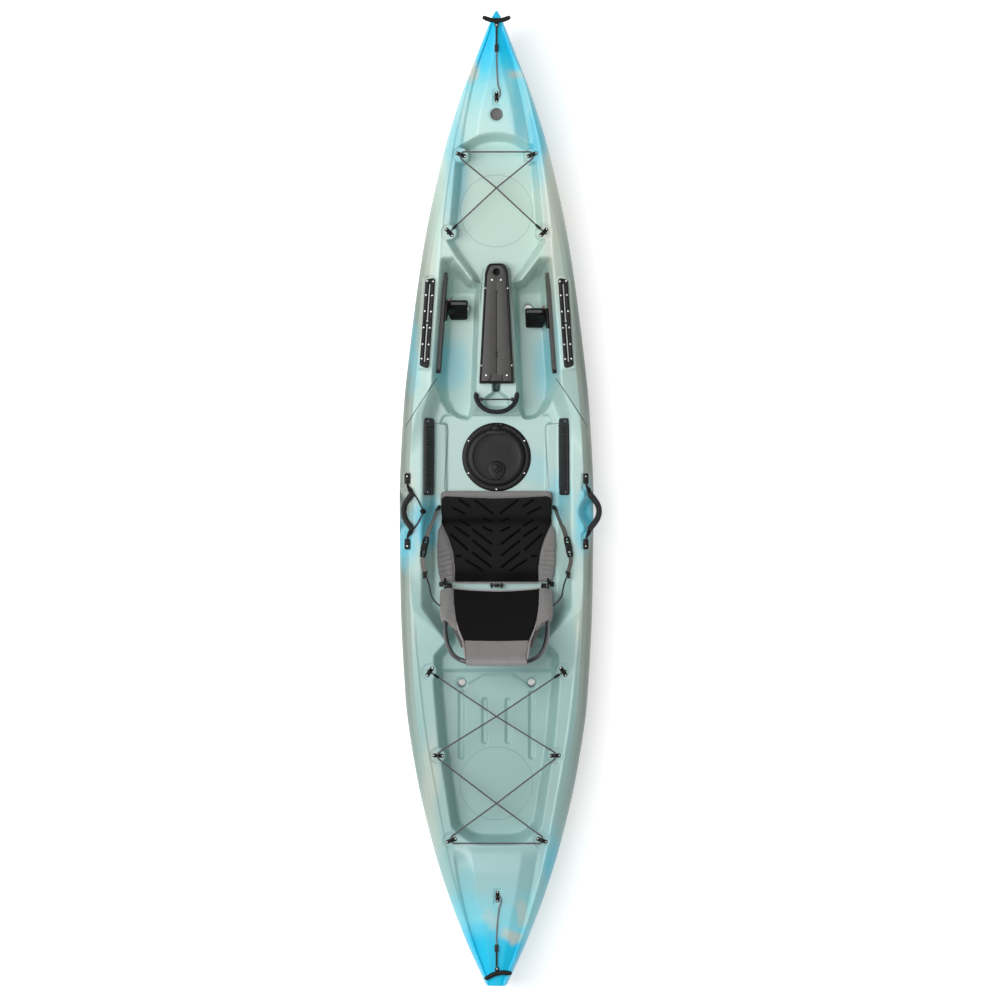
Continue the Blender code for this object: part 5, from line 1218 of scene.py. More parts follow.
    def eye_seat_height(self, key: str) -> float:
        """The height of a pad eye's seat."""
        stations = Line((
            (-1.970, 0.315), (-1.60, 0.304), (-1.0, 0.292), (-0.60, 0.288), (-0.46, 0.282), (-0.34, 0.268),
            (0.0, 0.263), (0.34, 0.268), (0.50, 0.300), (0.56, 0.302), (0.90, 0.302), (1.0, 0.308),
            (1.45, 0.335),
            (1.75, 0.356), (1.90, 0.366), (1.979, 0.366),
        ))
        return float(stations(EYE_SEATS[key][1])) - 0.0020

    def centre_height(self, y: float) -> float:
        """The height of the end decks on the centre line."""
        return float(self.top(y) + self.ridge_rise(y))

    def deck_frame(self, x: float, y: float, reach: float = 0.04) -> Matrix:
        """The frame of a fitting on the end decks, whose x is across, y along the deck and z off it."""
        low = self.centre_height(y - reach)
        high = self.centre_height(y + reach)
        middle = min((low + high) / 2, self.centre_height(y)) - 0.0025
        return axes((x, y, middle), (1.0, 0.0, 0.0), (0.0, 2 * reach, high - low))

    def pads(self) -> list[Pad]:
        """Every flat seat on the deck."""
        made = []
        for side in (1, -1):
            for key, (x, y) in EYE_SEATS.items():
                angles = [math.pi / 8 + i * math.pi / 4 for i in range(8)]
                octagon = [Vector((side * x + 0.0315 * math.cos(a), y + 0.0315 * math.sin(a))) for a in angles]
                made.append(Pad(octagon, self.eye_seat_height(key) - 0.0002, 0.0045))
            along = (RAIL_FRONT - RAIL_REAR).normalized()
            across = Vector((along.y, -along.x)) * (RAIL_WIDTH / 2 + 0.006)
            ends = (RAIL_REAR - along * 0.007, RAIL_FRONT + along * 0.007)
            corners = [ends[0] - across, ends[0] + across, ends[1] + across, ends[1] - across]
            made.append(Pad(rounded([(side * c.x, c.y, 0.014) for c in corners]), RAIL_SEAT - 0.0002, 0.007))
            for y in MOUNT_Y:
                made.append(Pad(rounded(rectangle(side * MOUNT_X, y, 0.013, 0.023, 0.007)), MOUNT_SEAT, 0.004))
                inward = -1 if y > sum(MOUNT_Y) / 2 else 1
                trough = rectangle(side * MOUNT_X, y + inward * 0.0335, 0.012, 0.012, 0.006)
                made.append(Pad(rounded(trough), MOUNT_SEAT - 0.0045, 0.005))
        return made

    def parting_line(self, y: np.ndarray) -> np.ndarray:
        """The height of the widest line, which dips below each hand scoop."""
        dip = np.clip(1.0 - ((y + 0.0475) / 0.104) ** 2, 0.0, 1.0) ** 0.5
        return self.edge(y) - 0.022 * dip * dip * (3 - 2 * dip)

    def bare_deck(self, x: np.ndarray, y: np.ndarray) -> np.ndarray:
        """The deck's height before its wells: the ridge, its grooves, the side decks and the rounded edge."""
        across = np.abs(x)
        beam = self.beam(y)
        shoulder = self.shoulder(y)
        crest = self.top(y)
        # The side decks beside the cockpit lie lower, behind a crease that runs out from the rails' rear
        # ends and before one that curves in behind the seat
        front = 0.497 - 1.54 * np.clip(across - 0.242, 0.0, 0.13)
        rear = np.interp(across, (0.208, 0.289, 0.345, 0.375, 0.392), (-0.565, -0.494, -0.445, -0.392, -0.300))
        low = ramp(front - y, 0.0, 0.120, 0.003, 0.045) * ramp(y - rear, 0.0, 0.130, 0.003, 0.050)
        crest = crest - (crest - 0.2655) * low
        rise = self.ridge_rise(y)
        fall = self.groove_fall(y)
        ridge = self.ridge(y)
        groove = self.groove(y)
        lip = np.minimum(0.010, np.maximum(0.5 * (shoulder - groove), 0.001))
        height = crest + rise
        height -= (rise + fall) * ramp(across, ridge, groove, np.minimum(0.006, 0.25 * (groove - ridge)))
        height += fall * ramp(across, groove, groove + lip, 0.25 * lip)
        step = 0.0028 * np.clip((beam - shoulder) / 0.03, 0.0, 1.0)
        past_rails = np.clip(np.abs(y - 0.70) / 0.25 - 0.9, 0.0, 1.0)
        past_middle = np.clip(np.abs(y) / 0.10 - 4.6, 0.0, 1.0)
        outside = past_rails * past_middle
        height += step * outside * ramp(across, shoulder - 0.004, shoulder, 0.002)
        t = np.clip((across - shoulder) / np.maximum(beam - shoulder, 1e-6), 0.0, 1.0)
        rounding = 1 - (1 - t**self.shoulder_power) ** (1 / self.shoulder_power)
        return height - (height - self.parting_line(y)) * rounding

    def heights(self, x: np.ndarray, y: np.ndarray) -> np.ndarray:
        """The finished deck's height at each point."""
        deck = self.bare_deck(x, y)
        drop = np.zeros(x.shape)
        for pocket in self.pockets:
            outline = rounded(pocket.corners)
            turns = (1, -1) if pocket.twin else (1,)
            for turn in turns:
                within = inside_distance(turn * x, y, outline, 0.03)
                within = within * np.interp(np.abs(x), (0.14, 0.18), (pocket.steeper, 1.0))
                floor = pocket.floor
                if pocket.rise:
                    floor = floor + pocket.rise[2] * ramp(y, pocket.rise[0], pocket.rise[1], 0.006, 0.02)
                depth = (deck - floor) * ramp(within, 0.0, pocket.draft, pocket.lip, pocket.foot)
                least = np.minimum(drop, depth)
                blend = np.clip(1.0 - np.abs(drop - depth) / 0.010, 0.0, 1.0) * np.clip(least / 0.010, 0.0, 1.0)
                drop = np.maximum(drop, depth) + blend * blend * 0.0025
        height = deck - drop
        for pocket in self.sunk:
            outline = rounded(pocket.corners)
            for turn in (1, -1) if pocket.twin else (1,):
                within = inside_distance(turn * x, y, outline, 0.03)
                share = ramp(within, 0.0, pocket.draft, pocket.lip, pocket.foot)
                height = height - np.maximum(height - pocket.floor, 0.0) * np.clip(share, 0.0, 1.0)
        height += self.floor_line(x, y)
        for pad in self.pads():
            share = 1.0 - ramp(-inside_distance(x, y, pad.outline, 0.03), 0.0, pad.border, 0.0015)
            height = height + (pad.height - height) * np.clip(share, 0.0, 1.0)
        for spot_y, reach in ((1.632, 0.030), (BADGE_Y, 0.030), (-1.610, 0.030)):
            frame = self.deck_frame(0.0, spot_y)
            slope = frame.col[1].z / frame.col[1].y
            level = frame.translation.z + (y - spot_y) * slope
            wide = 0.0275 if spot_y == BADGE_Y else 0.013
            away = np.hypot(x, y - spot_y) - wide if spot_y == BADGE_Y else np.maximum(
                np.abs(x - (0.004 if spot_y < 0 else 0.0)) - wide, np.abs(y - spot_y) - reach
            )
            share = 1.0 - ramp(away, 0.0, 0.003, 0.001)
            height = height + (level - height) * np.clip(share, 0.0, 1.0)
        for sx, sy in SCUPPERS:
            away = np.hypot(np.abs(x) - sx, y - sy)
            height = height - 0.0035 * (1.0 - ramp(away, SCUPPER_R, SCUPPER_R + 0.010, 0.003))
        return height

    def floor_line(self, x: np.ndarray, y: np.ndarray) -> np.ndarray:
        """The raised bracket line at the front of the tank well's floor."""
        across = np.abs(x)
        bar = np.maximum(across - 0.055, 0.0) * 0.64
        away = np.abs(y + 0.710 + bar) * np.where(across > 0.055, 0.84, 1.0)
        beyond = np.maximum(across - 0.112, 0.0)
        return 0.0035 * (1.0 - ramp(np.hypot(away, beyond), 0.001, 0.006, 0.001))

    def columns(self, y: np.ndarray) -> np.ndarray:
        """The x of every deck column at each y: even inside, and closer together towards the edge."""
        beam = self.beam(y)[:, None]
        split = beam * (1 - self.edge_band / 0.396)
        inner = split * (np.arange(self.inner_columns + 1) / self.inner_columns)[None, :]
        share = np.arange(1, self.outer_columns + 1) / self.outer_columns
        outer = split + (beam - split) * (1 - (1 - share) ** 2)[None, :]
        half = np.concatenate([inner, outer], axis=1)
        return np.concatenate([-half[:, :0:-1], half], axis=1)

    def deck_points(self) -> np.ndarray:
        """Every deck vertex, as rows from stern to bow of columns from port to starboard."""
        y = np.linspace(self.stern_y, self.bow_y, self.rows + 1)
        x = self.columns(y)
        rows = np.broadcast_to(y[:, None], x.shape)
        z = self.heights(x.ravel(), rows.ravel()).reshape(x.shape)
        z[:, 0] = z[:, -1] = self.parting_line(y)
        points = np.stack([x, rows, z], axis=2)
        return self.closed_ends(points)

    def closed_ends(self, points: np.ndarray) -> np.ndarray:
        """Adds rows that close a skin at the transom and the stem, drawn in to a point."""
        ends = []
        for row, y, sign in ((points[0], self.stern_y, -1), (points[-1], self.bow_y, 1)):
            low = float(self.keel(y))
            centre = np.array([0.0, y, (low + self.centre_height(y)) / 2])
            rings = []
            for share, bulge in ((0.97, 0.0022), (0.90, 0.0036), (0.5, 0.005), (0.001, 0.006)):
                ring = centre + (row - centre) * share
                ring[:, 1] = y + sign * bulge * (1.0 if sign < 0 else 0.2)
                rings.append(ring)
            ends.append(rings)
        return np.concatenate([np.array(ends[0][::-1]), points, np.array(ends[1])])

    @staticmethod
    def normals(points: np.ndarray) -> np.ndarray:
        """Upward normals of a grid of points, taken across its whole length so that no join shows."""
        across = np.gradient(points, axis=1)
        along = np.gradient(points, axis=0)
        found = np.cross(across, along)
        found /= np.maximum(np.linalg.norm(found, axis=2, keepdims=True), 1e-12)
        return found

    @staticmethod
    def woven(points: np.ndarray) -> tuple[bmesh.types.BMesh, bmesh.types.BMLayerItem]:
        """Spans faces over a grid of points.

        Args:
            points: The grid's points, as rows of columns.

        Returns:
            The faces, and the layer that keeps each vertex's place among the points.
        """
        rows, columns = points.shape[:2]
        bm = bmesh.new()
        bmesh.ops.create_grid(bm, x_segments=columns - 1, y_segments=rows - 1, size=0.5)
        number = bm.verts.layers.int.new("number")
        flat = points.reshape(-1, 3)
        for vert in bm.verts:
            row, column = round((vert.co.y + 0.5) * (rows - 1)), round((vert.co.x + 0.5) * (columns - 1))
            vert[number] = row * columns + column
            vert.co = flat[vert[number]]
        return bm, number

    def skin(
        self, name: str, points: np.ndarray, normals: np.ndarray, outward: np.ndarray,
        holes: Sequence[tuple[float, float, float]],
    ) -> bpy.types.Object:
        """Makes a piece of the hull from a grid that its points shape.

        Args:
            name: The piece's name.
            points: The grid's points, as rows of columns.
            normals: Their normals.
            outward: How far out each is in the band along the widest line.
            holes: Round holes through it, as (x, y, radius).

        Returns:
            The piece.
        """
        rows, columns = points.shape[:2]
        bm, number = self.woven(points)
        for x, y, radius in holes:
            centre = Vector((x, y))
            gone = [f for f in bm.faces if (f.calc_center_median().xy - centre).length < radius]
            bmesh.ops.delete(bm, geom=gone, context="FACES")
            for vert in bm.verts:
                off = vert.co.xy - centre
                if off.length < radius * 1.35 and vert.is_boundary:
                    vert.co.xy = centre + off.normalized() * radius
        order = [v[number] for v in bm.verts]
        if normals[rows // 2, columns // 2, 2] < 0:
            bmesh.ops.reverse_faces(bm, faces=bm.faces)
        piece = finished(name, bm, HULL_PLASTIC, nodes=["hull"], smooth_angle=180.0, recalculate=False)
        piece.data.normals_split_custom_set_from_vertices(normals.reshape(-1, 3)[order])
        # Where the plastic paints shade on the flanks
        shares = piece.data.attributes.new("outward", "FLOAT", "POINT")
        shares.data.foreach_set("value", outward.ravel()[order].astype(np.float32))
        return piece

    def bottom_points(self) -> np.ndarray:
        """Every vertex of the bottom, from the port edge round the keel to the starboard edge."""
        y = np.linspace(self.stern_y, self.bow_y, self.rows // 2 + 1)
        beam = self.beam(y)
        keel = self.keel(y)
        edge = self.parting_line(y)
        depth = edge - keel
        flat = np.minimum(0.085, 0.085 * (beam / 0.36) ** 1.3)
        zero = np.zeros_like(y)
        controls = [
            (zero, keel), (flat * 0.6, keel), (flat, keel), (beam * 0.500, keel + 0.085 * depth),
            (beam * 0.740, keel), (beam * 0.870, keel + 0.115 * depth),
            (beam * 0.940, keel + 0.24 * depth), (beam * 0.985, keel + 0.55 * depth), (beam, edge),
        ]
        xs = np.stack([c[0] for c in controls])
        zs = np.stack([c[1] for c in controls])
        steps = np.linspace(0.0, len(controls) - 1, 41)
        half = []
        for s in steps:
            i = min(int(s), len(controls) - 2)
            t = s - i
            row = []
            for values in (xs, zs):
                a = values[max(i - 1, 0)]
                b, c = values[i], values[i + 1]
                d = values[min(i + 2, len(controls) - 1)]
                row.append(0.5 * (
                    2 * b + (c - a) * t + (2 * a - 5 * b + 4 * c - d) * t * t + (3 * b - a - 3 * c + d) * t**3
                ))
            half.append(row)
        x = np.stack([h[0] for h in half], axis=1)
        z = np.stack([h[1] for h in half], axis=1)
        x = np.minimum(x, beam[:, None])
        z = np.maximum(z, keel[:, None])
        points = np.stack([
            np.concatenate([-x[:, :0:-1], x], axis=1),
            np.broadcast_to(y[:, None], (len(y), 2 * x.shape[1] - 1)),
            np.concatenate([z[:, :0:-1], z], axis=1),
        ], axis=2)
        return self.closed_ends(points)

    def bottom_height(self, x: float, y: float) -> float:
        """The height of the bottom under a point."""
        row = self.bottom_points_at(y)
        return float(np.interp(abs(x), row[0], row[1]))

    def bottom_points_at(self, y: float) -> tuple[np.ndarray, np.ndarray]:
        """The bottom's half section at y, as x and z."""
        beam, keel, edge = float(self.beam(y)), float(self.keel(y)), float(self.parting_line(np.array([y]))[0])
        depth = edge - keel
        x = np.array([0.0, 0.085, beam * 0.5, beam * 0.74, beam * 0.87, beam])
        z = keel + depth * np.array([0.0, 0.0, 0.085, 0.0, 0.115, 1.0])
        return x, z

    def scuppers(self) -> bpy.types.Object:
        """The drain tubes from the floors to the bottom, each with a rounded mouth at both ends."""
        tubes = []
        for sign in (1, -1):
            for x, y in SCUPPERS:
                spots = np.array([sign * x + 0.026]), np.array([y])
                high = float(self.heights(*spots)[0])
                low = self.bottom_height(x, y)
                middle = (high + low) / 2
                profile = [
                    (0.0215, high - 0.0012), (0.0195, high - 0.0006), (0.0172, high - 0.0030),
                    (0.0158, high - 0.0075), (0.0154, middle), (0.0158, low + 0.006), (0.0172, low + 0.0015),
                    (0.0225, low - 0.0012), (0.0235, low + 0.001), (0.0195, low + 0.008), (0.0190, middle),
                    (0.0195, high - 0.009),
                ]
                tubes.append(spun(profile, 32, flat_spot(sign * x, y, 0.0)))
        return finished("hull_scupper_tubes", merged(tubes), HULL_PLASTIC, nodes=["hull"], smooth_angle=60.0)

    def hold(self) -> bpy.types.Object:
        """The inside of the hollow hull, which shows through the open hatch."""
        points = self.bottom_points()[4:-4:8, ::2].copy()
        keep = (points[:, 0, 1] > -0.9) & (points[:, 0, 1] < 1.2)
        points = points[keep]
        middle = np.stack([np.zeros(len(points)), points[:, 0, 1], np.full(len(points), 0.12)], axis=1)
        inward = middle[:, None, :] - points
        inward /= np.maximum(np.linalg.norm(inward, axis=2, keepdims=True), 1e-9)
        points = points + inward * (self.wall + 0.002)
        bm, _ = self.woven(points)
        blocked = [
            f for f in bm.faces for x, y in SCUPPERS
            if abs(abs(f.calc_center_median().x) - x) < 0.045 and abs(f.calc_center_median().y - y) < 0.058
        ]
        bmesh.ops.delete(bm, geom=blocked, context="FACES")
        return finished("hull_hold", bm, HULL_PLASTIC, nodes=["hull"], smooth_angle=180.0, recalculate=False)

    def build(self) -> None:
        """Makes the hull's pieces."""
        points = self.deck_points()
        normals = self.normals(points)
        # The share of each point in the band along the widest line, which the plastic reads to paint shade on
        # the flanks
        outward = np.clip(
            1 - (self.beam(points[:, :, 1]) - np.abs(points[:, :, 0])) / self.flank_band, 0.0, 1.0
        )
        third = len(points) // 3
        cuts = ((0, third, "stern"), (third, 2 * third, "cockpit"), (2 * third, len(points) - 1, "bow"))
        for first, last, word in cuts:
            part = points[first : last + 1]
            low, high = part[0, 0, 1], part[-1, 0, 1]
            holes = [(s * x, y, 0.0205) for x, y in SCUPPERS for s in (1, -1) if low < y < high]
            if low < HATCH_Y < high:
                holes.append((0.0, HATCH_Y, 0.106))
            self.skin(f"hull_deck_{word}", part, normals[first : last + 1], outward[first : last + 1], holes)
        bottom = self.bottom_points()
        under = [(s * x, y, 0.0225) for x, y in SCUPPERS for s in (1, -1)]
        # The bottom takes the flanks' painted shade all over
        self.skin("hull_bottom", bottom, -self.normals(bottom), np.ones(bottom.shape[:2]), under)
        self.scuppers()
        self.hold()


# Fittings


def ribbed(path: Sequence[Vector], pitch: float, deep: float, ends: float) -> tuple[list[Vector], list[float]]:
    """Steps a path for a ribbed grip.

    Args:
        path: The grip's smooth centre line.
        pitch: The distance between two ribs.
        deep: How much narrower a groove is, as a share of the radius.
        ends: How narrow each end is, as a share of the radius.

    Returns:
        The points, four to a rib, and the scale at each.
    """
    lengths = [0.0]
    for a, b in zip(path, path[1:]):
        lengths.append(lengths[-1] + (b - a).length)
    total = lengths[-1]
    count = round(total / pitch) * 4
    points = []
    scales = []
    for i in range(count + 1):
        at = total * i / count
        k = next(j for j in range(1, len(lengths)) if lengths[j] >= at - 1e-9)
        share = (at - lengths[k - 1]) / (lengths[k] - lengths[k - 1])
        points.append(path[k - 1].lerp(path[k], share))
        near = min(at, total - at) / (pitch * 1.5)
        swell = ends + (1 - ends) * min(1.0, near)
        scales.append(swell * (1.0 - deep if i % 4 == 0 else 1.0))
    return points, scales


def sleeve(path: Sequence[Vector], radius: float, sides: int = 20) -> bmesh.types.BMesh:
    """A round bar along a path, with rounded ends."""
    points = [Vector(p) for p in path]
    start = (points[0] - points[1]).normalized()
    end = (points[-1] - points[-2]).normalized()
    caps = ((0.0, 0.72), (0.18, 0.90), (0.45, 1.0))
    rounds = [points[0] - start * (radius * back) for back, _ in caps]
    tails = [points[-1] - end * (radius * back) for back, _ in caps]
    line = rounds + points[1:-1] + tails[::-1]
    scales = [s for _, s in caps] + [1.0] * (len(points) - 2) + [s for _, s in caps[::-1]]
    return swept(line, circle(radius, sides), scales=scales)


@dataclass
class Hatch:
    """The round hatch: a screwed ring, a seal, a hinged lid and its turning latch."""

    z: float = 0.1503
    lid_radius: float = 0.1185
    hinge: tuple[float, float] = (0.305, 0.1628)
    steps: int = 112
    screw_circle: float = 0.1322

    def build(self) -> None:
        """Makes the hatch's pieces."""
        z = self.z
        centre = flat_spot(0.0, HATCH_Y, 0.0)
        ring = [
            (0.0985, z - 0.014), (0.1025, z - 0.014), (0.1025, z), (0.1406, z), (0.1410, z + 0.0006),
            (0.1410, z + 0.0018), (0.1398, z + 0.0036), (0.1372, z + 0.0050), (0.1320, z + 0.0058),
            (0.1228, z + 0.0065), (0.1214, z + 0.0061), (0.1207, z + 0.0050), (0.1205, z + 0.0030),
            (0.0985, z + 0.0030),
        ]
        parts = [spun(ring, self.steps, centre)]
        for side in (1, -1):
            parts.append(self.knuckle(side * 0.0215, 0.010))
            parts.append(box((0.010, 0.012, 0.010), (side * 0.0215, 0.3095, z + 0.0075), 0.0012))
        finished("hatch_ring", merged(parts), NYLON, nodes=["hatch_ring"])
        seal = [
            (0.1055, z + 0.0033), (0.1115, z + 0.0033), (0.1117, z + 0.0050), (0.1105, z + 0.0062),
            (0.1085, z + 0.0065), (0.1064, z + 0.0062), (0.1053, z + 0.0050),
        ]
        finished("hatch_seal", spun(seal, 80, centre), RUBBER, nodes=["hatch_seal"])
        spots = []
        for k in range(6):
            angle = math.radians(90 + 60 * k)
            spots.append(flat_spot(
                self.screw_circle * math.cos(angle), HATCH_Y + self.screw_circle * math.sin(angle), z + 0.0058
            ))
        finished("hatch_ring_screws", screws(spots, 0.0040), STAINLESS)
        self.lid()
        pin = swept([(-0.0263, *self.hinge), (0.0, *self.hinge), (0.0263, *self.hinge)], circle(0.0022, 14))
        finished("hatch_hinge_pin", pin, STAINLESS, nodes=["hatch_hinge_pin"])
        self.latch()

    def knuckle(self, x: float, width: float) -> bmesh.types.BMesh:
        """A hinge barrel about the pin, centred on x."""
        y, z = self.hinge
        turn = axes((x - width / 2, y, z), (0.0, 1.0, 0.0), (0.0, 0.0, 1.0))
        profile = [
            (0.0024, 0.0), (0.0044, 0.0), (0.0048, 0.0005), (0.0048, width - 0.0005), (0.0044, width),
            (0.0024, width),
        ]
        return spun(profile, 24, turn)

    def lid(self) -> None:
        """The lid: a turned disc with a rim, a shallow step, a hinge tongue and two locating ribs."""
        z = self.z
        top = z + 0.0165
        profile = [
            (0.0, z + 0.0118), (0.0955, z + 0.0118), (0.0968, z + 0.0110), (0.0985, z + 0.0072),
            (0.0995, z + 0.0068), (0.1172, z + 0.0068), (0.1183, z + 0.0075), (self.lid_radius, z + 0.0088),
            (self.lid_radius, z + 0.0108), (0.1176, z + 0.0126), (0.1150, z + 0.0142), (0.1095, z + 0.0156),
            (0.1040, top - 0.0002), (0.0990, top), (0.0965, top - 0.0002), (0.0945, top - 0.0010),
            (0.0920, top - 0.0013), (0.0600, top - 0.0010), (0.0200, top - 0.0006), (0.0, top - 0.0006),
        ]
        parts = [spun(profile, self.steps, flat_spot(0.0, HATCH_Y, 0.0), closed=False)]
        parts.append(self.knuckle(0.0, 0.0315))
        parts.append(box((0.0315, 0.016, 0.0052), (0.0, 0.2950, z + 0.0120), 0.0012))
        hinge_cover = plate(rounded([
            (-0.048, 0.2700, 0.003), (0.048, 0.2700, 0.003), (0.036, 0.2840, 0.006), (-0.036, 0.2840, 0.006),
        ], 4), z + 0.0130, z + 0.0170, 0.0012)
        parts.append(hinge_cover)
        for side in (1, -1):
            corner = Matrix.Translation((side * 0.0525, 0.2735, z + 0.0156))
            turned = corner @ Matrix.Rotation(side * -0.49, 4, "Z")
            parts.append(box((0.0028, 0.0220, 0.0030), edge=0.0009, matrix=turned))
        for k in range(12):
            angle = math.pi * 2 * k / 12
            rib = Matrix.Translation((0.0, HATCH_Y, z + 0.0095)) @ Matrix.Rotation(angle, 4, "Z")
            parts.append(box((0.0022, 0.062, 0.0048), (0.0, 0.055, 0.0), matrix=rib))
        finished("hatch_lid", merged(parts), NYLON, "hatch_lid", ["hatch_lid"])

    def latch(self) -> None:
        """The latch: a teardrop with a turned boss and a thumb bump at its narrow end."""
        low = self.z + 0.0168
        high = self.z + 0.0280
        outline = [
            (0.0, 0.164, 0.06), (-0.035, 0.146, 0.034), (-0.035, 0.112, 0.034), (-0.013, 0.083, 0.008),
            (0.013, 0.083, 0.008), (0.035, 0.112, 0.034), (0.035, 0.146, 0.034),
        ]
        parts = [plate(rounded(outline, 9), low, high - 0.0030, 0.0028, 4)]
        top = high - 0.0030
        boss = [
            (0.0, top - 0.0010), (0.0165, top - 0.0010), (0.0172, top + 0.0022), (0.0182, top + 0.0030),
            (0.0210, top + 0.0030), (0.0222, top + 0.0022), (0.0230, top - 0.0008),
        ]
        parts.append(
            spun(boss + [(0.0230, top - 0.0020), (0.0, top - 0.0020)], 48, flat_spot(0.0, 0.1350, 0.0), False)
        )
        parts.append(spun([
            (0.0, top + 0.0012), (0.0110, top + 0.0010), (0.0124, top + 0.0002), (0.0124, top - 0.0012),
            (0.0, top - 0.0012),
        ], 36, flat_spot(0.0, 0.1350, 0.0), False))
        parts.append(box((0.0150, 0.0050, 0.0026), (0.0, 0.1080, top + 0.0004), 0.0010))
        parts.append(box((0.0110, 0.0085, 0.0030), (0.0, 0.0960, top + 0.0006), 0.0012))
        finished("hatch_latch", merged(parts), NYLON, "hatch_latch", ["hatch_latch"])


@dataclass
class Console:
    """The console between the footwells: a black base, and a panel with a pole hole and a centre groove."""

    low: float = 0.2363
    top: float = 0.296
    border: float = 0.009
    half: tuple[Point, ...] = ((0.034, 0.962, 0.030), (0.047, 0.925, 0.050), (0.0705, 0.474, 0.006))

    def outline(self, inset: float, steps: int = 9) -> list[Vector]:
        """The plan outline, drawn in by an inset."""
        corners = [
            (x - inset, y - inset * (0.9 if y > 0.9 else -1.0), max(r - inset, 0.002)) for x, y, r in self.half
        ]
        return rounded(both_sides(corners), steps)

    def notches(self, grow: float) -> list[list[Vector]]:
        """The two slanted notches near the rear edge."""
        made = []
        for side in (1, -1):
            points = [(0.0185, 0.5060), (0.0235, 0.5065), (0.0325, 0.4840), (0.0235, 0.4835)]
            middle = Vector((0.0245, 0.4950))
            shape = [middle + (Vector(p) - middle) * (1 + grow) for p in points]
            made.append([Vector((side * p.x, p.y)) for p in shape])
        return made

    def build(self) -> None:
        """Makes the base, the panel, its screws and the clip in its groove."""
        hole = [Vector((x, 0.927 + y)) for x, y in circle(0.0145, 28)]
        under = plate(self.outline(0.0), self.low, self.top - 0.0045, 0.0, holes=[hole] + self.notches(0.2))
        rim = plate(
            self.outline(0.0), self.top - 0.0046, self.top, 0.0038, 3,
            holes=[self.outline(self.border - 0.0003)]
        )
        finished("console_base", merged([under, rim]), NYLON, nodes=["console_base"])
        small = [Vector((x, 0.927 + y)) for x, y in circle(0.0130, 28)]
        groove = rounded([
            (-0.0013, 0.514, 0.0012), (0.0013, 0.514, 0.0012), (0.0013, 0.850, 0.0012),
            (-0.0013, 0.850, 0.0012),
        ], 2)
        panel = plate(
            self.outline(self.border), self.top - 0.0042, self.top + 0.0015, 0.0008, 2,
            holes=[small, groove] + self.notches(0.0),
        )
        finished("console_cover", panel, GREY_ABS, nodes=["console_cover"])
        lip = [
            (0.0128, self.top + 0.0016), (0.0136, self.top + 0.0024), (0.0150, self.top + 0.0024),
            (0.0158, self.top + 0.0014), (0.0158, self.top), (0.0128, self.top - 0.006),
        ]
        finished("console_hole_rim", spun(lip, 40, flat_spot(0.0, 0.927, 0.0)), NYLON)
        # A closed black cup under the pole hole: painted shade for the dark hollow beneath, where the hull lies
        # open under the hole
        tube = [
            (0.0, self.low + 0.0016), (0.0131, self.low + 0.0016), (0.0131, self.top - 0.0048),
            (0.0142, self.top - 0.0048), (0.0142, self.low + 0.0004), (0.0, self.low + 0.0004),
        ]
        finished("console_hole_shade_cup", spun(tube, 40, flat_spot(0.0, 0.927, 0.0), False), NYLON)
        on_panel = [
            flat_spot(s * x, y, self.top + 0.0014) for x, y in ((0.018, 0.895), (0.042, 0.507)) for s in (1, -1)
        ]
        on_rim = [
            flat_spot(s * x, y, self.top - 0.0002)
            for x, y in ((0.0456, 0.861), (0.0620, 0.547)) for s in (1, -1)
        ]
        finished("console_screws", merged([screws(on_panel, 0.0046), screws(on_rim, 0.0034)]), STAINLESS)
        clip = [
            box((0.0095, 0.0050, 0.0034), (0.0, 0.5990, self.top + 0.0024), 0.0009),
            box((0.0095, 0.0050, 0.0034), (0.0, 0.5850, self.top + 0.0024), 0.0009),
            box((0.0042, 0.0300, 0.0026), (0.0, 0.5900, self.top + 0.0022), 0.0008),
            box((0.0050, 0.0090, 0.0034), (0.0, 0.8460, self.top + 0.0022), 0.0009),
        ]
        finished("console_groove_clip", merged(clip), NYLON)


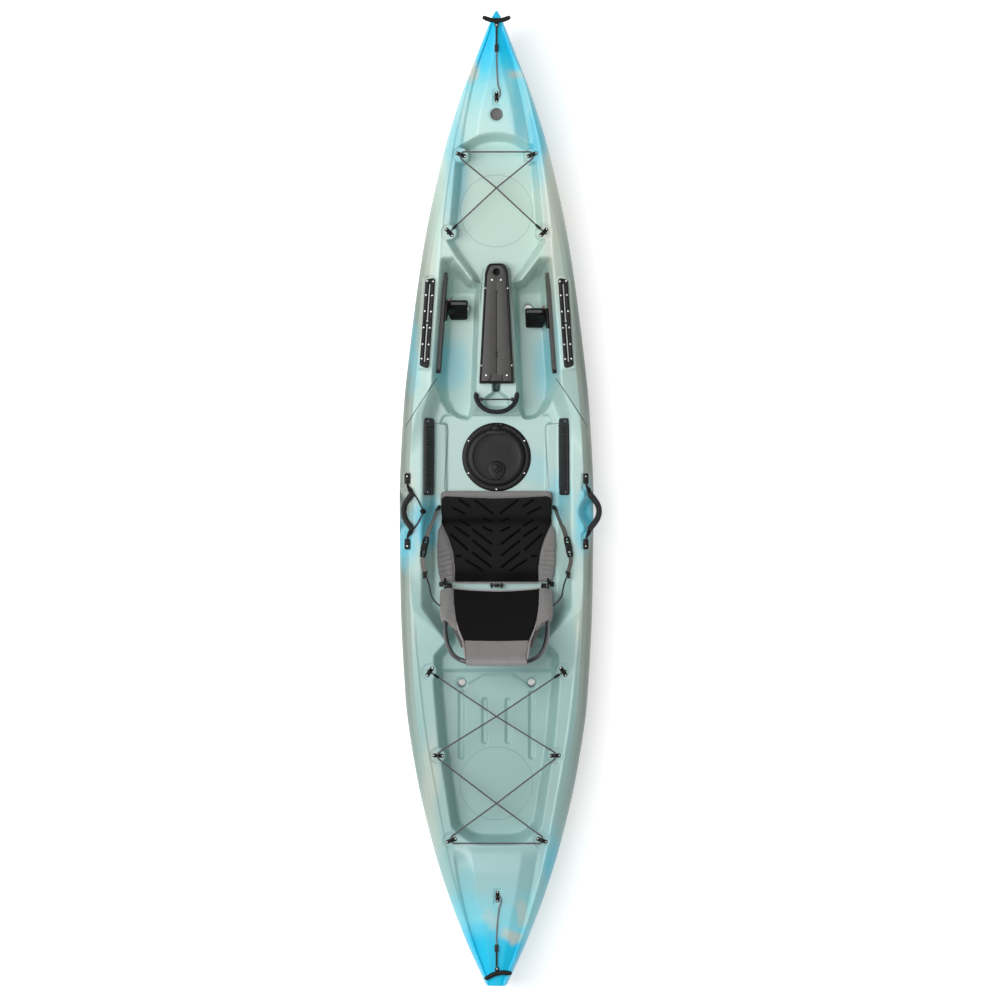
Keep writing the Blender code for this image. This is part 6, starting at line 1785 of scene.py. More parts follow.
@dataclass
class Rail:
    """An accessory rail on a gunwale: two runs of slot with an entry gap between them, and twelve screws."""

    side: Side
    height: float = 0.014
    slot: float = 0.0095
    undercut: float = 0.019
    entry: tuple[float, float] = (0.024, 0.0205)
    slant: float = 0.006
    screw_rows: tuple[float, ...] = (0.170, 0.113, 0.047, -0.019, -0.087, -0.146)

    def build(self) -> None:
        """Makes the rail and its screws."""
        sign = self.side.value
        middle = (RAIL_FRONT + RAIL_REAR) / 2
        along = (RAIL_FRONT - RAIL_REAR).normalized()
        length = (RAIL_FRONT - RAIL_REAR).length
        low = RAIL_SEAT + 0.0003
        turned = axes(
            (sign * middle.x, middle.y, 0.0), (sign * along.x, along.y, 0.0), (-along.y, sign * along.x, 0.0)
        )
        half_width = RAIL_WIDTH / 2
        slant = sign * self.slant
        outline = rounded([
            (-length / 2 + slant, -half_width, 0.013), (length / 2 - slant, -half_width, 0.013),
            (length / 2 + slant, half_width, 0.013), (-length / 2 - slant, half_width, 0.013),
        ], 6)
        cut = self.cross(length / 2 - 0.018, self.slot / 2, self.entry[0] / 2, self.entry[1] / 2)
        wide = self.cross(length / 2 - 0.020, self.undercut / 2, self.entry[0] / 2, self.entry[1] / 2)
        layers = [
            plate(outline, low, low + 0.0025),
            plate(outline, low + 0.0024, low + 0.0080, holes=[wide]),
            plate(outline, low + 0.0079, low + self.height, 0.0028, 3, holes=[cut]),
        ]
        whole = moved(merged(layers), turned)
        finished(f"rail_{self.side.hand}", whole, NYLON, nodes=[f"rail_{self.side.hand}"])
        strips = []
        for way in (1, -1):
            tip, end = way * 0.0045, way * (length / 2 - 0.022)
            neck = tip + way * 0.010
            outline = [
                (end, -0.0024), (end, 0.0024), (neck, 0.0024), (tip, 0.0052), (tip, -0.0052), (neck, -0.0024)
            ]
            strips.append(plate(outline, low + 0.0026, low + 0.0100, 0.0006, 1))
        strip = moved(merged(strips), turned)
        finished(f"rail_strip_{self.side.hand}", strip, ALUMINIUM)
        top = low + self.height - 0.0002
        spots = [turned @ flat_spot(x, y, top) for x in self.screw_rows for y in (0.0125, -0.0125)]
        finished(f"rail_screws_{self.side.hand}", screws(spots, 0.0042, 0.0018), STAINLESS)

    @staticmethod
    def cross(long: float, narrow: float, gap: float, wide: float) -> list[Vector]:
        """The slot's outline with the entry gap at its middle."""
        points = [
            (-long, -narrow), (-gap, -narrow), (-gap, -wide), (gap, -wide), (gap, -narrow), (long, -narrow),
            (long, narrow), (gap, narrow), (gap, wide), (-gap, wide), (-gap, narrow), (-long, narrow),
        ]
        return [Vector(p) for p in points]


def wall_frame(wall_x: Callable[[float, float], float], side: Side, y: float, z: float) -> Matrix:
    """The frame of a piece on a side wall: x along the wall, y up it and z out of it.

    Args:
        wall_x: Where the starboard wall stands at a distance along the boat and a height.
        side: The wall's side.
        y: The frame's place along the boat.
        z: Its height.

    Returns:
        The frame, mirrored where its z would point into the wall.
    """
    sign = side.value
    origin = Vector((sign * wall_x(y, z), y, z))
    along = Vector((sign * wall_x(y + 0.1, z), y + 0.1, z)) - origin
    up = Vector((sign * wall_x(y, z + 0.05), y, z + 0.05)) - origin
    matrix = axes(origin, along, up)
    if matrix.col[2].x * sign > 0:
        matrix = matrix @ Matrix.Scale(-1, 4, (0, 0, 1))
    return matrix


@dataclass
class FootBrace:
    """A toothed track on a footwell's outer wall, the pedal that slides on it and the lever that frees it."""

    side: Side
    pedal_y: float
    track_z: float = 0.215
    front_y: float = 0.928
    rear_y: float = 0.518
    pedal_x: float = 0.154
    pedal_size: tuple[float, float] = (0.076, 0.108)
    lean: float = 47.0
    wall: tuple[Point, Point] = ((0.225, 0.985, 0.0), (0.260, 0.490, 0.0))

    def wall_x(self, y: float, z: float) -> float:
        """Where the starboard footwell's outer wall stands."""
        (x0, y0, _), (x1, y1, _) = self.wall
        return x0 + (x1 - x0) * (y - y0) / (y1 - y0) - 0.034 * (0.300 - z) / 0.205

    def frame_at(self, y: float) -> Matrix:
        """A frame on the wall: x along the track to the bow, y up the wall and z out of it."""
        return wall_frame(self.wall_x, self.side, y, self.track_z)

    def build(self) -> None:
        """Makes the track, the pedal and the lever."""
        self.track()
        self.pedal()

    def rear_sign(self) -> int:
        """Which way the track's rear end lies along its own frame."""
        return -1 if self.frame_at(self.pedal_y).col[0].y > 0 else 1

    def track(self) -> None:
        """The track: a channel with teeth along both edges of its slot."""
        front = Vector((self.wall_x(self.front_y, self.track_z), self.front_y))
        rear = Vector((self.wall_x(self.rear_y, self.track_z), self.rear_y))
        length = (front - rear).length
        matrix = self.frame_at((self.front_y + self.rear_y) / 2)
        outline = rounded(rectangle(0.0, 0.0, length / 2, 0.017, 0.005), 5)
        slot = [Vector(p) for p in (
            (-length / 2 + 0.015, -0.005), (length / 2 - 0.015, -0.005), (length / 2 - 0.015, 0.005),
            (-length / 2 + 0.015, 0.005),
        )]
        under = [Vector(p) for p in (
            (-length / 2 + 0.017, -0.010), (length / 2 - 0.017, -0.010), (length / 2 - 0.017, 0.010),
            (-length / 2 + 0.017, 0.010),
        )]
        parts = [
            plate(outline, 0.0003, 0.0040), plate(outline, 0.0039, 0.0111, holes=[under]),
            plate(outline, 0.0110, 0.0152, 0.0018, 2, holes=[slot]),
        ]
        count = 24
        for i in range(count):
            x = -length / 2 + 0.024 + (length - 0.048) * i / (count - 1)
            for y in (0.0105, -0.0105):
                parts.append(box((0.0060, 0.0070, 0.0012), (x, y, 0.0157), 0.0004, 1))
        whole = moved(merged(parts), matrix)
        hand = self.side.hand
        finished(f"foot_track_{hand}", whole, GREY_NYLON, nodes=[f"foot_track_{hand}"])
        cap = box(
            (0.016, 0.0345, 0.0160), (self.rear_sign() * (length / 2 - 0.0080), 0.0, 0.0080), 0.0022, 2, matrix
        )
        finished(f"foot_track_cap_{hand}", cap, NYLON)
        ends = [matrix @ flat_spot(-self.rear_sign() * (length / 2 - 0.0072), 0.0, 0.0151)]
        ends.append(matrix @ flat_spot(self.rear_sign() * (length / 2 - 0.0072), 0.0, 0.0159))
        finished(f"foot_track_screws_{hand}", screws(ends, 0.0042), STAINLESS)

    def pedal(self) -> None:
        """The pedal: its shoe and carriage on the track, an arm, a ribbed plate with a tread, and the lever."""
        hand = self.side.hand
        sign = self.side.value
        local = self.frame_at(self.pedal_y)
        lean = math.radians(self.lean)
        centre = Vector((sign * self.pedal_x, self.pedal_y, self.track_z - 0.022))
        tilted = axes(centre, (1.0, 0.0, 0.0), (0.0, math.cos(lean), math.sin(lean)))
        wide, long = self.pedal_size
        parts = [
            box((0.070, 0.0190, 0.0058), (0.0, 0.0, 0.0075), 0.001, 2, local),
            box((0.060, 0.0090, 0.0120), (0.0, 0.0, 0.0135), 0.0, 2, local),
            box((0.082, 0.0340, 0.0100), (0.0, 0.0, 0.0218), 0.0025, 3, local),
        ]
        reach = self.wall_x(self.pedal_y, self.track_z) - 0.0300 - self.pedal_x
        corners = [
            (-wide / 2 + 0.004, -long / 2, 0.010), (wide / 2 - 0.004, -long / 2, 0.010), (reach, -0.026, 0.006),
            (reach, long / 2, 0.008), (-wide / 2, long / 2, 0.012),
        ]
        face = plate(
            rounded([(sign * x, y, r) for x, y, r in corners[::sign]], 6), -0.0040, 0.0026, 0.0022, 3
        )
        parts.append(moved(face, tilted))
        for k in range(6):
            y = -long / 2 + 0.016 + k * 0.0128
            parts.append(box((wide - 0.016, 0.0056, 0.0030), (0.0, y, 0.0032), 0.0012, 2, tilted))
        arm_end = self.wall_x(self.pedal_y, self.track_z) - 0.0235
        arm = [
            centre + Vector((sign * 0.020, 0.0, 0.0)),
            Vector((sign * arm_end, self.pedal_y, self.track_z - 0.006))
        ]
        section = [(-0.018, -0.005), (-0.016, -0.007), (0.016, -0.007), (0.018, -0.005), (0.018, 0.005),
                   (0.016, 0.007), (-0.016, 0.007), (-0.018, 0.005)]
        parts.append(swept(arm, section, up=(0.0, -math.sin(lean), math.cos(lean))))
        finished(f"foot_pedal_{hand}", merged(parts), NYLON, f"foot_pedal_{hand}", [f"foot_pedal_{hand}"])
        strip = plate(rounded([
            (-wide / 2 + 0.006, long / 2 - 0.0190, 0.003), (wide / 2 - 0.006, long / 2 - 0.0190, 0.003),
            (wide / 2 - 0.006, long / 2 - 0.0050, 0.005), (-wide / 2 + 0.006, long / 2 - 0.0050, 0.005),
        ], 4), 0.0026, 0.0042, 0.0010)
        finished(f"foot_pedal_tread_{hand}", moved(strip, tilted), GREY_RUBBER, f"foot_pedal_{hand}")
        lever = local @ Matrix.Translation((0.0, 0.0, 0.0274))
        tab = plate(rounded([
            (0.0270, -0.0170, 0.0015), (0.0530, -0.0175, 0.003), (0.0530, -0.0085, 0.003),
            (0.0270, -0.0090, 0.0015),
        ], 4), 0.0, 0.0050, 0.0014, 3)
        ridges = [
            box((0.0016, 0.0070, 0.0010), (x, -0.0130, 0.0052), 0.0003, 1) for x in (0.042, 0.0455, 0.049)
        ]
        whole = moved(merged([tab] + ridges), lever)
        finished(f"foot_lever_{hand}", whole, RED_NYLON, f"foot_lever_{hand}", [f"foot_lever_{hand}"])


@dataclass
class SidePad:
    """A ribbed rubber pad on the cockpit's side wall."""

    side: Side
    front_y: float = 0.334
    rear_y: float = 0.020
    z: float = 0.217
    half_height: float = 0.043
    thick: float = 0.015
    ribs: int = 22

    def wall_x(self, y: float, z: float) -> float:
        """Where the cockpit's starboard wall stands."""
        lip = 0.3005 + (0.3045 - 0.3005) * (y - 0.345) / (-0.440 - 0.345)
        return lip - 0.043 * (0.268 - z) / 0.106

    def build(self) -> None:
        """Makes the pad, its ribs and its two screws."""
        middle = (self.front_y + self.rear_y) / 2
        long = (self.front_y - self.rear_y) / 2
        matrix = wall_frame(self.wall_x, self.side, middle, self.z)
        tall = self.half_height
        outline = rounded(rectangle(0.0, 0.0, long, tall, 0.014), 6)
        parts = [plate(outline, 0.0004, self.thick - 0.0042, 0.003, 3)]
        pitch = (2 * long - 0.052) / self.ribs
        for i in range(self.ribs):
            x = -long + 0.026 + pitch * (i + 0.5)
            parts.append(
                box((pitch * 0.70, 2 * tall - 0.010, 0.0062), (x, 0.0, self.thick - 0.0034), 0.0016, 2)
            )
        whole = moved(merged(parts), matrix)
        hand = self.side.hand
        finished(f"side_pad_{hand}", whole, RUBBER, nodes=[f"side_pad_{hand}"])
        spots = [matrix @ flat_spot(s * (long - 0.0125), 0.026, self.thick - 0.0043) for s in (1, -1)]
        finished(f"side_pad_screws_{hand}", screws(spots, 0.0040), STAINLESS)


@dataclass
class CarryHandle:
    """A carry handle: two mounts, webbing through them, and a ribbed grip that hangs between."""

    side: Side
    radius: float = 0.0125
    pivot_z: float = 0.2668
    lean: float = 0.0
    line: tuple[Point, ...] = ()

    def path(self) -> list[Vector]:
        """The handle's line from its rear mount to its front one."""
        lean = math.radians(self.lean)
        points = []
        for y, reach, rise in self.line:
            x = MOUNT_X + reach * math.cos(lean) + rise * math.sin(lean)
            z = self.pivot_z - reach * math.sin(lean) + rise * math.cos(lean)
            points.append(Vector((self.side.value * x, y, z)))
        rear = [Vector((p.x, 2 * self.line[0][0] - p.y, p.z)) for p in points[1:]]
        return rear[::-1] + points

    def build(self) -> None:
        """Makes the mounts, the webbing and the grip."""
        hand = self.side.hand
        body = f"carry_handle_{hand}"
        for key, y in zip(("front", "rear"), MOUNT_Y):
            self.mount(key, y)
        points = self.path()
        lean = math.radians(self.lean)
        up = Vector((self.side.value * math.sin(lean), 0.0, math.cos(lean)))
        middle = len(points) // 2
        smooth = flowing(points[middle - 4 : middle + 5], 0.0035)
        ribs, scales = ribbed(smooth, 0.0074, 0.17, 0.74)
        grip = swept(ribs, circle(self.radius, 20), up=up, scales=scales)
        finished(f"carry_grip_{hand}", grip, RUBBER, body, [f"carry_grip_{hand}"], 50.0)
        ends = []
        for tail in (points[: middle - 2], points[middle + 3 :][::-1]):
            line = flowing(tail, 0.004)
            away = [abs(p.y - sum(MOUNT_Y) / 2) for p in line]
            widths = [0.22 + 0.78 * min(1.0, max(0.0, (0.112 - d) / 0.024)) for d in away]
            ends.append(swept(line, strap(0.0185, 0.0028), up=up, scales=[(w, 0.8 + 0.2 * w) for w in widths]))
        finished(f"carry_strap_{hand}", merged(ends), BLACK_WEBBING, body, [f"carry_strap_{hand}"])

    def mount(self, key: str, y: float) -> None:
        """A mount: a low bridge over the webbing, with a screw through it."""
        hand = self.side.hand
        x = self.side.value * MOUNT_X
        low = MOUNT_SEAT + 0.0003
        outline = rounded(rectangle(x, y, 0.0112, 0.0215, 0.0065), 6)
        outer = -1 if y > 0 else 1
        parts = [plate(outline, low, low + 0.0020)]
        parts.append(plate(outline, low + 0.0068, low + 0.0098, 0.0022, 3))
        parts.append(box((0.0220, 0.0180, 0.0052), (x, y - outer * 0.0110, low + 0.0044), 0.0005))
        for s in (1, -1):
            parts.append(box((0.0014, 0.0360, 0.0052), (x + s * 0.0104, y, low + 0.0044)))
        finished(f"carry_mount_{hand}_{key}", merged(parts), NYLON, nodes=[f"carry_mount_{hand}_{key}"])
        spot = flat_spot(x, y - outer * 0.0085, low + 0.0097)
        finished(f"carry_mount_screw_{hand}_{key}", screws([spot], 0.0034, 0.0014), STAINLESS)


@dataclass
class CentreHandle:
    """The ribbed bow-shaped handle on its rod behind the console."""

    rod: tuple[float, float, float] = (0.410, 0.2475, 0.003)
    half: tuple[Point, ...] = (
        (0.0, 0.358, 0.2665), (0.030, 0.362, 0.2660), (0.056, 0.376, 0.2620), (0.074, 0.395, 0.2550),
        (0.081, 0.410, 0.2515), (0.083, 0.426, 0.2585), (0.084, 0.436, 0.2680),
    )
    radius: float = 0.0100

    def build(self) -> None:
        """Makes the rod on its feet and the grip."""
        y, z, radius = self.rod
        parts = [swept([(-0.0895, y, z), (0.0, y, z), (0.0895, y, z)], circle(radius, 16))]
        for side in (1, -1):
            parts.append(box((0.012, 0.016, 0.0135), (side * 0.0640, y, 0.2363 + 0.00675), 0.0015))
        finished("centre_rod", merged(parts), BLACK_STEEL, nodes=["centre_rod"])
        path = [Vector((-x, v, w)) for x, v, w in self.half[:0:-1]] + [Vector(p) for p in self.half]
        ribs, scales = ribbed(flowing(path, 0.004), 0.0074, 0.28, 0.60)
        grip = swept(ribs, circle(self.radius, 20), scales=scales)
        finished("centre_grip", grip, RUBBER, "centre_handle", ["centre_grip"], 50.0)


@dataclass
class EndToggle:
    """A T-handle on a rope at one end, its sleeve, and the shock cord that runs back to a pad eye."""

    hull: Hull
    end: str
    sign: int
    sleeve: tuple[float, float]
    stem_y: float
    grip_y: float
    sweep: float
    yaw: float
    eye_x: float
    eye_y: float
    rope_radius: float = 0.004
    cord_radius: float = 0.003
    sleeve_radius: float = 0.008
    hole_z: float = 0.0075

    def build(self) -> None:
        """Makes the toggle, its rope, the sleeve, the cord and the pad eye."""
        hull, sign = self.hull, self.sign
        inner, face = self.sleeve
        level = hull.centre_height(inner) + 0.0016 if self.end == "stern" else hull.centre_height(face) + 0.0012
        sleeve_z = level + self.sleeve_radius
        grip_z = max(hull.centre_height(self.grip_y), hull.centre_height(self.stem_y)) + 0.0112
        turn = (
            Matrix.Translation((0.0, self.stem_y, 0.0)) @ Matrix.Rotation(
                math.radians(self.yaw) * -sign, 4, "Z"
            )
            @ Matrix.Translation((0.0, -self.stem_y, 0.0))
        )
        body = f"{self.end}_toggle"
        self.toggle(grip_z, turn, body)
        rope_z = grip_z - 0.0028
        rope = flowing([
            (0.0, face + sign * 0.0004, sleeve_z),
            (0.0, face + sign * 0.020, sleeve_z - 0.35 * (sleeve_z - rope_z)),
            (0.0, face + sign * 0.045, rope_z + 0.0006),
            (0.0, self.stem_y - sign * (0.0008 + 0.0002 * self.yaw), rope_z),
        ], 0.0045)
        tube = swept(rope, circle(self.rope_radius, 14))
        piece = finished(f"{self.end}_rope", tube, ROPE, body, [f"{self.end}_rope"], 80.0)
        self.lashing(sleeve_z)

    def toggle(self, grip_z: float, turn: Matrix, body: str) -> None:
        """The T-handle: a bar with swept-up ends, a moulded stem and a screw where they meet."""
        sign = self.sign
        half = [(0.018, 0.0, 0.0), (0.040, 0.006, 0.001), (0.0555, self.sweep, 0.004)]
        bar = [Vector((-x, self.grip_y + sign * y, grip_z + z)) for x, y, z in half[::-1]]
        bar += [Vector((x, self.grip_y + sign * y, grip_z + z)) for x, y, z in half]
        smooth = flowing(bar, 0.005)
        count = len(smooth)
        scales = []
        for i in range(count):
            near = min(i, count - 1 - i)
            scales.append((0.66, 0.84, 0.95)[near] if near < 3 else 1.0)
        parts = [swept(smooth, circle(0.0095, 24, 0.82), scales=scales)]
        stem = self.stem_y
        wide = 0.0075
        outline = rounded([
            (-wide, min(stem, self.grip_y), 0.003), (wide, min(stem, self.grip_y), 0.003),
            (wide * 1.3, max(stem, self.grip_y), 0.002), (-wide * 1.3, max(stem, self.grip_y), 0.002),
        ] if sign > 0 else [
            (-wide * 1.3, min(stem, self.grip_y), 0.002), (wide * 1.3, min(stem, self.grip_y), 0.002),
            (wide, max(stem, self.grip_y), 0.003), (-wide, max(stem, self.grip_y), 0.003),
        ], 4)
        parts.append(plate(outline, grip_z - 0.0088, grip_z + 0.0040, 0.0026, 3))
        whole = moved(merged(parts), turn)
        finished(f"{self.end}_toggle", whole, NYLON, body, [f"{self.end}_toggle"], 50.0)
        spot = turn @ flat_spot(0.0, stem + sign * 0.0060, grip_z + 0.0039)
        finished(f"{self.end}_toggle_screw", screws([spot], 0.0040, 0.0016), STAINLESS, body)

    def lashing(self, sleeve_z: float) -> None:
        """The sleeve, the shock cord through the pad eye, and the pad eye."""
        sign = self.sign
        inner, face = self.sleeve
        eye = self.hull.deck_frame(self.eye_x, self.eye_y)
        route = [(0.0060, 0.046), (0.0128, 0.026), (0.0145, 0.009), (0.0085, 0.0), (-0.0110, 0.0)]
        through = [eye @ Vector((u, sign * v, self.hole_z)) for u, v in route]
        leaving = inner - sign * 0.040
        line = [
            Vector((0.0, inner + sign * 0.004, sleeve_z)),
            Vector((0.0, leaving, self.hull.centre_height(leaving) + 0.0050)),
        ] + through
        path = flowing(line, 0.004)
        tube = swept(path, circle(self.cord_radius, 12))
        piece = finished(f"{self.end}_bungee", tube, GREY_CORD, nodes=[f"{self.end}_bungee"], smooth_angle=80.0)
        tube = sleeve([Vector((0.0, inner, sleeve_z)), Vector((0.0, (inner + face) / 2, sleeve_z)),
                       Vector((0.0, face, sleeve_z))], self.sleeve_radius)
        finished(f"{self.end}_sleeve", tube, RUBBER, nodes=[f"{self.end}_bungee"], smooth_angle=60.0)
        turned = eye @ Matrix.Rotation(math.radians(90), 4, "Z")
        pad_eye(f"{self.end}_pad_eye", turned)


def pad_eye(name: str, matrix: Matrix) -> None:
    """A pad eye: a base with a screw at each end, and an arch with its hole along the frame's y.

    Args:
        name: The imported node's name, which the piece keeps.
        matrix: The frame of its base, with z out of the deck.
    """
    base = plate(rounded(rectangle(0.0, 0.0, 0.023, 0.008, 0.0072), 6), 0.0003, 0.0034, 0.0014, 3)
    arch_line = flowing([
        (-0.0138, 0.0, 0.0018), (-0.0112, 0.0, 0.0065), (-0.0068, 0.0, 0.0115), (0.0, 0.0, 0.0134),
        (0.0068, 0.0, 0.0115), (0.0112, 0.0, 0.0065), (0.0138, 0.0, 0.0018),
    ], 0.0026)
    section = [
        (-0.0048, -0.0014), (-0.0040, -0.0021), (0.0040, -0.0021), (0.0048, -0.0014), (0.0048, 0.0014),
        (0.0040, 0.0021), (-0.0040, 0.0021), (-0.0048, 0.0014),
    ]
    arch = swept(arch_line, [(v, u) for u, v in section], up=(0.0, 1.0, 0.0))
    whole = moved(merged([base, arch]), matrix)
    finished(name, whole, NYLON, nodes=[name])
    spots = [matrix @ flat_spot(s * 0.0180, 0.0, 0.0033) for s in (1, -1)]
    finished(f"{name}_screws", screws(spots, 0.0036, 0.0013), STAINLESS)


@dataclass
class LacedCord:
    """A shock cord from a hook at its first pad eye, through the eyes between, to a hook at its last."""

    hull: Hull
    name: str
    keys: tuple[str, ...]
    lifts: tuple[tuple[float, float] | None, ...]
    radius: float = 0.003
    hole_z: float = 0.0075
    reach: float = 0.0445

    def eye(self, key: str) -> Vector:
        """A pad eye's place on its seat."""
        end, row, hand = key.split("_")
        x, y = EYE_SEATS[f"{end}_{row}"]
        height = self.hull.eye_seat_height(f"{end}_{row}")
        return Vector(((1 if hand == "right" else -1) * x, y, height))

    def build(self) -> None:
        """Makes the cord, its pad eyes and its hooks."""
        eyes = [self.eye(key) for key in self.keys]
        runs = [Vector(((b - a).x, (b - a).y, 0.0)).normalized() for a, b in zip(eyes, eyes[1:])]
        lift = Vector((0.0, 0.0, self.hole_z))
        path = [eyes[0] + runs[0] * self.reach + lift]
        for i, eye in enumerate(eyes):
            hole = eye + lift + Vector((0.0, 0.0, 0.0003))
            if i in (0, len(eyes) - 1):
                through = runs[0] if i == 0 else runs[-1]
            else:
                through = (runs[i - 1] + runs[i]).normalized()
                into = (runs[i - 1] + through).normalized()
                out = (runs[i] + through).normalized()
                near = [hole - through * 0.0065, hole + through * 0.0065]
                bend = [near[0] - into * 0.0095, near[1] + out * 0.0095]
                far = [bend[0] - runs[i - 1] * 0.016, bend[1] + runs[i] * 0.016]
                path += flowing([far[0], bend[0], near[0], near[1], bend[1], far[1]], 0.0035)
            pad_eye(f"pad_eye_{self.keys[i]}", axes(eye, (through.y, -through.x, 0.0), through))
            if i < len(eyes) - 1 and self.lifts[i]:
                share, rise = self.lifts[i]
                path.append(eye.lerp(eyes[i + 1], share) + Vector((0.0, 0.0, self.hole_z + rise)))
        path.append(eyes[-1] - runs[-1] * self.reach + lift)
        fine = [path[0]]
        for a, b in zip(path, path[1:]):
            steps = max(1, round((b - a).length / 0.02))
            fine += [a.lerp(b, (k + 1) / steps) for k in range(steps)]
        tube = swept(fine, circle(self.radius, 12))
        piece = finished(self.name, tube, SHOCK_CORD, nodes=[self.name], smooth_angle=80.0)
        hooks = [self.hook(self.keys[0], eyes[0], runs[0]), self.hook(self.keys[-1], eyes[-1], -runs[-1])]

    def hook(self, key: str, eye: Vector, away: Vector) -> bpy.types.Object:
        """A hook: a ribbed barrel on the cord's end, and a wire bent under and back over the arch."""
        line = [
            (0.0240, 0.0080), (0.0120, 0.0080), (-0.0050, 0.0078), (-0.0105, 0.0105), (-0.0115, 0.0160),
            (-0.0070, 0.0205), (0.0020, 0.0210), (0.0070, 0.0200),
        ]
        wire = flowing([eye + away * along + Vector((0.0, 0.0, up)) for along, up in line], 0.003)
        parts = [swept(wire, circle(0.0021, 12), up=(away.y, -away.x, 0.0))]
        centre = eye + Vector((0.0, 0.0, 0.0080))
        reaches = (
            0.0200, 0.0212, 0.0235, 0.0270, 0.0280, 0.0310, 0.0320, 0.0350, 0.0360, 0.0400, 0.0430, 0.0442
        )
        widths = (0.60, 0.86, 1.0, 1.0, 0.84, 0.84, 1.0, 1.0, 0.84, 0.92, 0.92, 0.70)
        barrel = [centre + away * reach for reach in reaches]
        parts.append(swept(barrel, circle(0.0058, 18), scales=widths))
        return finished(f"hook_{key}", merged(parts), NYLON, nodes=[f"hook_{key}"], smooth_angle=50.0)


@dataclass
class PaddleKeeper:
    """A short shock cord with a ball on it, which holds a paddle at the port side."""

    z: float = 0.2674

    def build(self) -> None:
        """Makes the cord, its two end studs and the ball."""
        z = self.z
        line = flowing([
            (-0.3430, 0.030, z), (-0.331, 0.018, z + 0.001), (-0.312, -0.016, z + 0.006),
            (-0.300, -0.046, z + 0.009),
            (-0.312, -0.078, z + 0.006), (-0.331, -0.110, z + 0.001), (-0.3430, -0.122, z),
        ], 0.006)
        radius = 0.0030
        cord = finished(
            "paddle_keeper", swept(line, circle(radius, 12)), ROPE, nodes=["paddle_keeper"], smooth_angle=80.0
        )
        studs = []
        for y in (0.030, -0.122):
            stud = [
                (0.0, z - 0.0028), (0.0064, z - 0.0028), (0.0068, z - 0.001), (0.0055, z + 0.0034),
                (0.0, z + 0.0044)
            ]
            studs.append(spun(stud, 24, flat_spot(-0.3430, y, 0.0), False))
        finished("paddle_keeper_studs", merged(studs), NYLON, nodes=["paddle_keeper"], smooth_angle=60.0)
        ball = [
            (0.0, -0.0118), (0.0050, -0.0108), (0.0090, -0.0078), (0.0114, -0.0036), (0.0119, -0.0008),
            (0.0114, -0.0004), (0.0114, 0.0004), (0.0119, 0.0008), (0.0114, 0.0036), (0.0090, 0.0078),
            (0.0050, 0.0108), (0.0, 0.0118),
        ]
        turn = axes((-0.2985, -0.046, z + 0.0105), (1.0, 0.0, 0.0), (0.0, 0.0, 1.0))
        stop = finished(
            "paddle_keeper_ball", spun(ball, 32, turn, False), NYLON, nodes=["paddle_keeper"], smooth_angle=60.0
        )


@dataclass
class DeckBadge:
    """The plain round badge on the bow deck: a ring round a sunk disc."""

    hull: Hull
    radius: float = 0.025

    def build(self) -> None:
        """Makes the badge."""
        profile = [
            (0.0, 0.0003), (self.radius, 0.0003), (self.radius, 0.0018), (0.0243, 0.0025), (0.0215, 0.0026),
            (0.0203, 0.0024), (0.0198, 0.0014), (0.0, 0.0013),
        ]
        badge = spun(profile, 56, self.hull.deck_frame(0.0, BADGE_Y), False)
        finished("deck_badge", badge, BADGE, nodes=["deck_badge"])


# Seat: soft pieces are sewn flat, blown up by a cloth simulation, and then laid on their frames

Shaper = Callable[[np.ndarray], np.ndarray]


def smooth_step(values: np.ndarray, low: float, high: float) -> np.ndarray:
    """Rises smoothly from 0 at low to 1 at high, or falls where low is the larger."""
    t = np.clip((values - low) / (high - low), 0.0, 1.0)
    return t * t * (3 - 2 * t)


def noise_at(points: np.ndarray, scale: float, seed: float) -> np.ndarray:
    """Smooth noise from -1 to 1 at each point.

    Args:
        points: Rows of x, y and z.
        scale: Features to the metre.
        seed: An offset that gives another pattern.

    Returns:
        One value for each point.
    """
    shift = Vector((seed * 3.1, seed * 1.7, seed * 0.7))
    return np.array([noise.noise(Vector(p) * scale + shift) for p in points])


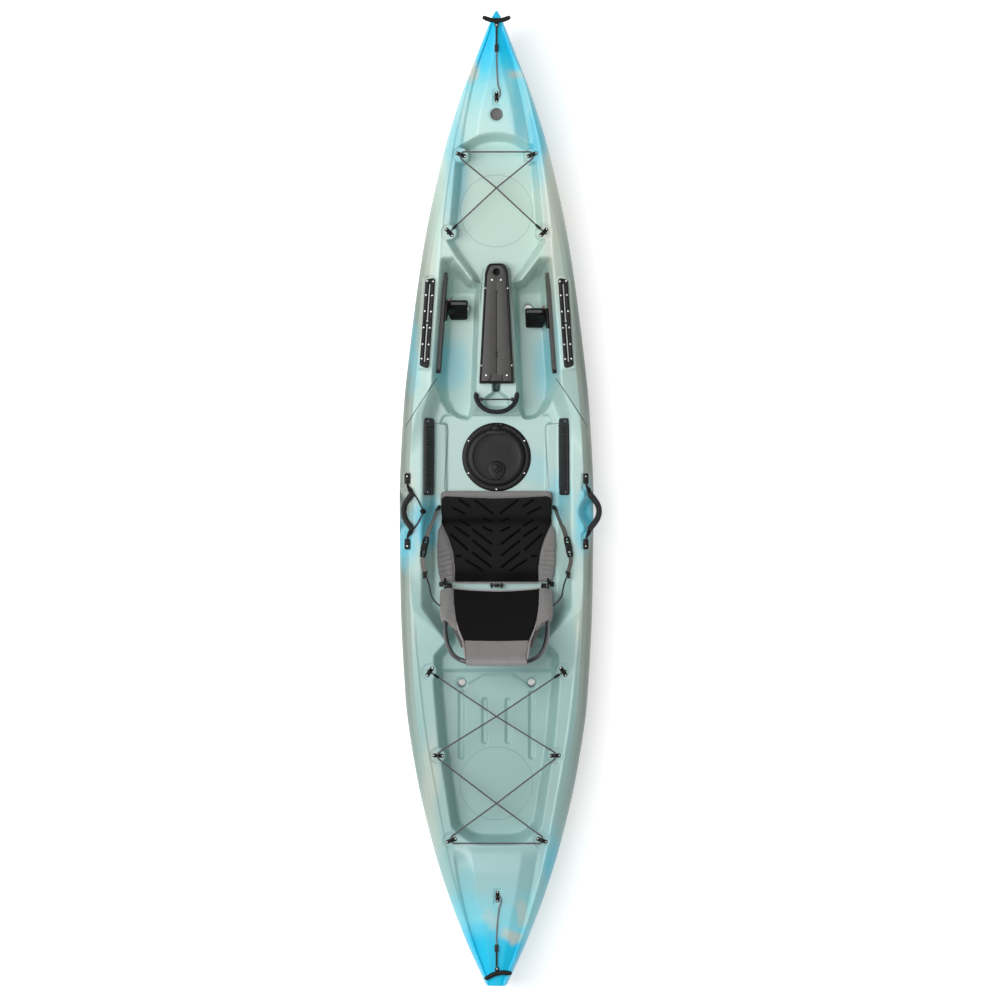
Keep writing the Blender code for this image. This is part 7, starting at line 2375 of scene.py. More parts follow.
@dataclass(frozen=True)
class Stuffing:
    """How a soft piece is filled.

    Attributes:
        voxel: The size that it is remeshed at.
        pressure: The pressure inside it.
        cap: How far the simulation may move a point.
        frames: How many frames it runs for.
        fill: How tight it feels, from 0 to 1; not used.
    """

    voxel: float = 0.005
    pressure: float = 4.0
    cap: float = 0.006
    frames: int = 20
    fill: float = 0.5

    def swell(self, bm: bmesh.types.BMesh) -> bpy.types.Mesh:
        """Remeshes a flat sewn shape evenly, blows it up and subdivides it.

        Args:
            bm: The closed shape. It is freed.

        Returns:
            The swollen mesh.
        """
        mesh = bpy.data.meshes.new("sewn")
        bm.to_mesh(mesh)
        bm.free()
        sewn = bpy.data.objects.new("sewn", mesh)
        bpy.context.scene.collection.objects.link(sewn)
        remesh = sewn.modifiers.new("even", "REMESH")
        remesh.mode = "VOXEL"
        remesh.voxel_size = self.voxel
        self.settle(sewn)
        self.simulate(sewn)
        finer = sewn.modifiers.new("finer", "SUBSURF")
        finer.levels = finer.render_levels = 1
        self.settle(sewn)
        swollen = sewn.data
        bpy.data.objects.remove(sewn)
        return swollen

    @staticmethod
    def settle(obj: bpy.types.Object) -> None:
        """Applies an object's modifiers to its mesh."""
        graph = bpy.context.evaluated_depsgraph_get()
        graph.update()
        made = bpy.data.meshes.new_from_object(obj.evaluated_get(graph))
        obj.modifiers.clear()
        obj.data = made

    def simulate(self, obj: bpy.types.Object) -> None:
        """Runs the cloth under pressure and without gravity, and holds each point within the cap."""
        before = self.positions(obj.data)
        cloth = obj.modifiers.new("cloth", "CLOTH")
        cloth.settings.use_pressure = True
        cloth.settings.uniform_pressure_force = self.pressure
        cloth.settings.effector_weights.gravity = 0.0
        cloth.settings.quality = 4
        cloth.point_cache.frame_start = 1
        cloth.point_cache.frame_end = self.frames
        scene = bpy.context.scene
        for number in range(1, self.frames + 1):
            scene.frame_set(number)
        self.settle(obj)
        scene.frame_set(1)
        moved = self.positions(obj.data) - before
        lengths = np.linalg.norm(moved, axis=1, keepdims=True)
        held = before + moved * np.minimum(1.0, self.cap / np.maximum(lengths, 1e-9))
        obj.data.vertices.foreach_set("co", held.ravel())
        obj.data.update()

    @staticmethod
    def positions(mesh: bpy.types.Mesh) -> np.ndarray:
        """The places of a mesh's vertices."""
        points = np.empty(len(mesh.vertices) * 3)
        mesh.vertices.foreach_get("co", points)
        return points.reshape(-1, 3)


def soft(
    name: str,
    bm: bmesh.types.BMesh,
    finish: Finish,
    stuffing: Stuffing,
    shape: Shaper,
    matrix: Matrix | None = None,
    body: str = HULL_BODY,
    nodes: Sequence[str] = (),
    painted_shading: Callable[[np.ndarray], np.ndarray] | None = None,
) -> bpy.types.Object:
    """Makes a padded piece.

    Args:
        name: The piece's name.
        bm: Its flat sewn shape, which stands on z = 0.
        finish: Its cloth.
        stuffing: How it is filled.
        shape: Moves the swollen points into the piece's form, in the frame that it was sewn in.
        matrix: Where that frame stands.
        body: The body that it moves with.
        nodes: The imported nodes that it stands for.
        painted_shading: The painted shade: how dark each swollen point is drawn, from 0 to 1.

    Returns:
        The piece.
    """
    mesh = stuffing.swell(bm)
    mesh.name = name
    flat = Stuffing.positions(mesh)
    formed = shape(flat.copy())
    layer = mesh.uv_layers.new(name="cloth")
    corners = np.empty(len(mesh.loops), dtype=np.int32)
    mesh.loops.foreach_get("vertex_index", corners)
    layer.uv.foreach_set("vector", flat[corners, :2].ravel())
    # Painted shade, which the cloth's material reads
    dark = mesh.attributes.new("painted_shade", "FLOAT", "POINT")
    dark.data.foreach_set("value", painted_shading(flat) if painted_shading else np.zeros(len(flat)))
    mesh.vertices.foreach_set("co", formed.ravel())
    mesh.materials.clear()
    mesh.materials.append(finish.material())
    if matrix:
        mesh.transform(matrix)
    mesh.update()
    mesh.shade_smooth()
    piece = placed(name, mesh, body, nodes)
    return piece


def near_segments(points: np.ndarray, lines: Sequence[Sequence[float]], reach: float) -> np.ndarray:
    """How near each point lies to the lines in plan: 1 on one of them, and 0 past the reach.

    Args:
        points: Rows of x, y and z.
        lines: Each line's x0, y0, x1, y1.
        reach: Half the width of a line.

    Returns:
        One value for each point.
    """
    best = np.full(len(points), 9.0)
    for x0, y0, x1, y1 in lines:
        a = np.array([x0, y0])
        run = np.array([x1, y1]) - a
        t = np.clip(((points[:, :2] - a) @ run) / (run @ run), 0.0, 1.0)
        best = np.minimum(best, np.linalg.norm(points[:, :2] - a - t[:, None] * run, axis=1))
    return smooth_step(best, reach, reach * 0.35)


@dataclass
class Seat:
    """The seat: a fabric-covered pan, its slotted pad, and a folding back on a tube frame.

    The back's pieces are made in the back's own frame, where x runs across, y up the back and -z faces the
    paddler.
    """

    front: float = 0.0405
    rear: float = -0.334
    low: float = 0.1631
    fold: float = -0.065
    hinge: tuple[float, float] = (-0.352, 0.215)
    lean: float = 40.0
    tube_radius: float = 0.0095
    pad_half: tuple[Point, ...] = (
        (0.0, 0.0115, 0.0), (0.080, 0.0125, 0.05), (0.206, 0.0200, 0.018), (0.2290, 0.0085, 0.016),
        (0.2280, -0.096, 0.03), (0.2010, -0.155, 0.05), (0.1830, -0.212, 0.05), (0.1745, -0.277, 0.05),
        (0.1722, -0.3385, 0.006),
    )
    slots: tuple[tuple[float, float, float, float], ...] = (
        (0.150, 0.000, 0.111, -0.026), (0.178, -0.032, 0.129, -0.056), (0.086, -0.002, 0.016, -0.054),
        (0.050, -0.077, 0.020, -0.088), (0.150, -0.082, 0.112, -0.105), (0.167, -0.111, 0.114, -0.148),
        (0.054, -0.111, 0.020, -0.127), (0.095, -0.122, 0.020, -0.180), (0.186, -0.141, 0.118, -0.203),
        (0.095, -0.167, 0.022, -0.226), (0.095, -0.216, 0.022, -0.2745), (0.162, -0.229, 0.146, -0.229),
        (0.123, -0.246, 0.0575, -0.288),
    )
    inner_edge: tuple[tuple[float, float], ...] = (
        (0.022, 0.1785), (0.066, 0.1747), (0.125, 0.1706), (0.1835, 0.1653), (0.2128, 0.1621), (0.2421, 0.1572),
        (0.2714, 0.1518), (0.3007, 0.1441), (0.330, 0.1360), (0.345, 0.1330),
    )

    def build(self) -> None:
        """Makes the whole seat."""
        self.cover()
        self.pad()
        self.hinges()
        self.tube()
        self.mesh_panel()
        for side in Side:
            self.wing(side)
            self.piping(side)
        self.band()
        self.clip()

    def pan_top(self, y: np.ndarray) -> np.ndarray:
        """The height of the pan's top, which slopes up to the front."""
        return 0.176 + 0.028 * np.maximum(0.0, (y - self.fold) / 0.106)

    def back_frame(self) -> Matrix:
        """The back's frame, on the hinge line."""
        lean = math.radians(self.lean)
        return axes((0.0, *self.hinge), (1.0, 0.0, 0.0), (0.0, -math.sin(lean), math.cos(lean)))

    def pad_edge(self, y: np.ndarray) -> np.ndarray:
        """The pad's half-width at y."""
        return np.interp(
            -y, [0.0, 0.096, 0.155, 0.212, 0.277, 0.334], [0.2285, 0.2280, 0.2010, 0.1830, 0.1745, 0.1722]
        )

    def slot_lines(self) -> list[tuple[float, float, float, float]]:
        """The pad's slots on both sides."""
        return [(s * x0, y0, s * x1, y1) for x0, y0, x1, y1 in self.slots for s in (1, -1)]

    def cover(self) -> None:
        """The grey cover of the pan: a band along the front, and a gathered wing beside the pad."""
        half = [
            (0.2270, self.front, 0.018), (0.2325, 0.010, 0.010), (0.2290, -0.070, 0.030),
            (0.2300, -0.098, 0.020),
            (0.2440, -0.128, 0.030), (0.2478, -0.182, 0.040), (0.2462, -0.250, 0.040), (0.2400, -0.302, 0.020),
            (0.2300, self.rear - 0.0055, 0.012),
        ]
        thick = 0.0120
        flat = plate(rounded(both_sides(half), 6), 0.0, thick)

        def lay(p: np.ndarray) -> np.ndarray:
            """Lays the cover over the pan, with its roll, its wings and their gathers."""
            x, y, z = p[:, 0], p[:, 1], p[:, 2]
            share = z / thick
            lift = 0.018 * smooth_step(y, self.fold, self.front)
            low = self.low + lift
            top = self.pan_top(y) - 0.0006
            upper = smooth_step(share, 0.2, 0.8)
            edge = self.pad_edge(y)
            outward = np.abs(x) - edge
            wing = smooth_step(outward, -0.004, 0.012) * smooth_step(y, -0.070, -0.125)
            roll = smooth_step(y, 0.010, 0.016)
            p[:, 2] = low + share * (top - low) + upper * (
                0.0085 * wing + 0.0030 * self.gathers(x, y) * wing + 0.0028 * roll
            )
            return p

        def painted_shading(p: np.ndarray) -> np.ndarray:
            """Painted shade in the bottoms of the gathers."""
            x, y = p[:, 0], p[:, 1]
            wing = smooth_step(np.abs(x) - self.pad_edge(y), -0.004, 0.008) * smooth_step(y, -0.070, -0.125)
            return 0.42 * wing * smooth_step(self.gathers(x, y), -0.2, -1.0)

        stuffing = Stuffing(voxel=0.0045, cap=0.004, fill=0.4)
        soft("seat_cover", flat, POLYESTER, stuffing, lay, nodes=["seat_pan"], painted_shading=painted_shading)
        line = [(x, self.rear - 0.0058, 0.1792 - 0.0006 * abs(x)) for x in (-0.170, -0.085, 0.0, 0.085, 0.170)]
        finished(
            "seat_cover_piping", swept(flowing(line, 0.008), circle(0.0024, 10)), BINDING, smooth_angle=80.0
        )

    @staticmethod
    def gathers(x: np.ndarray, y: np.ndarray) -> np.ndarray:
        """The cross folds of the wings' gathered cloth, from -1 in the bottoms to 1 on the ridges."""
        flow = noise_at(np.column_stack([x, y * 0.6, np.sign(x) * 0.05]), 18.0, 2.0)
        phase = (y + 0.010 * flow + 0.05 * np.abs(x)) * 2 * math.pi / 0.0215
        uneven = 0.75 + 0.5 * noise_at(np.column_stack([x, y, np.sign(x) * 0.2]), 26.0, 8.0)
        return (1 - 2 * np.abs(np.sin(phase / 2))) * -uneven * smooth_step(y, -0.150, -0.200)

    def pad(self) -> None:
        """The black pad with its slots, and the fold where the front part slopes up."""
        thick = 0.0090
        flat = plate(rounded(both_sides(self.pad_half), 6), 0.0, thick)
        lines = self.slot_lines()

        def lay(p: np.ndarray) -> np.ndarray:
            """Lays the pad on the pan, presses the slots in and folds it."""
            x, y, z = p[:, 0], p[:, 1], p[:, 2]
            upper = smooth_step(z / thick, 0.25, 0.85)
            slot = near_segments(p, lines, 0.0066) * (0.6 + 0.4 * smooth_step(y, -0.05, -0.10))
            crown = 0.0034 * (1 - np.minimum(1.0, np.abs(x) / self.pad_edge(y)) ** 4)
            crease = np.exp(-(((y + 0.084) / 0.015) ** 2))
            soft_waves = 0.0016 * noise_at(p * np.array([1.0, 1.0, 0.0]), 15.0, 1.0)
            raised = upper * (crown + soft_waves - 0.0052 * slot - 0.0040 * crease)
            p[:, 2] = self.pan_top(y) + 0.0004 + np.maximum(z, 0.0) + raised
            return p

        def painted_shading(p: np.ndarray) -> np.ndarray:
            """Painted shade: darkest in the slots, and darker in the fold and behind the last slots."""
            y = p[:, 1]
            fold_and_rear_shade = 0.62 * np.exp(-(((y + 0.084) / 0.018) ** 2)) + 0.70 * smooth_step(y, -0.262, -0.310)
            patchy = np.clip(
                fold_and_rear_shade * (1.0 + 0.35 * noise_at(p * np.array([1.0, 1.6, 0.0]), 11.0, 6.0)), 0.0, 0.9
            )
            return np.maximum(near_segments(p, lines, 0.0062), patchy)

        soft(
            "seat_pad", flat, SPACER, Stuffing(voxel=0.0040, cap=0.004, fill=0.6), lay, nodes=["seat_pad"],
            painted_shading=painted_shading
        )

    def hinges(self) -> None:
        """The pan's two ears, with the bolt that the back folds on and the rivets that hold them."""
        y, z = self.hinge
        outline = [
            (-0.3690, z - 0.004, 0.010), (-0.3690, z + 0.012, 0.010), (-0.3420, z + 0.012, 0.008),
            (-0.3120, 0.178, 0.004), (-0.3120, self.low + 0.004, 0.002), (-0.3400, self.low + 0.004, 0.002),
        ]
        inner, thick = 0.2065, 0.0080
        parts = []
        spots = []
        for side in (1, -1):
            low_x = inner if side > 0 else -inner - thick
            upright = Matrix(((0, 0, 1, low_x), (1, 0, 0, 0), (0, 1, 0, 0), (0, 0, 0, 1)))
            parts.append(moved(plate(rounded(outline, 5), 0.0, thick, 0.0012, 2), upright))
            parts.append(box((0.026, 0.020, 0.012), (side * 0.2220, -0.3440, 0.1850), 0.0030))
            spots.append(axes((side * 0.2146, y, z), (0.0, 1.0, 0.0), (0.0, 0.0, float(side))))
        finished("seat_hinges", merged(parts), NYLON, nodes=["seat_pan"])
        finished("seat_hinge_bolts", screws(spots, 0.0062, 0.0030), STAINLESS)

    def tube(self) -> None:
        """The back's bent tube."""
        half = [
            (0.0, 0.465), (0.070, 0.464), (0.118, 0.459), (0.147, 0.446), (0.170, 0.424), (0.186, 0.392),
            (0.1975, 0.352), (0.2055, 0.290), (0.2065, 0.219), (0.200, 0.110), (0.190, 0.0),
        ]
        path = [Vector((-u, v, 0.0)) for u, v in half[:0:-1]] + [Vector((u, v, 0.0)) for u, v in half]
        matrix = self.back_frame()
        line = [matrix @ p for p in flowing(path, 0.010)]
        front = matrix.to_3x3() @ Vector((0.0, 0.0, -1.0))
        bar = swept(line, circle(self.tube_radius, 24), up=front)
        finished("seat_back_tube", bar, COATED_TUBE, "seat_back", ["seat_back_frame"], 60.0)
        y, z = self.hinge
        knuckle = [
            (0.0, -0.0112), (0.0112, -0.0112), (0.0124, -0.0100), (0.0124, 0.0095), (0.0112, 0.0107),
            (0.0, 0.0107)
        ]
        ends, stubs = [], []
        for side in (1, -1):
            inward = axes((side * 0.1938, y, z), (0.0, 1.0, 0.0), (0.0, 0.0, side))
            ends.append(spun(knuckle, 28, inward, False))
            line = [(side * x, y, z) for x in (0.186, 0.200, 0.2148)]
            stubs.append(swept(line, circle(0.004, 14), up=(0, 0, 1)))
        finished("seat_back_knuckles", merged(ends), NYLON, "seat_back", ["seat_back_frame"])
        finished("seat_back_stubs", merged(stubs), STAINLESS, "seat_back", ["seat_back_frame"])

    def mesh_panel(self) -> None:
        """The mesh of the back, a shallow hollow between the wings, with wrinkles low down and a bound hem."""
        half = [(w + 0.004, v, 0.0) for v, w in self.inner_edge]
        right = [Vector((w, v)) for w, v, _ in half]
        outline = [Vector((0.0, 0.0225))] + right + [Vector((0.0, 0.345))] + [
            Vector((-p.x, p.y)) for p in right[::-1]
        ]
        thick = 0.0110
        flat = plate(outline, 0.0, thick)
        vs, ws = zip(*self.inner_edge)

        def hang(p: np.ndarray) -> np.ndarray:
            """Hollows the panel and wrinkles its lower part."""
            x, y, z = p[:, 0].copy(), p[:, 1].copy(), p[:, 2].copy()
            edge = np.interp(y, vs, ws) + 0.004
            near = np.minimum(1.0, np.abs(x) / edge)
            sag = 0.0085 * (1 - near**2)
            wrinkle = noise_at(np.column_stack([x * 0.18, y, x * 0.0]), 42.0, 3.0)
            strength = 0.0020 * smooth_step(y, 0.150, 0.030) + 0.0006
            p[:, 2] = -0.0035 + z + sag + strength * wrinkle * smooth_step(near, 1.0, 0.85)
            p[:, 1] = y - 0.0085 * near**2 * smooth_step(y, 0.060, 0.0225)
            return p

        soft(
            "seat_back_mesh", flat, BACK_MESH, Stuffing(voxel=0.0045, cap=0.004, fill=0.5), hang,
            self.back_frame(),
            "seat_back", ["seat_back_panel"],
        )
        matrix = self.back_frame()
        hem = []
        for k in range(15):
            u = -0.178 + 0.356 * k / 14
            near = abs(u) / 0.182
            hem.append(matrix @ Vector((u, 0.0215 - 0.0085 * near**2 + 0.001, 0.0020 + 0.0085 * (1 - near**2))))
        up = matrix.to_3x3() @ Vector((0.0, 1.0, 0.0))
        finished(
            "seat_back_hem", swept(flowing(hem, 0.008), strap(0.0150, 0.0052), up=up), BINDING, "seat_back"
        )

    def wing(self, side: Side) -> None:
        """A padded wing: a sleeve of grey cloth round the tube, with a slanted mouth at its top."""
        sign = side.value
        inner = [
            (0.1785, 0.0215), (0.1747, 0.066), (0.1706, 0.125), (0.1653, 0.1835), (0.1621, 0.2128),
            (0.1572, 0.2421)
        ]
        outline = [(w - 0.003, v, 0.010) for w, v in inner]
        outline += [
            (0.1528, 0.2680, 0.004), (0.1630, 0.2740, 0.006), (0.1850, 0.2380, 0.030), (0.2170, 0.2190, 0.004),
            (0.2225, 0.2130, 0.004), (0.2297, 0.1835, 0.03), (0.2316, 0.125, 0.03), (0.2314, 0.066, 0.03),
            (0.2306, 0.0225, 0.012),
        ]
        thick = 0.0280
        flat = plate([Vector((sign * p.x, p.y)) for p in rounded(outline, 5)], 0.0, thick)
        bmesh.ops.recalc_face_normals(flat, faces=flat.faces)

        def wrap(p: np.ndarray) -> np.ndarray:
            """Rounds the sleeve over the tube and thins it towards the mesh and its mouth."""
            x, y, z = np.abs(p[:, 0]), p[:, 1].copy(), p[:, 2].copy()
            inside = np.interp(y, [v for _, v in inner], [w for w, _ in inner])
            across = np.clip((x - inside) / (0.2306 - inside), 0.0, 1.0)
            tube_x = np.interp(y, [0.0, 0.110, 0.219, 0.290], [0.190, 0.200, 0.2065, 0.2055])
            ridge = np.exp(-(((x - tube_x) / 0.022) ** 2))
            half_thick = 0.0075 + 0.0068 * ridge
            middle = 0.0015
            mouth = smooth_step(y, 0.285, 0.215)
            half_thick = half_thick * (0.42 + 0.58 * np.minimum(1.0, mouth + ridge * 0.8))
            folds = 0.0011 * noise_at(np.column_stack([x * 0.6, y, x * 0.0]), 38.0, 7.0 + sign)
            front = z < thick / 2
            p[:, 2] = middle + (z - thick / 2) / (thick / 2) * half_thick + np.where(front, -folds, 0.0)
            p[:, 2] += 0.0012 * across
            return p

        soft(
            f"seat_back_wing_{side.hand}", flat, POLYESTER, Stuffing(voxel=0.0045, cap=0.003, fill=0.5), wrap,
            self.back_frame(), "seat_back", ["seat_back_panel"],
        )

    def piping(self, side: Side) -> None:
        """The bound edge that runs on from the wing beside the mesh and down the band."""
        sign = side.value
        matrix = self.back_frame()
        front = matrix.to_3x3() @ Vector((0.0, 0.0, -1.0))
        line = [
            (0.1590, 0.2480, -0.0050), (0.1530, 0.2760, -0.0058), (0.1455, 0.3030, -0.0062),
            (0.1380, 0.3300, -0.0066),
            (0.1345, 0.3480, -0.0088), (0.1300, 0.3900, -0.0092), (0.1262, 0.4300, -0.0094),
            (0.1235, 0.4560, -0.0108),
        ]
        points = [matrix @ Vector((sign * u, v, w)) for u, v, w in line]
        cord = swept(flowing(points, 0.006), circle(0.0034, 12), up=front)
        finished(f"seat_back_piping_{side.hand}", cord, BINDING, "seat_back", ["seat_back_panel"], 60.0)
        behind = [
            (0.1700, 0.2440, 0.0120), (0.1610, 0.2760, 0.0140), (0.1510, 0.3050, 0.0150),
            (0.1420, 0.3330, 0.0150),
            (0.1370, 0.3560, 0.0140),
        ]
        points = [matrix @ Vector((sign * u, v, w)) for u, v, w in behind]
        web = swept(flowing(points, 0.008), strap(0.0140, 0.0030), up=front)
        finished(f"seat_back_webbing_{side.hand}", web, WEBBING, "seat_back", ["seat_back_panel"])

    def band(self) -> None:
        """The grey band round the top of the back, and the roll where it goes round the tube."""
        thick = 0.0260
        outline = rounded(both_sides([
            (0.1340, 0.3340, 0.006), (0.1300, 0.3900, 0.03), (0.1225, 0.4480, 0.02), (0.1210, 0.4600, 0.003),
        ])[::-1], 4)
        flat = plate(outline, 0.0, thick)
        bmesh.ops.recalc_face_normals(flat, faces=flat.faces)

        def form(p: np.ndarray) -> np.ndarray:
            """Thins the band towards the mesh, and lets it sag a little between its edges."""
            x, y, z = p[:, 0], p[:, 1], p[:, 2].copy()
            half_thick = 0.0062 + 0.0052 * smooth_step(y, 0.345, 0.455)
            sag = 0.0030 * (1 - np.minimum(1.0, np.abs(x) / 0.13) ** 2) * smooth_step(y, 0.46, 0.38)
            folds = 0.0007 * noise_at(np.column_stack([x, y, x * 0.0]), 22.0, 9.0)
            p[:, 2] = 0.0008 + (z - thick / 2) / (thick / 2) * half_thick + sag + folds
            return p

        matrix = self.back_frame()
        soft(
            "seat_back_band", flat, POLYESTER, Stuffing(voxel=0.0045, cap=0.003, fill=0.4), form, matrix,
            "seat_back",
            ["seat_back_panel"],
        )
        rolled = bmesh.new()
        bmesh.ops.create_cube(rolled, size=1.0)
        bmesh.ops.scale(rolled, vec=(0.2440, 0.0260, 0.0260), verts=rolled.verts)
        bmesh.ops.translate(rolled, vec=(0.0, 0.4660, 0.0130), verts=rolled.verts)

        def rounding(p: np.ndarray) -> np.ndarray:
            """Rounds the roll over the tube."""
            y, z = p[:, 1] - 0.4640, p[:, 2] - 0.0130
            angle = np.arctan2(z, y)
            radius = np.sqrt(y * y + z * z)
            wanted = 0.0128 + 0.0004 * noise_at(p * np.array([1.0, 0.2, 0.0]), 30.0, 4.0)
            outer = smooth_step(radius, 0.004, 0.012)
            reach = radius * (1 - outer) + np.minimum(radius, wanted) * outer
            bow = 0.0012 * (1 - (p[:, 0] / 0.122) ** 2)
            p[:, 1] = 0.4640 + reach * np.cos(angle) + bow - 0.0006
            p[:, 2] = reach * np.sin(angle)
            return p

        soft(
            "seat_back_roll", rolled, ROLL_HIGHLIGHT_CLOTH, Stuffing(voxel=0.0040, cap=0.002, fill=0.6), rounding, matrix,
            "seat_back", ["seat_back_panel"],
        )
        stitches = []
        front = matrix.to_3x3() @ Vector((0.0, 0.0, -1.0))
        for v, w in ((0.3400, -0.0056), (0.4490, -0.0118)):
            row = [matrix @ Vector((u, v, w + 0.0030 * (1 - (u / 0.13) ** 2) * (1.0 if v < 0.4 else 0.1)))
                   for u in np.linspace(-0.118, 0.118, 9)]
            stitches.append(swept(flowing(row, 0.010), circle(0.0009, 6), up=front))
        finished("seat_back_stitching", merged(stitches), BINDING, "seat_back")

    def clip(self) -> None:
        """The small clip that ties the back's hem to the pan."""
        y, z = -0.3490, 0.1830
        parts = [
            box((0.056, 0.0060, 0.0040), (0.0, y, z), 0.0015),
            box((0.020, 0.0150, 0.0060), (0.0, y, z + 0.001), 0.002),
            box((0.010, 0.0200, 0.0050), (-0.020, y - 0.001, z), 0.0018),
            box((0.010, 0.0200, 0.0050), (0.020, y - 0.001, z), 0.0018),
        ]
        finished("seat_clip", merged(parts), NYLON)


@dataclass
class SeatStrap:
    """A seat's side strap: webbing from the seat's front corner, a buckle, and a cord to the back's tube."""

    side: Side
    line: tuple[Point, ...] = (
        (0.2365, -0.030, 0.196), (0.258, -0.085, 0.240), (0.280, -0.140, 0.278), (0.299, -0.195, 0.292),
        (0.302, -0.250, 0.294), (0.290, -0.300, 0.293),
    )
    cord: tuple[Point, ...] = (
        (0.290, -0.300, 0.293), (0.274, -0.345, 0.295), (0.262, -0.395, 0.302), (0.232, -0.428, 0.310),
        (0.2140, -0.432, 0.3105),
    )

    def build(self) -> None:
        """Makes the webbing, the buckle, the clips and the cord."""
        sign = self.side.value
        hand = self.side.hand
        node = [f"seat_strap_{hand}"]
        facing = Vector((sign * 0.75, 0.0, 0.66)).normalized()
        points = [Vector((sign * x, y, z)) for x, y, z in self.line]
        web = flowing([*points[:3], points[2].lerp(points[3], 0.25)], 0.006)
        tail = flowing([points[2] + facing * 0.0030, points[1].lerp(points[2], 0.30) + facing * 0.0046], 0.006)
        second = flowing([points[3].lerp(points[4], 0.70), *points[4:]], 0.006)
        parts = [swept(web, strap(0.0290, 0.0022), up=facing), swept(tail, strap(0.0280, 0.0020), up=facing),
                 swept(second, strap(0.0250, 0.0022), up=facing)]
        finished(f"seat_webbing_{hand}", merged(parts), WEBBING, nodes=node)
        along = (points[4] - points[2]).normalized()
        matrix = axes(points[2].lerp(points[4], 0.46) + facing * 0.0036, along.cross(facing), along)
        self.buckle(matrix, node)
        start = points[0]
        ahead = (points[1] - points[0]).normalized()
        clip = axes(start + ahead * 0.010, ahead.cross(facing), ahead)
        ring = axes(points[-1] - (points[-1] - points[-2]).normalized() * 0.004, along.cross(facing), along)
        clips = [
            box((0.030, 0.016, 0.0070), edge=0.0022, matrix=clip),
            box((0.020, 0.012, 0.0095), (0.0, -0.012, 0.0), 0.003, 2, clip),
            box((0.025, 0.020, 0.0070), edge=0.0024, matrix=ring),
            box((0.012, 0.020, 0.0080), (0.0, 0.014, 0.0), 0.003, 2, ring),
        ]
        finished(f"seat_strap_clips_{hand}", merged(clips), NYLON, nodes=node)
        thin = flowing([Vector((sign * x, y, z)) for x, y, z in self.cord], 0.006)
        radius = 0.0032
        cord = finished(
            f"seat_cord_{hand}", swept(thin, circle(radius, 12)), ROPE, nodes=node, smooth_angle=80.0
        )

    def buckle(self, matrix: Matrix, node: Sequence[str]) -> None:
        """A side-release buckle with a ladder bar at each end."""
        wide, long, thick = 0.0340, 0.0860, 0.0090
        outer = rounded([
            (-0.013, -long / 2, 0.004), (0.013, -long / 2, 0.004), (wide / 2, -0.020, 0.010),
            (0.0150, 0.002, 0.01),
            (wide / 2, 0.022, 0.010), (0.0125, long / 2, 0.004), (-0.0125, long / 2, 0.004),
            (-wide / 2, 0.022, 0.010),
            (-0.0150, 0.002, 0.01), (-wide / 2, -0.020, 0.010),
        ], 5)
        holes = []
        for y0, y1, half in ((-0.0360, -0.0290, 0.0090), (-0.0245, -0.0170, 0.0120), (0.0180, 0.0250, 0.0120),
                             (0.0290, 0.0360, 0.0085)):
            holes.append([Vector(p) for p in ((-half, y0), (half, y0), (half, y1), (-half, y1))])
        ladder = moved(plate(outer, -thick / 2, thick / 2, 0.0016, 2, holes=holes), matrix)
        raised = [
            box((0.024, 0.0200, 0.0046), (0.0, 0.0010, thick / 2 + 0.0012), 0.0020, 2, matrix),
            box((0.020, 0.0060, 0.0036), (0.0, -0.0390, thick / 2 + 0.0006), 0.0014, 2, matrix),
            box((0.007, 0.0230, 0.0060), (0.0125, 0.0010, thick / 2 - 0.0006), 0.0024, 2, matrix),
            box((0.007, 0.0230, 0.0060), (-0.0125, 0.0010, thick / 2 - 0.0006), 0.0024, 2, matrix),
        ]
        finished(f"seat_buckle_{self.side.hand}", merged([ladder, *raised]), NYLON, nodes=node)


# Studio


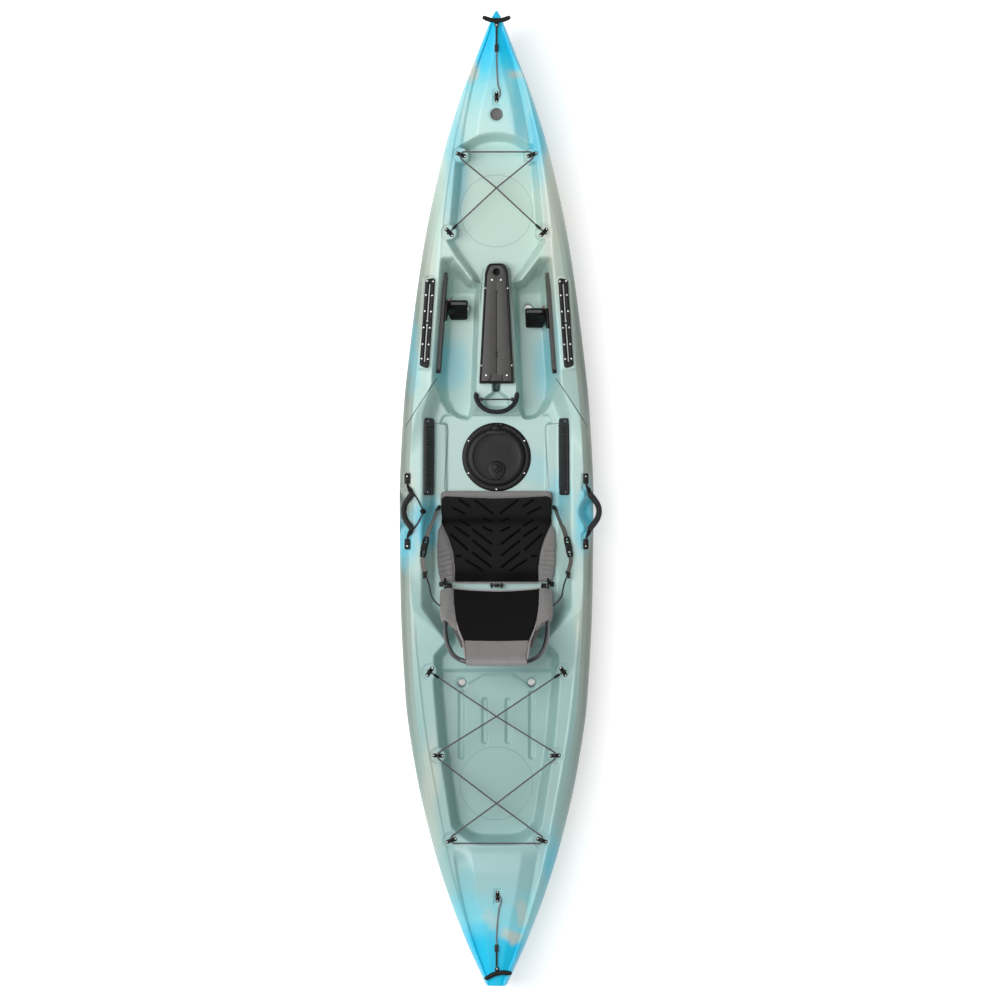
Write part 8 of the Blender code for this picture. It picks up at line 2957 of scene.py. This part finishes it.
@dataclass(frozen=True)
class Studio:
    """A pale floor, soft light from the port side, and a camera straight above."""

    camera_height: float = 18.0
    metres_per_pixel: float = 0.00407
    centre_px: tuple[float, float] = (496.5, 500.0)
    size_px: float = 1000.0
    gunwale_height: float = 0.27
    sensor_mm: float = 36.0
    floor_glow: float = 0.5

    def build(self) -> None:
        """Makes the floor, the camera, the lamps and the world."""
        self.floor()
        self.camera()
        self.lamps()
        bpy.context.scene.view_settings.view_transform = "Standard"

    def floor(self) -> None:
        """The plain pale floor, which the camera sees as white but which keeps a faint shadow."""
        bm = bmesh.new()
        bmesh.ops.create_grid(bm, x_segments=8, y_segments=8, size=14.0)
        mesh = bpy.data.meshes.new("floor")
        bm.to_mesh(mesh)
        bm.free()
        floor = bpy.data.objects.new("floor", mesh)
        bpy.context.scene.collection.objects.link(floor)
        paper = bpy.data.materials.new("studio paper")
        paper.use_nodes = True
        tree = paper.node_tree
        shader = tree.nodes["Principled BSDF"]
        shader.inputs["Base Color"].default_value = linear("#e9e9e8")
        shader.inputs["Roughness"].default_value = 0.9
        path = add(tree, "ShaderNodeLightPath")
        seen = greatest(tree, [path.outputs[f"Is {ray} Ray"] for ray in ("Camera", "Glossy", "Transmission")])
        glow = maths(tree, "MULTIPLY", seen, self.floor_glow)
        shader.inputs["Emission Color"].default_value = (1.0, 1.0, 1.0, 1.0)
        tree.links.new(glow, shader.inputs["Emission Strength"])
        mesh.materials.append(paper)

    def camera(self) -> None:
        """The camera, straight above, whose frame is the photograph's."""
        data = bpy.data.cameras.new("camera")
        camera = bpy.data.objects.new("camera", data)
        bpy.context.scene.collection.objects.link(camera)
        width = self.size_px * self.metres_per_pixel
        data.sensor_width = self.sensor_mm
        data.lens = self.sensor_mm * (self.camera_height - self.gunwale_height) / width
        data.clip_end = 100.0
        x = (self.size_px / 2 - self.centre_px[0]) * self.metres_per_pixel
        y = (self.centre_px[1] - self.size_px / 2) * self.metres_per_pixel
        camera.location = (x, y, self.camera_height)
        bpy.context.scene.camera = camera

    def lamps(self) -> None:
        """A broad high light from port, a low strip for the long highlights, a weak fill, and pale walls."""
        for name, place, target, size, watts in (
            ("key", (-3.9, 0.6, 9.6), (0.0, 0.0, 0.2), (4.5, 8.0), 830.0),
            ("strip", (-9.0, 0.0, 6.2), (0.0, 0.0, 0.2), (0.8, 8.0), 100.0),
            ("fill", (1.6, -0.6, 9.8), (0.0, 0.0, 0.2), (4.0, 8.0), 60.0),
        ):
            data = bpy.data.lights.new(name, "AREA")
            data.shape = "RECTANGLE"
            data.size, data.size_y = size
            data.energy = watts
            lamp = bpy.data.objects.new(name, data)
            lamp.location = place
            lamp.rotation_euler = (Vector(target) - Vector(place)).to_track_quat("-Z", "Y").to_euler()
            bpy.context.scene.collection.objects.link(lamp)
        world = bpy.data.worlds.new("room")
        bpy.context.scene.world = world
        world.use_nodes = True
        tree = world.node_tree
        ground = tree.nodes["Background"]
        place = add(tree, "ShaderNodeTexCoord").outputs["Generated"]
        height = add(tree, "ShaderNodeSeparateXYZ", inputs={0: place}).outputs["Z"]
        level = ranged(tree, height, 0.10, 0.75, 1.0, 0.10, soft_ends=True)
        ground.inputs["Color"].default_value = (1.0, 1.0, 1.0, 1.0)
        tree.links.new(level, ground.inputs["Strength"])


def main() -> None:
    """Builds the studio, the cords and every other piece."""
    logging.basicConfig(level=logging.INFO, format="%(message)s")
    Studio().build()
    hull = Hull()
    EndToggle(
        hull, "bow", 1, sleeve=(1.812, 1.842), stem_y=1.915, grip_y=1.9405, sweep=0.013, yaw=0.0, eye_x=0.0,
        eye_y=1.632,
    ).build()
    EndToggle(
        hull, "stern", -1, sleeve=(-1.803, -1.833), stem_y=-1.896, grip_y=-1.9215, sweep=0.010, yaw=12.0,
        eye_x=0.004, eye_y=-1.610,
    ).build()
    LacedCord(
        hull, "bow_well_bungee", ("bow_rear_left", "bow_front_right", "bow_front_left", "bow_rear_right"),
        ((0.57, 0.005), None, (0.43, -0.004)),
    ).build()
    LacedCord(
        hull, "tank_well_bungee",
        (
            "tank_front_left", "tank_middle_right", "tank_rear_left", "tank_rear_right", "tank_middle_left",
            "tank_front_right",
        ),
        ((0.53, 0.005), (0.56, 0.005), None, (0.44, -0.004), (0.47, -0.004)),
    ).build()
    PaddleKeeper().build()
    hull.build()
    Hatch().build()
    Console().build()
    for side in Side:
        Rail(side).build()
        SidePad(side).build()
    FootBrace(Side.STARBOARD, pedal_y=0.743).build()
    FootBrace(Side.PORT, pedal_y=0.775).build()
    CarryHandle(Side.STARBOARD, lean=24.0, line=(
        (-0.046, 0.0600, 0.0), (-0.020, 0.0540, 0.0), (0.004, 0.0370, 0.0), (0.022, 0.0200, 0.0020),
        (0.032, 0.0150, 0.0050), (0.043, 0.0090, 0.0085), (0.056, 0.0020, 0.0045), (0.067, 0.0, 0.0),
        (0.084, 0.0, 0.0),
    )).build()
    CarryHandle(Side.PORT, line=(
        (-0.046, 0.0135, 0.0135), (-0.020, 0.0095, 0.0135), (0.004, -0.0040, 0.0135), (0.022, -0.0170, 0.0135),
        (0.032, -0.0160, 0.0128), (0.043, -0.0105, 0.0105), (0.056, -0.0025, 0.0040), (0.067, 0.0, 0.0),
        (0.084, 0.0, 0.0),
    )).build()
    CentreHandle().build()
    DeckBadge(hull).build()
    Seat().build()
    for side in Side:
        SeatStrap(side).build()


if __name__ == "__main__":
    main()
